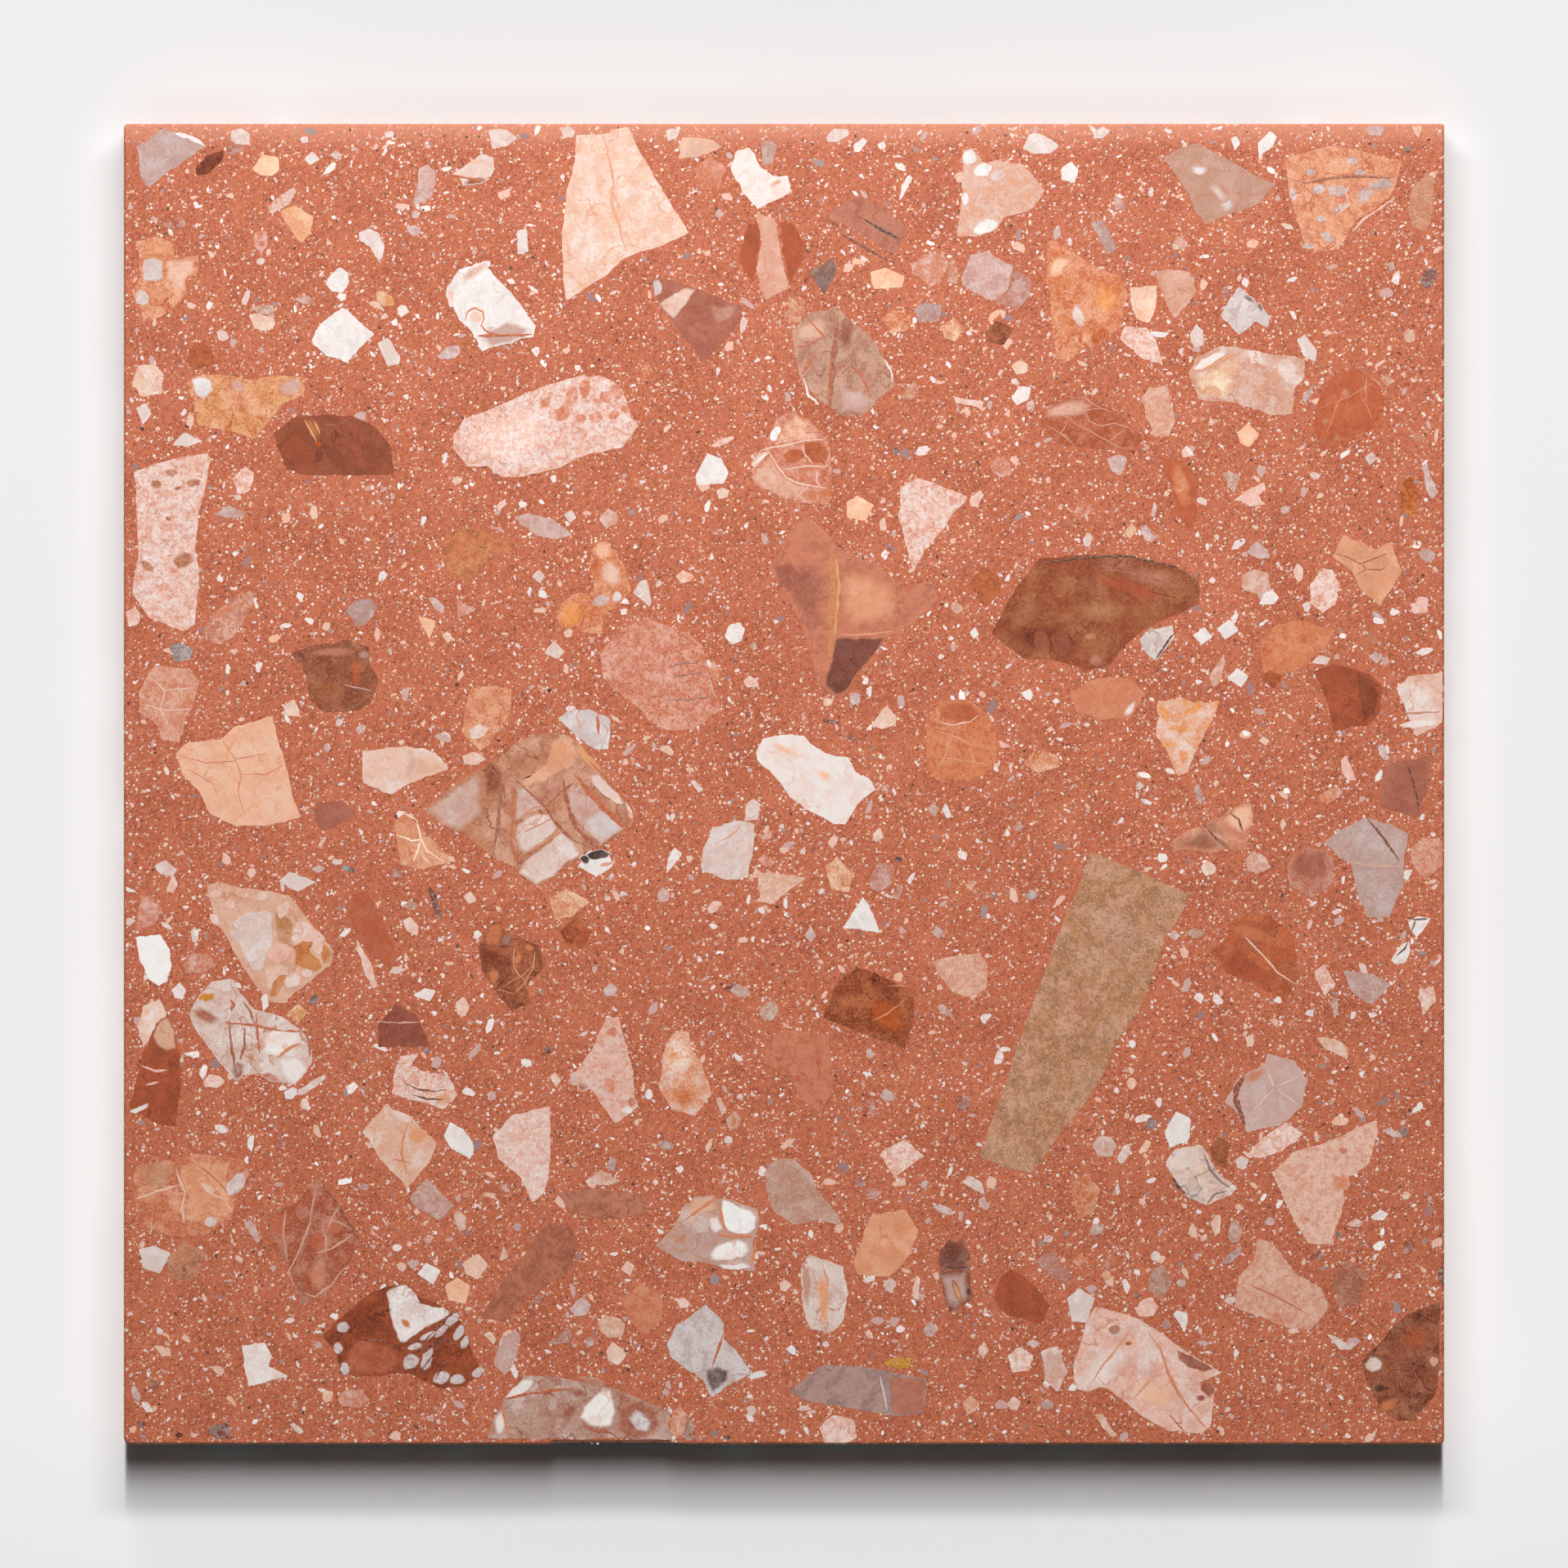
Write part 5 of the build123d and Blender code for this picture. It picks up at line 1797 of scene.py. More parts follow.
# %% Amber and rust stones
inlay("amber_left", "pearl", [
    (174, 318), (188, 315), (199, 320), (200, 340), (190, 346), (175, 342)
], 0.12, "mist", "dove")
clast("amber_left", "pearl", 174, 364, 18, 22, 0, 0.2, "mist", "dove")
inlay("amber_left", "honey", [
    (170, 298), (192, 292), (211, 299), (212, 313), (195, 314), (178, 312)
], 0.5, "peach", "amber")
inlay("amber_left", "rose", [
    (203, 318), (240, 316), (238, 332), (226, 345), (226, 358), (208, 350), (203, 336)
], 0.3)
inlay("amber_upper_left", "mist", [
    (233, 464), (246, 460), (258, 464), (262, 478), (250, 490), (240, 486)
], 0.25, "chalk", "pearl")
clast("amber_upper_left", "dove", 292, 472, 18, 16, 0, 0.3)
clast("amber_upper_left", "dove", 356, 474, 34, 20, 20, 0.3)
for column, row, length, width, turn in [
    (1656, 197, 16, 12, 0), (1605, 211, 14, 11, 0), (1665, 212, 15, 11, 0), (1615, 232, 19, 14, 20),
    (1640, 233, 30, 16, 0), (1672, 238, 30, 18, 45), (1583, 238, 18, 9, -70), (1625, 290, 21, 12, -40),
    (1602, 301, 18, 9, 0), (1618, 268, 14, 9, 0), (1641, 255, 26, 8, 30),
]:
    clast("amber_conglomerate", "lilac", column, row, length, width, turn, 0.3, "mist", "slate")
clast("amber_conglomerate", "slate", 1692, 226, 36, 16, 10, 0.35, "pearl", "violet")
clast("amber_tall", "ivory", 1320, 387, 15, 32, 20, 0.35, "snow", "sand")
clast("amber_tall", "marigold", 1354, 366, 40, 46, 0, 0.6)
clast("amber_tall", "burnt", 1345, 413, 38, 16, 40, 0.5)
clast("amber_tall", "peach", 1296, 325, 22, 34, -30, 0.5)
clast("amber_small", "ivory", 586, 896, 26, 18, 20, 0.2, "snow", "sand")
clast("amber_mid", "peach", 738, 674, 24, 26, 0, 0.5)
clast("amber_mid", "shell", 748, 703, 26, 40, 20, 0.5)
clast("amber_mid", "marigold", 700, 752, 40, 34, 20, 0.5)
clast("amber_mid", "burnt", 728, 688, 10, 26, 0, 0.6)
clast("amber_mid", "lilac", 735, 735, 24, 17, 10, 0.4, "mist", "dove")
clast("amber_mid", "mist", 756, 731, 13, 17, -20, 0.4)
inlay("orange_salmon", "rust", [
    (1148, 863), (1165, 857), (1193, 860), (1207, 874), (1198, 888), (1170, 888), (1153, 883)
], 0.4, "sienna", "brick")
inlay("left_breccia", "apricot", [
    (216, 1432), (236, 1419), (262, 1425), (286, 1420), (278, 1440), (288, 1470), (283, 1494), (268, 1500),
    (245, 1498), (226, 1494), (229, 1465), (219, 1445)
], 0.15, "peach", "amber")
inlay("left_breccia", "tan", [
    (170, 1426), (205, 1421), (212, 1433), (210, 1449), (195, 1457), (175, 1450)
], 0.3)
clast("left_breccia", "ivory", 289, 1450, 36, 22, 55, 0.2, "mist", "lilac")
clast("left_breccia", "ivory", 258, 1496, 17, 14, 0, 0.2, "mist", "lilac")
clast("left_breccia", "shell", 254, 1455, 24, 10, -40, 0.3)
inlay("white_orange_b", "cream", [
    (814, 1282), (824, 1266), (834, 1262), (846, 1280), (852, 1302), (836, 1316), (818, 1318), (810, 1300)
], 0.4, "chalk", "marigold")
clast("white_orange_b", "amber", 838, 1345, 36, 36, 0, 0.7, "honey", "burnt")
clast("white_orange_b", "marigold", 824, 1292, 20, 8, 20, 0.6, over="cream")
for column, row, length, width, turn in [
    (1425, 872, 14, 30, 20), (1443, 892, 30, 10, -10), (1462, 868, 30, 12, 30), (1432, 912, 20, 10, 0),
    (1450, 925, 14, 18, 0),
]:
    clast("white_orange_a", "marigold", column, row, length, width, turn, 0.4)
clast("amber_vertical", "amber", 1446, 596, 22, 60, 10, 0.5)

# %% Oxblood and brown stones
inlay("oxblood_left", "oxblood", [
    (337, 532), (352, 522), (370, 515), (381, 530), (389, 560), (391, 579), (372, 579), (352, 574),
    (345, 560), (339, 545)
], 0.5, "umber", "chestnut")
clast("oxblood_left", "ginger", 383, 526, 12, 32, 30, 0.6)
clast("oxblood_left", "chestnut", 387, 562, 10, 34, 0, 0.6)
clast("oxblood_left", "burnt", 390, 544, 10, 9, 0, 0.4)
inlay("brown_slab", "umber", [
    (1330, 686), (1380, 681), (1438, 695), (1463, 711), (1420, 713), (1380, 706), (1350, 701)
], 0.3, "tan", "chestnut")
inlay("brown_slab", "brick", [
    (1330, 694), (1360, 706), (1400, 713), (1422, 726), (1440, 732), (1400, 737), (1370, 724), (1345, 714)
], 0.5)
inlay("brown_slab", "chestnut", [
    (1218, 775), (1240, 761), (1280, 766), (1310, 771), (1328, 790), (1322, 804), (1300, 803),
    (1265, 798), (1240, 793)
], 0.6, "garnet", "mahogany")
clast("brown_slab", "mauve", 1342, 808, 20, 18, 0, 0.5)
clast("brown_slab", "tan", 1335, 779, 18, 9, 0, 0.5)
inlay("oxblood_hex", "mauve", [(372, 798), (400, 793), (430, 792), (440, 800), (420, 804), (390, 804)], 0.5)
clast("oxblood_hex", "slate", 446, 802, 14, 12, 0, 0.4)
clast("oxblood_hex", "rust", 436, 824, 14, 48, 5, 0.5)
clast("oxblood_hex", "umber", 400, 845, 40, 30, 0, 0.6)
inlay("oxblood_mid", "burnt", [
    (1060, 1225), (1085, 1220), (1110, 1235), (1105, 1265), (1080, 1262), (1062, 1245)
], 0.5)
inlay("oxblood_right", "chestnut", [
    (1660, 820), (1680, 832), (1690, 850), (1684, 876), (1670, 886), (1664, 855)
], 0.2)
inlay("oxblood_left_edge", "sand", [
    (196, 1248), (206, 1244), (214, 1262), (216, 1284), (204, 1288), (192, 1280), (186, 1268)
], 0.2)
inlay("oxblood_left_edge", "snow", [(157, 1362), (163, 1358), (183, 1350), (181, 1356), (165, 1364)], 0.15)
clast("red_vein", "sienna", 1531, 1142, 60, 20, -22, 0.5)
inlay("red_vein", "brick", [
    (1492, 1170), (1515, 1162), (1545, 1182), (1568, 1200), (1560, 1214), (1525, 1200), (1500, 1190)
], 0.35, "rust", "chestnut")
clast("oxblood_a", "chestnut", 599, 1172, 24, 26, 0, 0.5)
clast("oxblood_a", "violet", 620, 1152, 12, 16, 0, 0.4)
clast("oxblood_a", "amber", 633, 1174, 15, 11, 30, 0.4)
clast("oxblood_a", "amber", 648, 1160, 12, 8, -30, 0.4)
clast("oxblood_a", "amber", 602, 1196, 16, 8, -40, 0.4)
clast("oxblood_corner", "ivory", 1682, 1671, 24, 20, 0, 0.3, "chalk", "sand")
clast("oxblood_corner", "sand", 1756, 1667, 12, 14, 0, 0.3)
clast("oxblood_corner", "amber", 1700, 1720, 30, 16, 30, 0.6)
clast("oxblood_corner", "brick", 1735, 1640, 40, 44, 20, 0.8)
clast("oxblood_corner", "soot", 1690, 1700, 16, 14, 0, 0.6)

# %% Grey and mauve stones
inlay("mauve_triangle", "shell", [
    (806, 372), (822, 361), (838, 352), (853, 353), (845, 366), (836, 378), (824, 391), (814, 384)
], 0.2, "mist", "blush")
inlay("mauve_triangle", "pearl", [(799, 343), (806, 341), (812, 350), (810, 360), (801, 364)], 0.3)
inlay("mauve_triangle", "mauve", [
    (868, 372), (884, 376), (904, 372), (898, 388), (880, 398), (870, 388)
], 0.4)
clast("taupe_wedge", "mist", 1469, 209, 22, 15, 0, 0.6)
clast("taupe_wedge", "pearl", 1502, 250, 18, 22, 0, 0.7)
inlay("cracked_beige", "umber", [
    (1028, 386), (1040, 393), (1047, 410), (1042, 430), (1032, 434), (1026, 415)
], 0.6)
inlay("cracked_beige", "dove", [(1026, 470), (1060, 480), (1074, 490), (1060, 506), (1030, 506)], 0.5)
inlay("cracked_beige", "sand", [
    (978, 400), (1000, 390), (1014, 392), (1010, 412), (990, 420), (974, 414)
], 0.4)
inlay("long_grey", "mauve", [
    (1089, 1686), (1112, 1686), (1134, 1690), (1131, 1728), (1110, 1732), (1093, 1733)
], 0.08, "salmon", "plum")
inlay("pale_dark_corner", "lead", [
    (864, 1675), (880, 1672), (894, 1678), (892, 1690), (873, 1707), (863, 1690)
], 0.3, "smoke", "soot")
inlay("mauve_brown", "cocoa", [
    (1150, 1532), (1162, 1518), (1180, 1524), (1184, 1546), (1166, 1552), (1150, 1548)
], 0.3)
inlay("mauve_brown", "ash", [(1150, 1560), (1184, 1556), (1186, 1590), (1172, 1604), (1160, 1600)], 0.4)
clast("mauve_brown", "honey", 1172, 1582, 8, 30, 20, 0.6)
clast("white_grey", "lead", 1530, 366, 22, 8, -30, 0.6, "ash", "soot")
clast("white_grey", "lead", 1543, 376, 14, 6, -60, 0.6, "ash", "soot")
clast("white_notch", "apricot", 950, 224, 20, 8, 30, 0.6)
clast("black_capped", "soot", 732, 1047, 34, 12, 5, 0.15, "lead", "soot")
clast("black_capped", "amber", 742, 1058, 22, 6, 10, 0.4)
clast("black_capped", "soot", 716, 1052, 12, 14, 30, 0.3, "lead", "soot")
inlay("tan_slab", "taupe", [
    (1340, 1110), (1370, 1104), (1400, 1130), (1392, 1160), (1362, 1168), (1338, 1140)
], 0.6, "sand", "umber")
inlay("tan_slab", "tan", [
    (1290, 1200), (1330, 1190), (1350, 1230), (1320, 1280), (1288, 1260)
], 0.9, "sand", "umber")

# %% Smaller marks on stones of every heap
clast("grey_pink_round", "salmon", 1537, 1317, 34, 16, 30, 0.6)
clast("rose_big_right", "amber", 1641, 1449, 26, 20, 20, 0.3)
clast("rose_big_right", "amber", 1597, 1494, 16, 10, 0, 0.3)
clast("rose_big_right", "sienna", 1644, 1409, 12, 10, 0, 0.3)
clast("rose_star", "coral", 1574, 1614, 40, 18, 0, 0.4)
clast("mauve_brown", "soot", 1186, 1582, 6, 10, 0, 0.4)
inlay("quartz_tall", "taupe", [(982, 1552), (989, 1542), (994, 1570), (990, 1608), (984, 1598)], 0.4)
inlay("rose_curled", "apricot", [(530, 1343), (546, 1336), (555, 1345), (545, 1354), (535, 1353)], 0.3)
inlay("salmon_c", "plum", [
    (1582, 1046), (1625, 1040), (1630, 1068), (1608, 1082), (1582, 1071)
], 0.35, "mauve", "garnet")
inlay("pointed_pink", "peach", [
    (1496, 1002), (1520, 984), (1533, 984), (1534, 1010), (1522, 1022), (1506, 1014)
], 0.4)
inlay("pointed_pink", "umber", [
    (1436, 1034), (1473, 1012), (1492, 1022), (1508, 1038), (1490, 1043), (1461, 1041)
], 0.6)
clast("faint_orange", "snow", 1384, 868, 24, 10, 60, 0.6)
clast("quartz_lozenge", "dove", 503, 938, 40, 14, 70, 0.7)
clast("taupe_wedge", "ivory", 1492, 236, 34, 14, -45, 0.8)
clast("red_orange", "mauve", 1648, 481, 14, 14, 0, 0.8)
clast("red_orange", "mauve", 1623, 517, 12, 12, 0, 0.8)
clast("red_orange", "brick", 1630, 538, 36, 18, 20, 0.7)
inlay("oxblood_a", "sienna", [
    (592, 1150), (602, 1130), (614, 1128), (616, 1146), (610, 1158), (596, 1158)
], 0.3)
inlay("oxblood_a", "amber", [(597, 1190), (610, 1186), (613, 1196), (606, 1206), (600, 1204)], 0.4)
clast("brown_slab", "mauve", 1410, 707, 90, 26, -10, 0.8)
clast("brown_slab", "khaki", 1350, 748, 80, 34, -5, 0.9)
clast("brown_slab", "garnet", 1300, 790, 24, 34, 15, 0.7)
clast("brown_slab", "garnet", 1275, 785, 20, 30, 15, 0.7)
inlay("quartz_cap", "ash", [(586, 411), (622, 392), (650, 402), (645, 414), (597, 427), (590, 417)], 0.3)
inlay("red_net", "blush", [
    (1278, 511), (1278, 500), (1296, 494), (1308, 488), (1328, 488), (1340, 495), (1332, 508),
    (1310, 512), (1290, 511)
], 0.5, "rose")
print(sum(1 for facts in sum(heap.values(), []) if facts["host"]), "patches")

# %% [markdown]
# ### Sides and back
#
# The photograph shows only the face. A tile cast in one piece is full of stones all through, so the sawn
# sides and the back show their own cut stones. These are seeded: ovals of uneven reach, thrown onto each
# plane and dropped where they would cover one another. Each plane is three directions: along it, up it,
# and out of it.

# %% Planes of the sides and the back
PLANES = {
    "right_side": (np.array([[0, 1, 0], [0, 0, 1], [1, 0, 0]]), half_side),
    "left_side": (np.array([[0, -1, 0], [0, 0, 1], [-1, 0, 0]]), half_side),
    "back_edge": (np.array([[-1, 0, 0], [0, 0, 1], [0, 1, 0]]), half_side),
    "front_edge": (np.array([[1, 0, 0], [0, 0, 1], [0, -1, 0]]), half_side),
    "underside": (np.array([[1, 0, 0], [0, -1, 0], [0, 0, -1]]), 0.0),
}
SEEDED_PROUD = 0.000012
PLANE_DROPS = [-SEEDED_PROUD, 0.0005, 0.0012, 0.002]
CORNER_ROOM = 0.0035


def plane_limits(plane):
    """Lowest and highest corner of the part of a plane that stones may use, clear of arris and corners."""
    reach = half_side - CORNER_ROOM
    if plane == "underside":
        return np.array([-reach, -reach]), np.array([reach, reach])
    return np.array([-reach, 1.1 * ARRIS]), np.array([reach, face_height - 1.1 * ARRIS])


def on_plane(points, plane):
    """Points of a plane's own coordinates, in the tile's frame."""
    directions, distance = PLANES[plane]
    return points @ directions + distance * directions[2]


# %% Throwing stones onto the planes
LOOSE_TONES = {
    "grey_marble": ["ash", "dove", "taupe", "mauve", "slate"],
    "white_marble": ["snow", "ivory"],
    "milky_quartz": ["ivory", "shell"],
    "cream_marble": ["cream", "peach", "shell"],
    "rose_breccia": ["rose", "blush"],
    "amber_marble": ["apricot", "amber", "sienna"],
    "oxblood_marble": ["oxblood", "brick", "umber"],
    "salmon_marble": ["coral", "salmon", "plum"],
}


def throw_stones(plane, wanted, smallest, largest, seed):
    """Seeded ovals on a plane: lengths spread evenly in ratio, places at random, covered ones dropped."""
    random = np.random.default_rng(seed)
    low, high = plane_limits(plane)
    kept = np.zeros((0, 3))
    for length in np.geomspace(largest, smallest, wanted):
        middle = random.uniform(low, high)
        in_spall = plane == "front_edge" and -0.085 < middle[0] < -0.015
        apart = np.hypot(*(kept[:, :2] - middle).T) - kept[:, 2] - 0.62 * length
        kind = list(LOOSE_TONES)[random.integers(len(LOOSE_TONES))]
        colour = LOOSE_TONES[kind][random.integers(len(LOOSE_TONES[kind]))]
        angles = np.linspace(0, 2 * np.pi, 8, endpoint=False) + random.uniform(-0.3, 0.3, 8)
        reach = 0.5 * length * random.uniform(0.75, 1.15, 8)
        width = random.uniform(0.45, 0.95)
        turn = random.uniform(0, np.pi)
        long_way, short_way = reach * np.cos(angles), width * reach * np.sin(angles)
        turned_x = long_way * np.cos(turn) - short_way * np.sin(turn)
        turned_y = long_way * np.sin(turn) + short_way * np.cos(turn)
        if in_spall or (len(kept) and apart.min() < 0):
            continue
        kept = np.vstack([kept, [*middle, 0.5 * length]])
        corners = np.clip(middle + np.column_stack([turned_x, turned_y]), low, high)
        stone(kind, f"{plane}_{len(kept)}", colour, corners, proud=SEEDED_PROUD, plane=plane)
    return len(kept)


for number, plane in enumerate(PLANES):
    if plane == "underside":
        count = throw_stones(plane, 620, 0.0025, 0.055, 500 + number)
    else:
        count = throw_stones(plane, 150, 0.002, 0.022, 500 + number)
    print(plane, count, "stones")

# %% [markdown]
# ## Marble finishes
#
# All marbles share one recipe with different measures. Clouds drift from the stone's own tone to a paler one,
# streaks to a darker one, fragments split the stone into cells, and thin lines run between
# the cells or wander as veins. Every stone carries its own tones and its own turned and shifted
# coordinates as mesh attributes, so that no two stones of a heap repeat each other.

# %% Measures of every marble
RECIPES = {
    "grey_marble": dict(
        zone=(0.14, 0.12, 0.50), streak=(0.30, 2.6, 0.45), cells=(0.40, 0.15), net=(0.12, 0.25, 0.0),
        vein=(0.060, 0.012, 0.70), grain=(0.30, 0.30), speck=(1.6, 0.50), rough=0.36,
    ),
    "white_marble": dict(
        zone=(0.16, 0.11, 0.50), streak=(0.34, 1.6, 0.45), cells=(0.40, 0.12), net=(0.10, 0.20, 0.0),
        vein=(0.090, 0.010, 0.50), grain=(0.30, 0.30), speck=(1.6, 0.30), rough=0.34,
    ),
    "milky_quartz": dict(
        zone=(0.10, 0.09, 0.70), streak=(0.24, 1.5, 0.35), cells=(0.35, 0.20), net=(0.12, 0.22, 0.0),
        vein=(0.060, 0.014, 0.90), grain=(0.30, 0.28), speck=(1.6, 0.40), rough=0.33,
    ),
    "cream_marble": dict(
        zone=(0.12, 0.11, 0.55), streak=(0.22, 1.4, 0.35), cells=(0.35, 0.20), net=(0.10, 0.18, 0.0),
        vein=(0.050, 0.010, 0.80), grain=(0.30, 0.30), speck=(1.8, 0.45), rough=0.34,
    ),
    "rose_breccia": dict(
        zone=(0.16, 0.12, 0.50), streak=(0.45, 1.3, 0.40), cells=(0.85, 0.50), net=(0.14, 0.40, 1.0),
        vein=(0.110, 0.012, 0.50), grain=(0.45, 0.45), speck=(2.0, 0.70), rough=0.35,
    ),
    "amber_marble": dict(
        zone=(0.12, 0.10, 0.45), streak=(0.36, 1.6, 0.50), cells=(0.45, 0.32), net=(0.13, 0.42, 1.0),
        vein=(0.080, 0.014, 0.85), grain=(0.45, 0.45), speck=(1.8, 0.60), rough=0.34,
    ),
    "oxblood_marble": dict(
        zone=(0.12, 0.12, 0.40), streak=(0.16, 2.2, 0.40), cells=(0.35, 0.22), net=(0.10, 0.30, 1.0),
        vein=(0.080, 0.012, 0.90), grain=(0.30, 0.40), speck=(1.7, 0.65), rough=0.33,
    ),
    "tan_marble": dict(
        zone=(0.10, 0.12, 0.45), streak=(0.30, 1.4, 0.35), cells=(0.50, 0.35), net=(0.12, 0.40, 1.0),
        vein=(0.080, 0.010, 0.60), grain=(0.40, 0.40), speck=(1.5, 0.85), rough=0.37,
    ),
    "salmon_marble": dict(
        zone=(0.12, 0.11, 0.40), streak=(0.32, 1.6, 0.45), cells=(0.45, 0.35), net=(0.12, 0.50, 1.0),
        vein=(0.080, 0.014, 0.85), grain=(0.40, 0.45), speck=(1.7, 0.55), rough=0.36,
    ),
    "chippings": dict(
        zone=(0.26, 0.09, 0.50), streak=(0.45, 1.5, 0.45), cells=(0.60, 0.32), net=(0.12, 0.35, 1.0),
        vein=(0.160, 0.016, 0.50), grain=(0.35, 0.40), speck=(1.7, 0.50), rough=0.36,
    ),
}


# %% One recipe for every marble
def marble(kind, zone, streak, cells, net, vein, grain, speck, rough):
    """The finish of one heap.

    Colour = own tone, paled in zones with rather sharp borders, darkened along streaks, changed
    fragment by fragment, crossed by pale or dark lines between the fragments and by dark veins, then
    grained and freckled. Scales are in features per millimetre, and the lines' width is in millimetres.
    """
    mix = Finish(kind)
    place = mix.add("Attribute", {"attribute_name": "grain"}, {}, out="Vector")
    own = mix.add("Attribute", {"attribute_name": "own_tone"}, {}, out="Color")
    pale = mix.add("Attribute", {"attribute_name": "pale_tone"}, {}, out="Color")
    dark = mix.add("Attribute", {"attribute_name": "dark_tone"}, {}, out="Color")
    wander = mix.add(
        "TexNoise", {"noise_dimensions": "2D"}, {"Vector": place, "Scale": 0.35, "Detail": 3.0}, out="Color"
    )
    push = mix.add("VectorMath", {"operation": "MULTIPLY_ADD"}, {0: wander, 1: (4.0, 4.0, 0.0), 2: place})
    drag = mix.add("VectorMath", {"operation": "MULTIPLY_ADD"}, {0: wander, 1: (1.5, 1.5, 0.0), 2: place})
    zones = mix.step(mix.noise(push, zone[0], 3.0, 0.55), 0.56 - zone[1], 0.56 + zone[1])
    stretched = mix.scaled(push, (1 / streak[1], 1.0, 1.0))
    streaks = mix.step(mix.noise(stretched, streak[0], 4.0, 0.62), 0.50, 0.58)
    pick, shade, tint, _ = sand_layer(mix, drag, cells[0])
    edges = mix.add(
        "TexVoronoi",
        {"voronoi_dimensions": "2D", "feature": "DISTANCE_TO_EDGE"},
        {"Vector": drag, "Scale": cells[0]},
        out="Distance",
    )
    lines = mix.step(edges, net[0] * cells[0], 0.3 * net[0] * cells[0])
    lines = lines * mix.step(zones + 0.9 * tint, 0.30, 0.80)
    ridge = (mix.noise(push, vein[0], 2.0, 0.5) - 0.5).size()
    veins = mix.step(ridge, vein[1], 0.2 * vein[1])
    grain_pick, grain_shade, _, grain_near = sand_layer(mix, place, speck[0])
    fine = mix.noise(place, 1.2, 4.0, 0.7)
    colour = mix.blend(zone[2] * zones, own, pale)
    colour = mix.blend(streak[2] * streaks, colour, dark)
    colour = mix.blend(cells[1] * mix.step(pick, 0.62, 0.70) * (0.35 + 0.65 * shade), colour, pale)
    colour = mix.blend(cells[1] * mix.step(pick, 0.38, 0.30) * (0.35 + 0.65 * shade), colour, dark)
    colour = mix.blend(net[1] * lines, colour, pale if net[2] else dark)
    colour = mix.blend(vein[2] * veins, colour, dark)
    colour = mix.blend(grain[0] * mix.step(fine, 0.52, 0.72), colour, pale)
    colour = mix.blend(grain[1] * mix.step(fine, 0.48, 0.30), colour, dark)
    colour = mix.blend(speck[1] * (grain_shade > 0.72) * grain_near * grain_pick, colour, pale)
    colour = mix.blend(speck[1] * (grain_shade < 0.25) * grain_near * grain_pick, colour, dark)
    return mix.surface(
        {
            "Base Color": colour,
            "Roughness": rough + 0.10 * lines.most(veins) + 0.06 * (zones - 0.5),
            "Specular IOR Level": 0.1,
        }
    )


marbles = {kind: marble(kind, **measures) for kind, measures in RECIPES.items()}
print(len(marbles), "marble finishes")

# %% [markdown]
# ## From heaps to pieces
#
# Each heap becomes one joined mesh. The stones are cut one by one, but every stone's points and faces come
# as whole arrays, and the mesh takes them all at once. A stone's tone, its paler and its
# darker tone are stored on its points, with the coordinates that its marble pattern reads.


# %% Joining a heap into one piece
def mixed(first, second, share):
    """A tone between two tones of the shelf."""
    return (1 - share) * np.array(SHELF[first]) + share * np.array(SHELF[second])


def put_piece(name, points, faces, finish, tones, grain):
    """A mesh piece from arrays, with its tones and pattern coordinates, riding on the tile."""
    mesh = bpy.data.meshes.new(name)
    mesh.from_pydata(points.tolist(), [], faces)
    for label, values in tones.items():
        layer = mesh.attributes.new(label, "FLOAT_COLOR", "POINT")
        layer.data.foreach_set("color", np.asarray(values, np.float32).ravel())
    layer = mesh.attributes.new("grain", "FLOAT_VECTOR", "POINT")
    layer.data.foreach_set("vector", np.asarray(grain, np.float32).ravel())
    mesh.materials.append(finish)
    piece = bpy.data.objects.new(name, mesh)
    bpy.context.collection.objects.link(piece)
    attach(piece, "root")
    return piece


def grain_of(points, turn, shift):
    """Pattern coordinates in millimetres.

    The depth is added to both flat directions, as in the cement, and the result is turned and moved
    to a place of the stone's own.
    """
    cosine, sine = np.cos(turn), np.sin(turn)
    first = points[:, 0] + points[:, 2]
    second = points[:, 1] + points[:, 2]
    flat = np.column_stack([first * cosine + second * sine, second * cosine - first * sine, 0 * first])
    return flat * 1000 + shift


RAGGED = 0.00011
FULLY_RAGGED_SPAN = 0.020
CALM_PATCH = 0.45


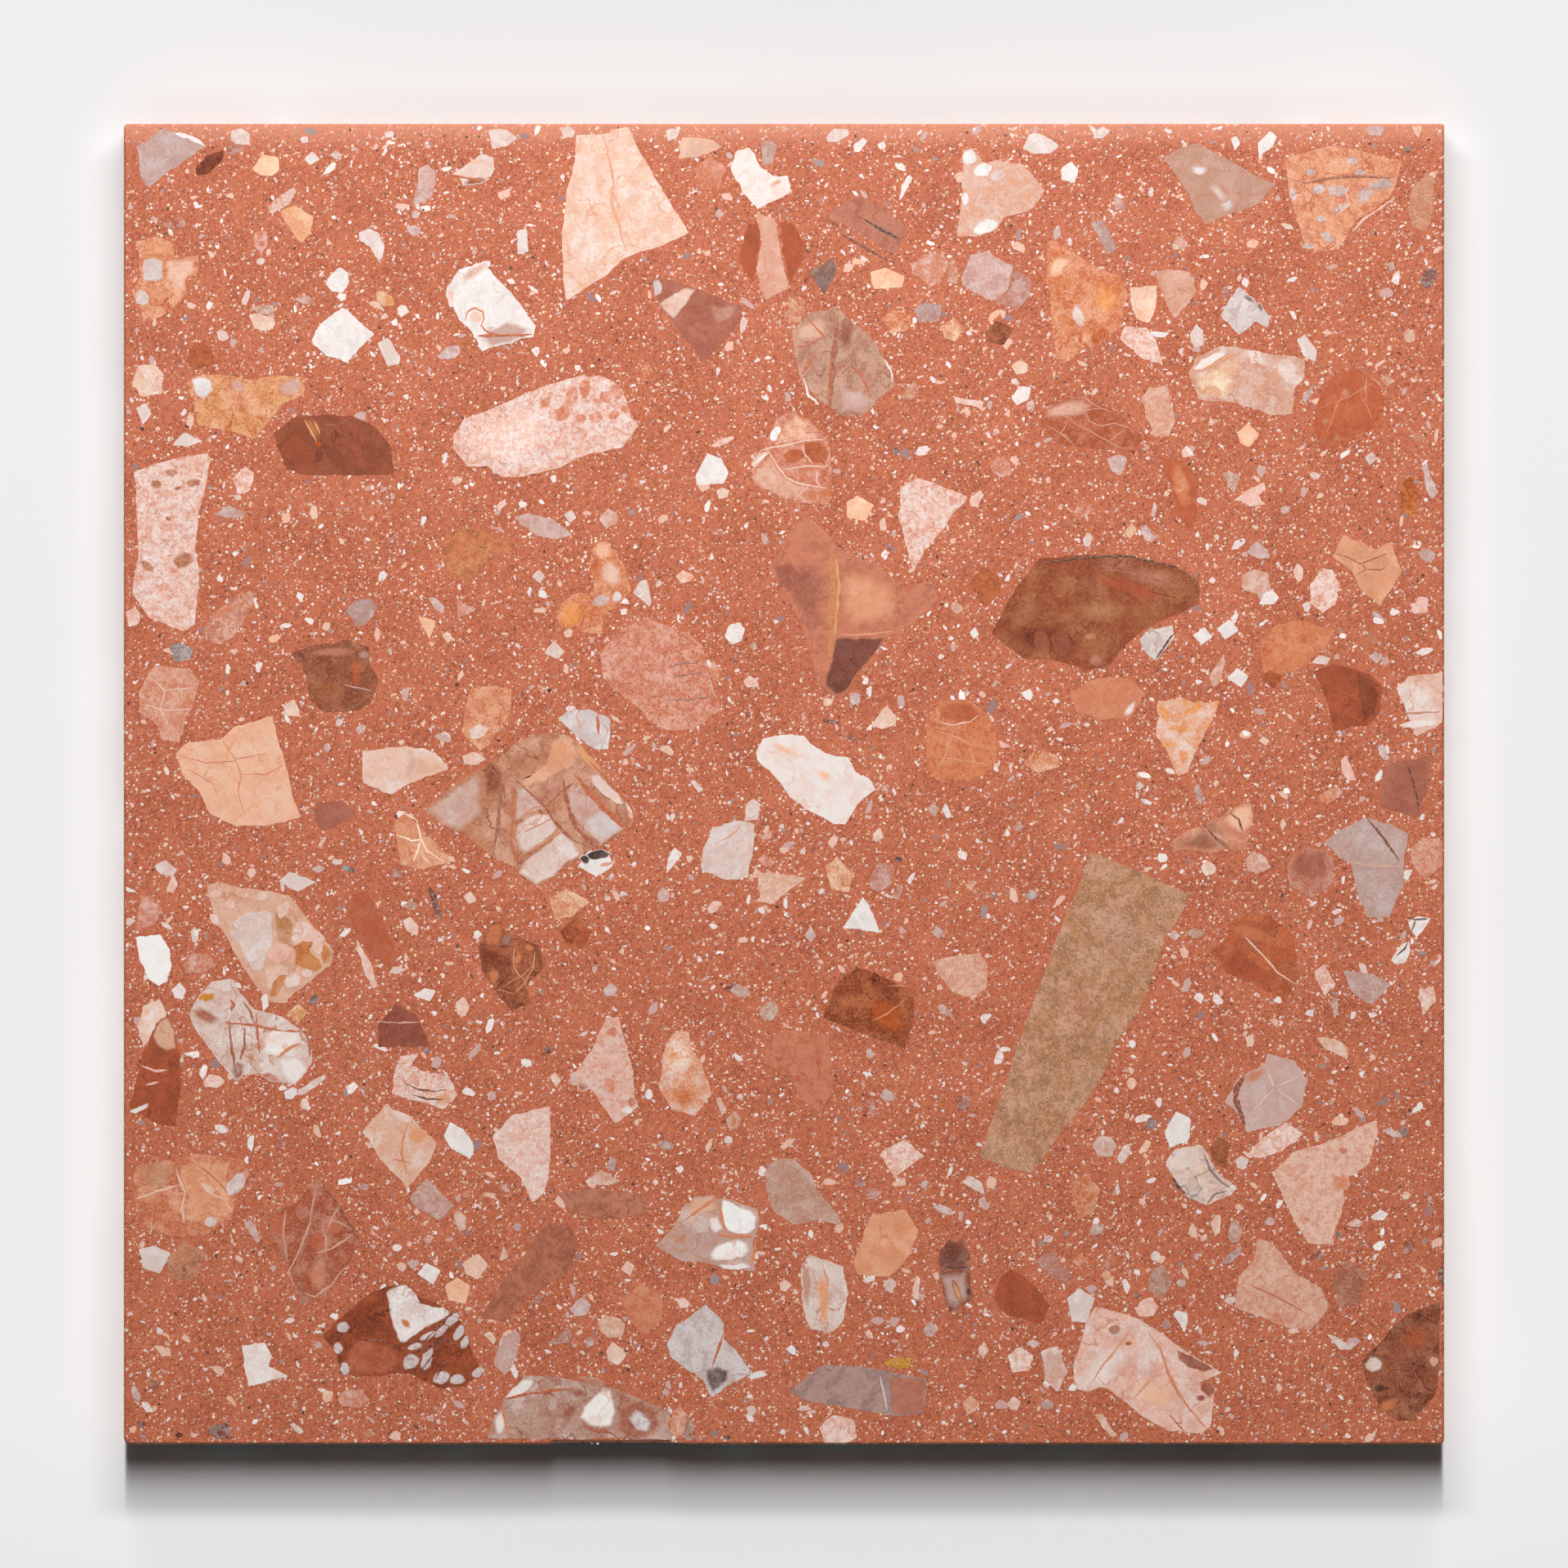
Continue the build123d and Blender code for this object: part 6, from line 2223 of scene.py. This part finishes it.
def build_heap(kind, first_seed):
    """Cut every stone of a heap and join them into one piece.

    A patch shares the coordinates of its host, so the pattern runs on through it, and its rim has
    the host's tones.
    """
    pale_name, pale_share, dark_name, dark_share = HEAPS[kind]
    all_points, all_faces, all_grain, all_tones, placed = [], [], [], [], {}
    start = 0
    for number, facts in enumerate(heap[kind]):
        random = np.random.default_rng(first_seed + number)
        host, plane, colour = facts["host"], facts["plane"], facts["colour"]
        calm = CALM_PATCH if host else 1.0
        pale = SHELF[facts["pale"]] if facts["pale"] else mixed(colour, pale_name, calm * pale_share)
        dark = SHELF[facts["dark"]] if facts["dark"] else mixed(colour, dark_name, calm * dark_share)
        three = np.array([SHELF[colour], pale, dark])
        turn, shift = random.uniform(0, np.pi), random.uniform(-400, 400, 3)
        corners = np.asarray(facts["corners"], float) if plane else on_face(facts["corners"])
        ragged = RAGGED * np.clip(np.ptp(corners, axis=0).max() / FULLY_RAGGED_SPAN, 0.3, 1.0)
        ring = broken_outline(corners, ragged, first_seed + number)
        if host:
            turn, shift, around = placed[host]
            around = np.array([SHELF[facts["over"]]] * 3) if facts["over"] else around
            points, faces = face_patch(ring, facts["soft"], facts["proud"])
            tones = np.repeat(np.stack([three, around, around, around]), len(ring), axis=0)
        elif plane:
            points, faces = stacked_rings(np.clip(ring, *plane_limits(plane)), PLANE_DROPS)
            tones = np.repeat(three[None], len(points), axis=0)
        else:
            placed[facts["name"]] = (turn, shift, three)
            lift = facts["proud"] + STONE_STEP * (4 * (first_seed // 1000) + number % 4)
            points, faces = face_stone(ring, min(0.45 * np.ptp(ring, axis=0).min(), 0.011), lift)
            tones = np.repeat(three[None], len(points), axis=0)
        all_grain.append(grain_of(points, turn, shift))
        all_points.append(on_plane(points, plane) if plane else points)
        all_faces += [[start + corner for corner in face] for face in faces]
        all_tones.append(tones)
        start += len(points)
    tones = np.concatenate(all_tones)
    labels = {"own_tone": tones[:, 0], "pale_tone": tones[:, 1], "dark_tone": tones[:, 2]}
    return put_piece(kind, np.vstack(all_points), all_faces, marbles[kind], labels, np.vstack(all_grain))


for number, kind in enumerate(heap):
    if heap[kind]:
        piece = build_heap(kind, 1000 * (number + 1))
        print(kind, len(heap[kind]), "stones,", len(piece.data.vertices), "points")

# %% [markdown]
# ## Veins and cracks
#
# Some stones have a crack or a vein that everyone would know them by. Each is a thin ribbon: a flat
# diamond profile carried along a line that was read off the photograph, shivered a little and
# drawn out to nothing at both ends.

# %% Ribbons along given lines
VEIN_EDGE = 0.000105
VEIN_CREST = 0.00012
VEIN_STEP = 0.0005


def ribbon(line, width, seed):
    """A diamond of four points carried along a line.

    The line is sampled every half millimetre and shivers sideways by seeded noise smoothed over its
    neighbours. The diamond's width follows the square root of a half sine, so that both ends close.
    """
    run = on_face(line)
    travelled = np.concatenate([[0.0], np.cumsum(np.hypot(*np.diff(run, axis=0).T))])
    count = max(int(travelled[-1] / VEIN_STEP), 6)
    at = np.linspace(0, travelled[-1], count)
    path = np.column_stack([np.interp(at, travelled, run[:, axis]) for axis in (0, 1)])
    ahead = np.gradient(path, axis=0)
    side = np.column_stack([-ahead[:, 1], ahead[:, 0]]) / np.hypot(*ahead.T)[:, None].clip(1e-9)
    random = np.random.default_rng(seed)
    shiver = np.convolve(random.normal(0, 0.00022, count + 4), np.ones(5) / 5, "valid")
    swell = 1 + 0.5 * np.convolve(random.normal(0, 1.0, count + 4), np.ones(5) / 5, "valid")
    taper = np.sqrt(np.sin(np.linspace(0.02, np.pi - 0.02, count)))
    path = path + side * (shiver * taper)[:, None]
    half = (0.5 * width * metres_per_pixel * taper * swell.clip(0.35, 1.8))[:, None]
    level = np.full((count, 1), face_height)
    left = np.hstack([path + side * half, level + VEIN_EDGE])
    right = np.hstack([path - side * half, level + VEIN_EDGE])
    crest = np.hstack([path, level + VEIN_CREST])
    root = np.hstack([path, level - 0.0004])
    points = np.stack([left, root, right, crest], axis=1).reshape(-1, 3)
    here = np.arange(4 * (count - 1))
    beside = here + 1 - 4 * ((here + 1) % 4 == 0)
    walls = np.column_stack([here, here + 4, beside + 4, beside])
    last = 4 * count - 1
    return points, walls.tolist() + [[0, 1, 2, 3], [last, last - 1, last - 2, last - 3]]


veins = []


def vein(colour, width, *line):
    """One vein: its tone, its width in pixels and the points it runs through."""
    veins.append((colour, width, line))


# %% Veins of the quartz and the conglomerates
vein("oxblood", 3.5, (632, 955), (650, 972), (668, 988), (678, 1005), (690, 1018), (705, 1030), (720, 1036))
vein("oxblood", 6, (690, 955), (693, 975), (698, 995), (705, 1012), (720, 1028), (735, 1040))
vein("burnt", 8, (703, 948), (710, 956), (722, 972), (740, 990), (758, 1007), (768, 1017))
vein("burnt", 3, (722, 932), (745, 955), (765, 977), (776, 992), (776, 1008), (769, 1017))
vein("oxblood", 3, (668, 988), (685, 972), (702, 958))
vein("rust", 3, (628, 965), (628, 1000), (626, 1030), (634, 1060))
vein("umber", 4, (615, 950), (612, 985), (608, 1020), (603, 1048))
vein("umber", 3, (601, 940), (615, 960), (620, 985))
vein("salmon", 2, (640, 1020), (670, 1005), (690, 1000))
vein("salmon", 2.5, (638, 1048), (670, 1030), (700, 1012))
vein("salmon", 2, (638, 1000), (655, 988), (672, 984))
vein("ash", 2, (710, 1006), (725, 997), (740, 988))
vein("burnt", 3, (619, 1713), (650, 1706), (680, 1702), (702, 1700))
vein("amber", 4, (616, 1720), (618, 1740), (625, 1758))
vein("brick", 3, (712, 1745), (730, 1752), (748, 1754), (756, 1760))
vein("amber", 4, (832, 1498), (850, 1485), (866, 1474), (878, 1467))
vein("amber", 3, (880, 1470), (886, 1500), (890, 1512))
vein("amber", 5, (878, 1513), (900, 1513), (922, 1514))
vein("amber", 4, (925, 1518), (922, 1540), (920, 1551))
vein("umber", 3.5, (280, 1250), (283, 1275), (286, 1300), (290, 1316))
vein("umber", 3, (300, 1258), (299, 1280), (294, 1298))
vein("rust", 3, (314, 1240), (315, 1265), (318, 1290))
vein("rust", 3, (275, 1252), (310, 1255), (340, 1262), (374, 1263))
vein("amber", 3, (340, 1296), (352, 1285), (368, 1277))
vein("umber", 3, (376, 1266), (378, 1282), (380, 1294))
vein("burnt", 5, (282, 1224), (286, 1229), (283, 1238))
vein("umber", 2.5, (298, 1226), (307, 1240), (313, 1254))
vein("burnt", 3.5, (589, 397), (594, 405), (603, 410), (625, 411), (652, 409))
vein("amber", 2.5, (588, 400), (593, 391), (591, 381), (581, 377), (572, 382), (570, 393))
vein("burnt", 2.5, (584, 411), (600, 411), (615, 410))
vein("burnt", 3, (551, 214), (570, 218), (594, 222))
vein("honey", 3, (1458, 458), (1475, 452), (1490, 445), (1505, 437), (1518, 431))
vein("apricot", 3, (1563, 446), (1565, 460), (1563, 474))
vein("rust", 3, (730, 876), (733, 886), (733, 900))
vein("apricot", 2, (705, 872), (710, 886), (708, 898))
vein("apricot", 4, (1007, 1547), (1013, 1568), (1009, 1600), (1004, 1620))
vein("tan", 2.5, (1716, 873), (1738, 873), (1764, 871))
vein("soot", 3, (1436, 1442), (1442, 1452), (1453, 1463))
vein("lead", 3, (1474, 1412), (1482, 1432), (1494, 1446), (1506, 1454))
vein("lead", 3, (1478, 1474), (1488, 1462), (1502, 1458))
vein("soot", 3, (1437, 776), (1426, 791), (1416, 807))
vein("soot", 2, (1722, 1123), (1733, 1127), (1748, 1125))
vein("soot", 2, (1733, 1127), (1728, 1142))
vein("soot", 2, (1724, 1153), (1720, 1162), (1709, 1170))

# %% Veins of the cream, salmon and rose stones
vein("apricot", 2.5, (1388, 1622), (1370, 1648), (1350, 1672), (1337, 1693))
vein("amber", 3, (1405, 1629), (1420, 1650), (1430, 1680), (1445, 1710), (1470, 1740), (1478, 1750))
vein("amber", 2, (1425, 1665), (1435, 1695), (1450, 1712))
vein("apricot", 3, (1413, 1685), (1400, 1700), (1388, 1712))
vein("rust", 2, (1432, 1732), (1442, 1744), (1450, 1752))
vein("apricot", 2.5, (737, 161), (744, 185), (752, 222), (748, 247), (756, 268), (762, 292), (768, 310))
vein("apricot", 2, (1028, 778), (1060, 777), (1094, 773))
vein("shell", 3, (930, 552), (945, 548), (965, 545), (985, 539), (1010, 538))
vein("shell", 2.5, (941, 552), (950, 568), (962, 585), (978, 592), (1000, 596), (1014, 598))
vein("shell", 2, (958, 575), (975, 573), (990, 570), (1010, 572), (1018, 566))
vein("shell", 2, (983, 541), (985, 555), (995, 568))
vein("shell", 2, (1000, 575), (1000, 590), (1005, 596))
vein("snow", 4, (921, 571), (930, 562), (942, 554))
vein("blush", 3, (388, 1448), (383, 1475), (379, 1500), (366, 1533), (353, 1558), (360, 1574))
vein("blush", 2, (350, 1482), (346, 1510), (352, 1545))
vein("cocoa", 2, (393, 1446), (415, 1478), (432, 1506), (440, 1520))
vein("blush", 2, (398, 1490), (420, 1499), (433, 1506))
vein("blush", 2.5, (384, 1535), (405, 1530), (420, 1520), (433, 1510))
vein("blush", 2, (395, 1504), (400, 1522), (398, 1534))
vein("blush", 2.5, (374, 1584), (386, 1588), (405, 1574), (424, 1550))
vein("plum", 5, (384, 1472), (380, 1500), (370, 1528), (362, 1555))
vein("blush", 2, (416, 1476), (408, 1490), (400, 1508))
vein("shell", 3, (166, 1468), (185, 1462), (205, 1455), (222, 1450))
vein("shell", 3, (215, 1430), (220, 1445), (226, 1460), (223, 1480), (226, 1498))
vein("peach", 2.5, (255, 1460), (275, 1470), (285, 1486))
vein("rust", 2, (240, 1426), (262, 1440), (280, 1462))
vein("cocoa", 2, (495, 1326), (512, 1334), (530, 1336), (548, 1334))
vein("soot", 2, (504, 1340), (524, 1346), (544, 1346))
vein("lead", 1.5, (818, 818), (836, 812), (854, 812))
vein("lead", 1.5, (810, 850), (815, 857), (838, 857), (871, 853))
vein("lead", 1.5, (822, 831), (838, 826), (859, 823))
vein("cocoa", 2.5, (1506, 995), (1516, 1004), (1522, 1018))
vein("cocoa", 2.5, (1473, 1009), (1489, 1027), (1506, 1039))
vein("umber", 2, (1485, 1022), (1496, 1030), (1506, 1036))
vein("amber", 2.5, (500, 1375), (494, 1395), (491, 1412), (499, 1438))
vein("sienna", 2, (481, 1419), (492, 1421), (503, 1424))
vein("umber", 1.5, (1634, 677), (1650, 682), (1667, 690), (1685, 683), (1700, 677))
vein("umber", 1.5, (1667, 690), (1672, 697), (1660, 706))
vein("umber", 1.5, (1672, 697), (1690, 698), (1702, 691))
vein("custard", 2, (493, 994), (511, 1005), (515, 1026), (523, 1042), (544, 1056))
vein("custard", 2, (485, 1022), (503, 1030), (515, 1028))
vein("custard", 2, (515, 1028), (511, 1042), (507, 1054))
vein("custard", 1.5, (513, 1042), (520, 1052), (527, 1058))

vein("ginger", 11, (1018, 664), (1020, 700), (1020, 735), (1019, 770), (1017, 806))
vein("honey", 4, (1024, 684), (1027, 719), (1024, 748), (1023, 778))
vein("amber", 1.3, (269, 903), (286, 925), (295, 948), (292, 970), (300, 998))
vein("amber", 1.3, (219, 925), (253, 934), (286, 931), (326, 922))
vein("amber", 1.2, (295, 948), (326, 948), (348, 936))
vein("amber", 1.2, (230, 942), (261, 959), (269, 981))
vein("shell", 2, (182, 827), (202, 846), (196, 869), (208, 891))
vein("shell", 1.8, (202, 846), (241, 841))
vein("shell", 1.8, (174, 863), (196, 869), (236, 869))
vein("apricot", 1.4, (1142, 894), (1165, 900), (1187, 911), (1215, 916))
vein("apricot", 1.4, (1165, 900), (1159, 922), (1148, 945))
vein("apricot", 1.4, (1187, 911), (1193, 933), (1187, 953))
vein("apricot", 1.2, (1148, 928), (1181, 931), (1215, 939))
vein("blush", 1.1, (1274, 516), (1290, 502), (1308, 504), (1328, 502), (1348, 500), (1366, 506))
vein("blush", 1.1, (1292, 504), (1308, 512), (1322, 522), (1342, 532), (1358, 540), (1370, 548), (1390, 550))
vein("blush", 1.1, (1280, 520), (1298, 530), (1312, 542), (1318, 554))
vein("blush", 1.1, (1310, 488), (1326, 486), (1338, 494), (1350, 500))
vein("blush", 1.1, (1328, 502), (1334, 516), (1348, 522), (1366, 518), (1382, 524), (1392, 534))
vein("blush", 1.1, (1358, 540), (1370, 532), (1378, 526))
vein("blush", 1.1, (1308, 512), (1302, 526), (1292, 540))
vein("apricot", 1.3, (1674, 459), (1672, 475), (1673, 492))
vein("apricot", 1.2, (1679, 462), (1687, 468), (1694, 476))
vein("apricot", 1.8, (630, 1217), (644, 1201), (653, 1185), (655, 1166))
vein("apricot", 1.6, (644, 1201), (635, 1194), (628, 1182), (630, 1159))
vein("amber", 1.2, (609, 1212), (620, 1214), (630, 1217))
vein("amber", 1.2, (1616, 500), (1639, 492), (1665, 478), (1685, 466))
vein("amber", 1.2, (1624, 532), (1636, 500), (1648, 474))
vein("amber", 1.2, (1665, 478), (1679, 511), (1690, 526))

# %% Veins of the amber, oxblood, grey and mauve stones
vein("umber", 2.5, (1578, 218), (1600, 224), (1630, 218), (1665, 216), (1700, 218), (1711, 215))
vein("shell", 3, (1710, 241), (1690, 255), (1670, 268), (1656, 284))
vein("shell", 2, (1638, 263), (1655, 248))
vein("shell", 2, (1655, 222), (1648, 236), (1652, 250))
vein("umber", 6, (1026, 384), (1025, 400), (1022, 420), (1020, 445), (1018, 470), (1016, 499))
vein("burnt", 3, (1022, 415), (1018, 445), (1015, 475), (1014, 498))
vein("burnt", 2.5, (988, 388), (1000, 402), (1012, 415))
vein("rust", 2.5, (976, 424), (990, 422), (1008, 412))
vein("rust", 4, (997, 430), (990, 445), (983, 458))
vein("rust", 3, (1042, 446), (1055, 460), (1062, 475), (1067, 488))
vein("rust", 2, (1024, 450), (1038, 446))
vein("umber", 2, (1030, 458), (1040, 448))
vein("snow", 3, (984, 463), (990, 484), (1004, 496))
vein("snow", 2.5, (1084, 440), (1091, 455), (1093, 468))
vein("cocoa", 3, (1030, 286), (1060, 304), (1096, 323))
vein("soot", 2.5, (1056, 267), (1075, 279), (1102, 293))
vein("cocoa", 2, (1012, 268), (1020, 273), (1028, 278))
vein("snow", 6, (214, 163), (232, 168), (246, 175), (252, 180))
vein("cocoa", 3, (1673, 1000), (1687, 1018), (1700, 1034), (1714, 1055))
vein("sand", 1.8, (1652, 1056), (1675, 1060), (1700, 1062), (1717, 1062))
vein("mahogany", 2.5, (1722, 934), (1729, 955), (1735, 975), (1737, 994))
vein("ivory", 1.8, (1560, 1332), (1556, 1320), (1552, 1311))
vein("ivory", 1.8, (1561, 1332), (1578, 1324), (1594, 1318))
vein("ivory", 1.8, (1560, 1333), (1548, 1346), (1535, 1360))
vein("ivory", 1.5, (1562, 1333), (1580, 1346), (1592, 1356))
vein("chestnut", 6, (1524, 1317), (1514, 1332), (1513, 1346), (1519, 1364), (1524, 1378))
vein("pearl", 3, (1077, 1684), (1082, 1704), (1086, 1728))
vein("lead", 2, (1088, 1686), (1091, 1708), (1092, 1732))
vein("rust", 3, (885, 1633), (880, 1652), (872, 1674))
vein("shell", 2.5, (1522, 1145), (1547, 1170), (1564, 1191), (1588, 1206))
vein("blush", 2, (463, 1251), (488, 1253), (514, 1252))
vein("apricot", 2.5, (372, 513), (380, 526), (388, 541))
vein("apricot", 2, (385, 515), (392, 532))
vein("chestnut", 2.5, (394, 520), (412, 521), (432, 512))
vein("mahogany", 2, (495, 1646), (520, 1641), (540, 1622), (555, 1606))
vein("mahogany", 2.5, (498, 1660), (520, 1651), (545, 1640), (562, 1650))
vein("mahogany", 2, (513, 1681), (528, 1662), (538, 1646))
vein("mahogany", 2, (533, 1690), (545, 1665))
vein("mahogany", 2, (440, 1640), (468, 1642), (492, 1652))
vein("soot", 2, (1270, 690), (1330, 683), (1380, 681), (1440, 694), (1465, 712))
vein("umber", 2, (1345, 692), (1400, 706), (1462, 724))
vein("amber", 1.5, (612, 1210), (630, 1200), (640, 1195), (655, 1180))
vein("amber", 1.5, (640, 1195), (644, 1205), (648, 1214))
vein("amber", 2, (1066, 1252), (1088, 1240), (1110, 1223))
vein("amber", 2, (1085, 1208), (1100, 1206), (1115, 1208))
vein("sienna", 5, (255, 760), (268, 752), (284, 744), (300, 737))
vein("lilac", 2, (421, 838), (436, 842), (455, 846))
vein("shell", 2, (1149, 884), (1165, 888), (1188, 884), (1199, 875))
vein("shell", 2.5, (920, 1013), (917, 1035), (911, 1058), (906, 1076))
vein("apricot", 1.5, (879, 1032), (899, 1020), (908, 1010))
vein("rose", 3, (173, 1305), (190, 1312), (205, 1310))
vein("rose", 3, (178, 1329), (195, 1325))
vein("soot", 2, (1151, 1550), (1168, 1552), (1186, 1551))
vein("rust", 1.5, (1527, 1572), (1555, 1584), (1600, 1608))

# %% Joining the veins into one piece
vein_mix = Finish("veins")
vein_own = vein_mix.add("Attribute", {"attribute_name": "own_tone"}, {}, out="Color")
vein_pale = vein_mix.add("Attribute", {"attribute_name": "pale_tone"}, {}, out="Color")
vein_place = vein_mix.add("Attribute", {"attribute_name": "grain"}, {}, out="Vector")
vein_cloud = vein_mix.step(vein_mix.noise(vein_place, 0.9, 3.0, 0.6), 0.40, 0.65)
vein_finish = vein_mix.surface(
    {
        "Base Color": vein_mix.blend(vein_cloud, vein_own, vein_pale),
        "Roughness": 0.40 + 0.06 * vein_cloud,
        "Specular IOR Level": 0.3,
    }
)
vein_points, vein_faces, vein_tones, start = [], [], [], 0
for number, (colour, width, line) in enumerate(veins):
    points, faces = ribbon(line, width, 300 + number)
    vein_points.append(points)
    vein_faces += [[start + corner for corner in face] for face in faces]
    vein_tones.append(np.tile([SHELF[colour], mixed(colour, "blush", 0.35)], (len(points), 1, 1)))
    start += len(points)
vein_points, vein_tones = np.vstack(vein_points), np.concatenate(vein_tones)
tones = {"own_tone": vein_tones[:, 0], "pale_tone": vein_tones[:, 1]}
put_piece("veins", vein_points, vein_faces, vein_finish, tones, grain_of(vein_points, 0.0, 0.0))
print(len(veins), "veins,", len(vein_points), "points")


# %% [markdown]
# ## Grit
#
# The cement is full of marble grit: thousands of angular white, pink and grey crumbs, most of them a
# millimetre long or less. That many are made as one joined mesh from arrays, eight faces a crumb. Small
# crumbs are far more common than large ones, so their areas follow a power law, and none lies inside a
# stone.


# %% Scattering crumbs between the stones
CRUMB_SIDES = 6
SMALLEST_CRUMB = 0.30e-6
LARGEST_CRUMB = 7.5e-6


def inside(points, corners):
    """Which points lie inside an outline: a ray to their right crosses its sides an odd number of times."""
    ends = np.roll(corners, -1, axis=0)
    rise = np.where(ends[:, 1] == corners[:, 1], 1e-12, ends[:, 1] - corners[:, 1])
    column, row = points[:, :1], points[:, 1:]
    spans = (corners[:, 1] > row) != (ends[:, 1] > row)
    crossing = corners[:, 0] + (ends[:, 0] - corners[:, 0]) * (row - corners[:, 1]) / rise
    return (spans & (column < crossing)).sum(1) % 2 == 1


def crumbs(middles, seed, areas=None):
    """Flat crumbs round given middles, as solids in the plane's own coordinates.

    Each is a six-sided ring of uneven reach, longer than wide by a random ratio and turned at random, and a
    second ring half as wide below it.
    """
    random = np.random.default_rng(seed)
    count = len(middles)
    if areas is None:
        areas = SMALLEST_CRUMB * random.uniform(0.0, 1.0, count) ** (-1 / 1.3)
    reach = np.sqrt(np.minimum(areas, LARGEST_CRUMB) / 2.3)
    ratio = np.sqrt(random.uniform(1.0, 2.6, count))
    angles = np.linspace(0, 2 * np.pi, CRUMB_SIDES, endpoint=False)
    angles = angles + random.uniform(-0.35, 0.35, (count, CRUMB_SIDES))
    uneven = reach[:, None] * random.uniform(0.65, 1.25, (count, CRUMB_SIDES))
    long_way = uneven * np.cos(angles) * ratio[:, None]
    short_way = uneven * np.sin(angles) / ratio[:, None]
    turn = random.uniform(0, 2 * np.pi, (count, 1))
    turned_x = long_way * np.cos(turn) - short_way * np.sin(turn)
    turned_y = long_way * np.sin(turn) + short_way * np.cos(turn)
    ring = np.stack([turned_x, turned_y], axis=2)
    lift = random.uniform(0.000006, 0.000016, (count, 1, 1)) * np.ones((1, CRUMB_SIDES, 1))
    top = np.concatenate([middles[:, None] + ring, lift], axis=2)
    low = np.concatenate([middles[:, None] + 0.5 * ring, -np.ones_like(lift) * 0.0004], axis=2)
    points = np.concatenate([top, low], axis=1).reshape(-1, 3)
    side = np.arange(CRUMB_SIDES)
    ahead = (side + 1) % CRUMB_SIDES
    walls = np.column_stack([side, side + CRUMB_SIDES, ahead + CRUMB_SIDES, ahead])
    starts = 2 * CRUMB_SIDES * np.arange(count)
    faces = (walls[None] + starts[:, None, None]).reshape(-1, 4).tolist()
    faces += (side[None] + starts[:, None]).tolist()
    faces += (side[::-1][None] + CRUMB_SIDES + starts[:, None]).tolist()
    return points, faces


# %% Finish and tones of the grit
GRIT_TONES = ["snow", "ivory", "chalk", "shell", "lilac", "mist"]
GRIT_TONES += ["peach", "violet", "smoke", "mahogany", "soot"]
GRIT_SHARES = [0.22, 0.06, 0.03, 0.20, 0.13, 0.08, 0.02, 0.08, 0.04, 0.11, 0.05]
DARK_CRUMB_SPAN = 0.0015
FIRST_DARK_TONE = 9
DARK_TO_PALE = 6

crumb_mix = Finish("grit")
crumb_own = crumb_mix.add("Attribute", {"attribute_name": "own_tone"}, {}, out="Color")
crumb_pale = crumb_mix.add("Attribute", {"attribute_name": "pale_tone"}, {}, out="Color")
crumb_place = crumb_mix.add("Attribute", {"attribute_name": "grain"}, {}, out="Vector")
crumb_cloud = crumb_mix.step(crumb_mix.noise(crumb_place, 1.1, 2.0, 0.6), 0.40, 0.62)
crumb_finish = crumb_mix.surface(
    {
        "Base Color": crumb_mix.blend(crumb_cloud, crumb_own, crumb_pale),
        "Roughness": 0.42 - 0.08 * crumb_cloud,
        "Specular IOR Level": 0.3,
    }
)


def grit_piece(name, points, faces, seed):
    """Join crumbs into a piece: one tone a crumb, picked by its share, and a version of it nearer the cement.

    Only crumbs of a short span are dark.
    """
    count = len(points) // (2 * CRUMB_SIDES)
    random = np.random.default_rng(seed)
    shelf = np.array([SHELF[label] for label in GRIT_TONES])
    pick = random.choice(len(GRIT_TONES), count, p=np.array(GRIT_SHARES) / sum(GRIT_SHARES))
    span = np.ptp(points.reshape(count, -1, 3), axis=1).max(1)
    pick = pick - DARK_TO_PALE * ((pick >= FIRST_DARK_TONE) & (span > DARK_CRUMB_SPAN))
    own = shelf[pick]
    share = random.uniform(0.0, 0.45, (count, 1))
    pale = own * (1 - share) + np.array(PASTE_PALE) * share
    tones = {"own_tone": np.repeat(own, 2 * CRUMB_SIDES, 0), "pale_tone": np.repeat(pale, 2 * CRUMB_SIDES, 0)}
    return put_piece(name, points, faces, crumb_finish, tones, points * 1000)


CRUMB_TRIES = 9500
tries = np.random.default_rng(77).uniform(-half_side + 0.001, half_side - 0.001, (CRUMB_TRIES, 2))
taken = (tries[:, 0] > SPALL_START) & (tries[:, 0] < SPALL_END)
taken &= tries[:, 1] < 2 * SPALL_BITE - half_side
for facts in sum(heap.values(), []):
    if facts["plane"] is None:
        taken |= inside(tries, on_face(facts["corners"]))
face_points, face_faces = crumbs(tries[~taken], 78)
face_points[:, 2] += face_height
face_points = held_in_tile(face_points, 0.0)
grit_piece("grit", face_points, face_faces, 79)
print(len(face_points) // (2 * CRUMB_SIDES), "crumbs on the face")

# %% Grit on the sides and the back
loose_points, loose_faces, start = [], [], 0
for number, plane in enumerate(PLANES):
    low, high = plane_limits(plane)
    many = 3000 if plane == "underside" else 330
    tries = np.random.default_rng(90 + number).uniform(low, high, (many, 2))
    taken = np.zeros(many, bool)
    for facts in sum(heap.values(), []):
        if facts["plane"] == plane:
            taken |= inside(tries, facts["corners"])
    points, faces = crumbs(tries[~taken], 95 + number)
    points[:, :2] = np.clip(points[:, :2], low, high)
    loose_points.append(on_plane(points, plane))
    loose_faces += [[start + corner for corner in face] for face in faces]
    start += len(points)
grit_piece("side_and_back_grit", np.vstack(loose_points), loose_faces, 99)
print(start // (2 * CRUMB_SIDES), "crumbs on the sides and the back")
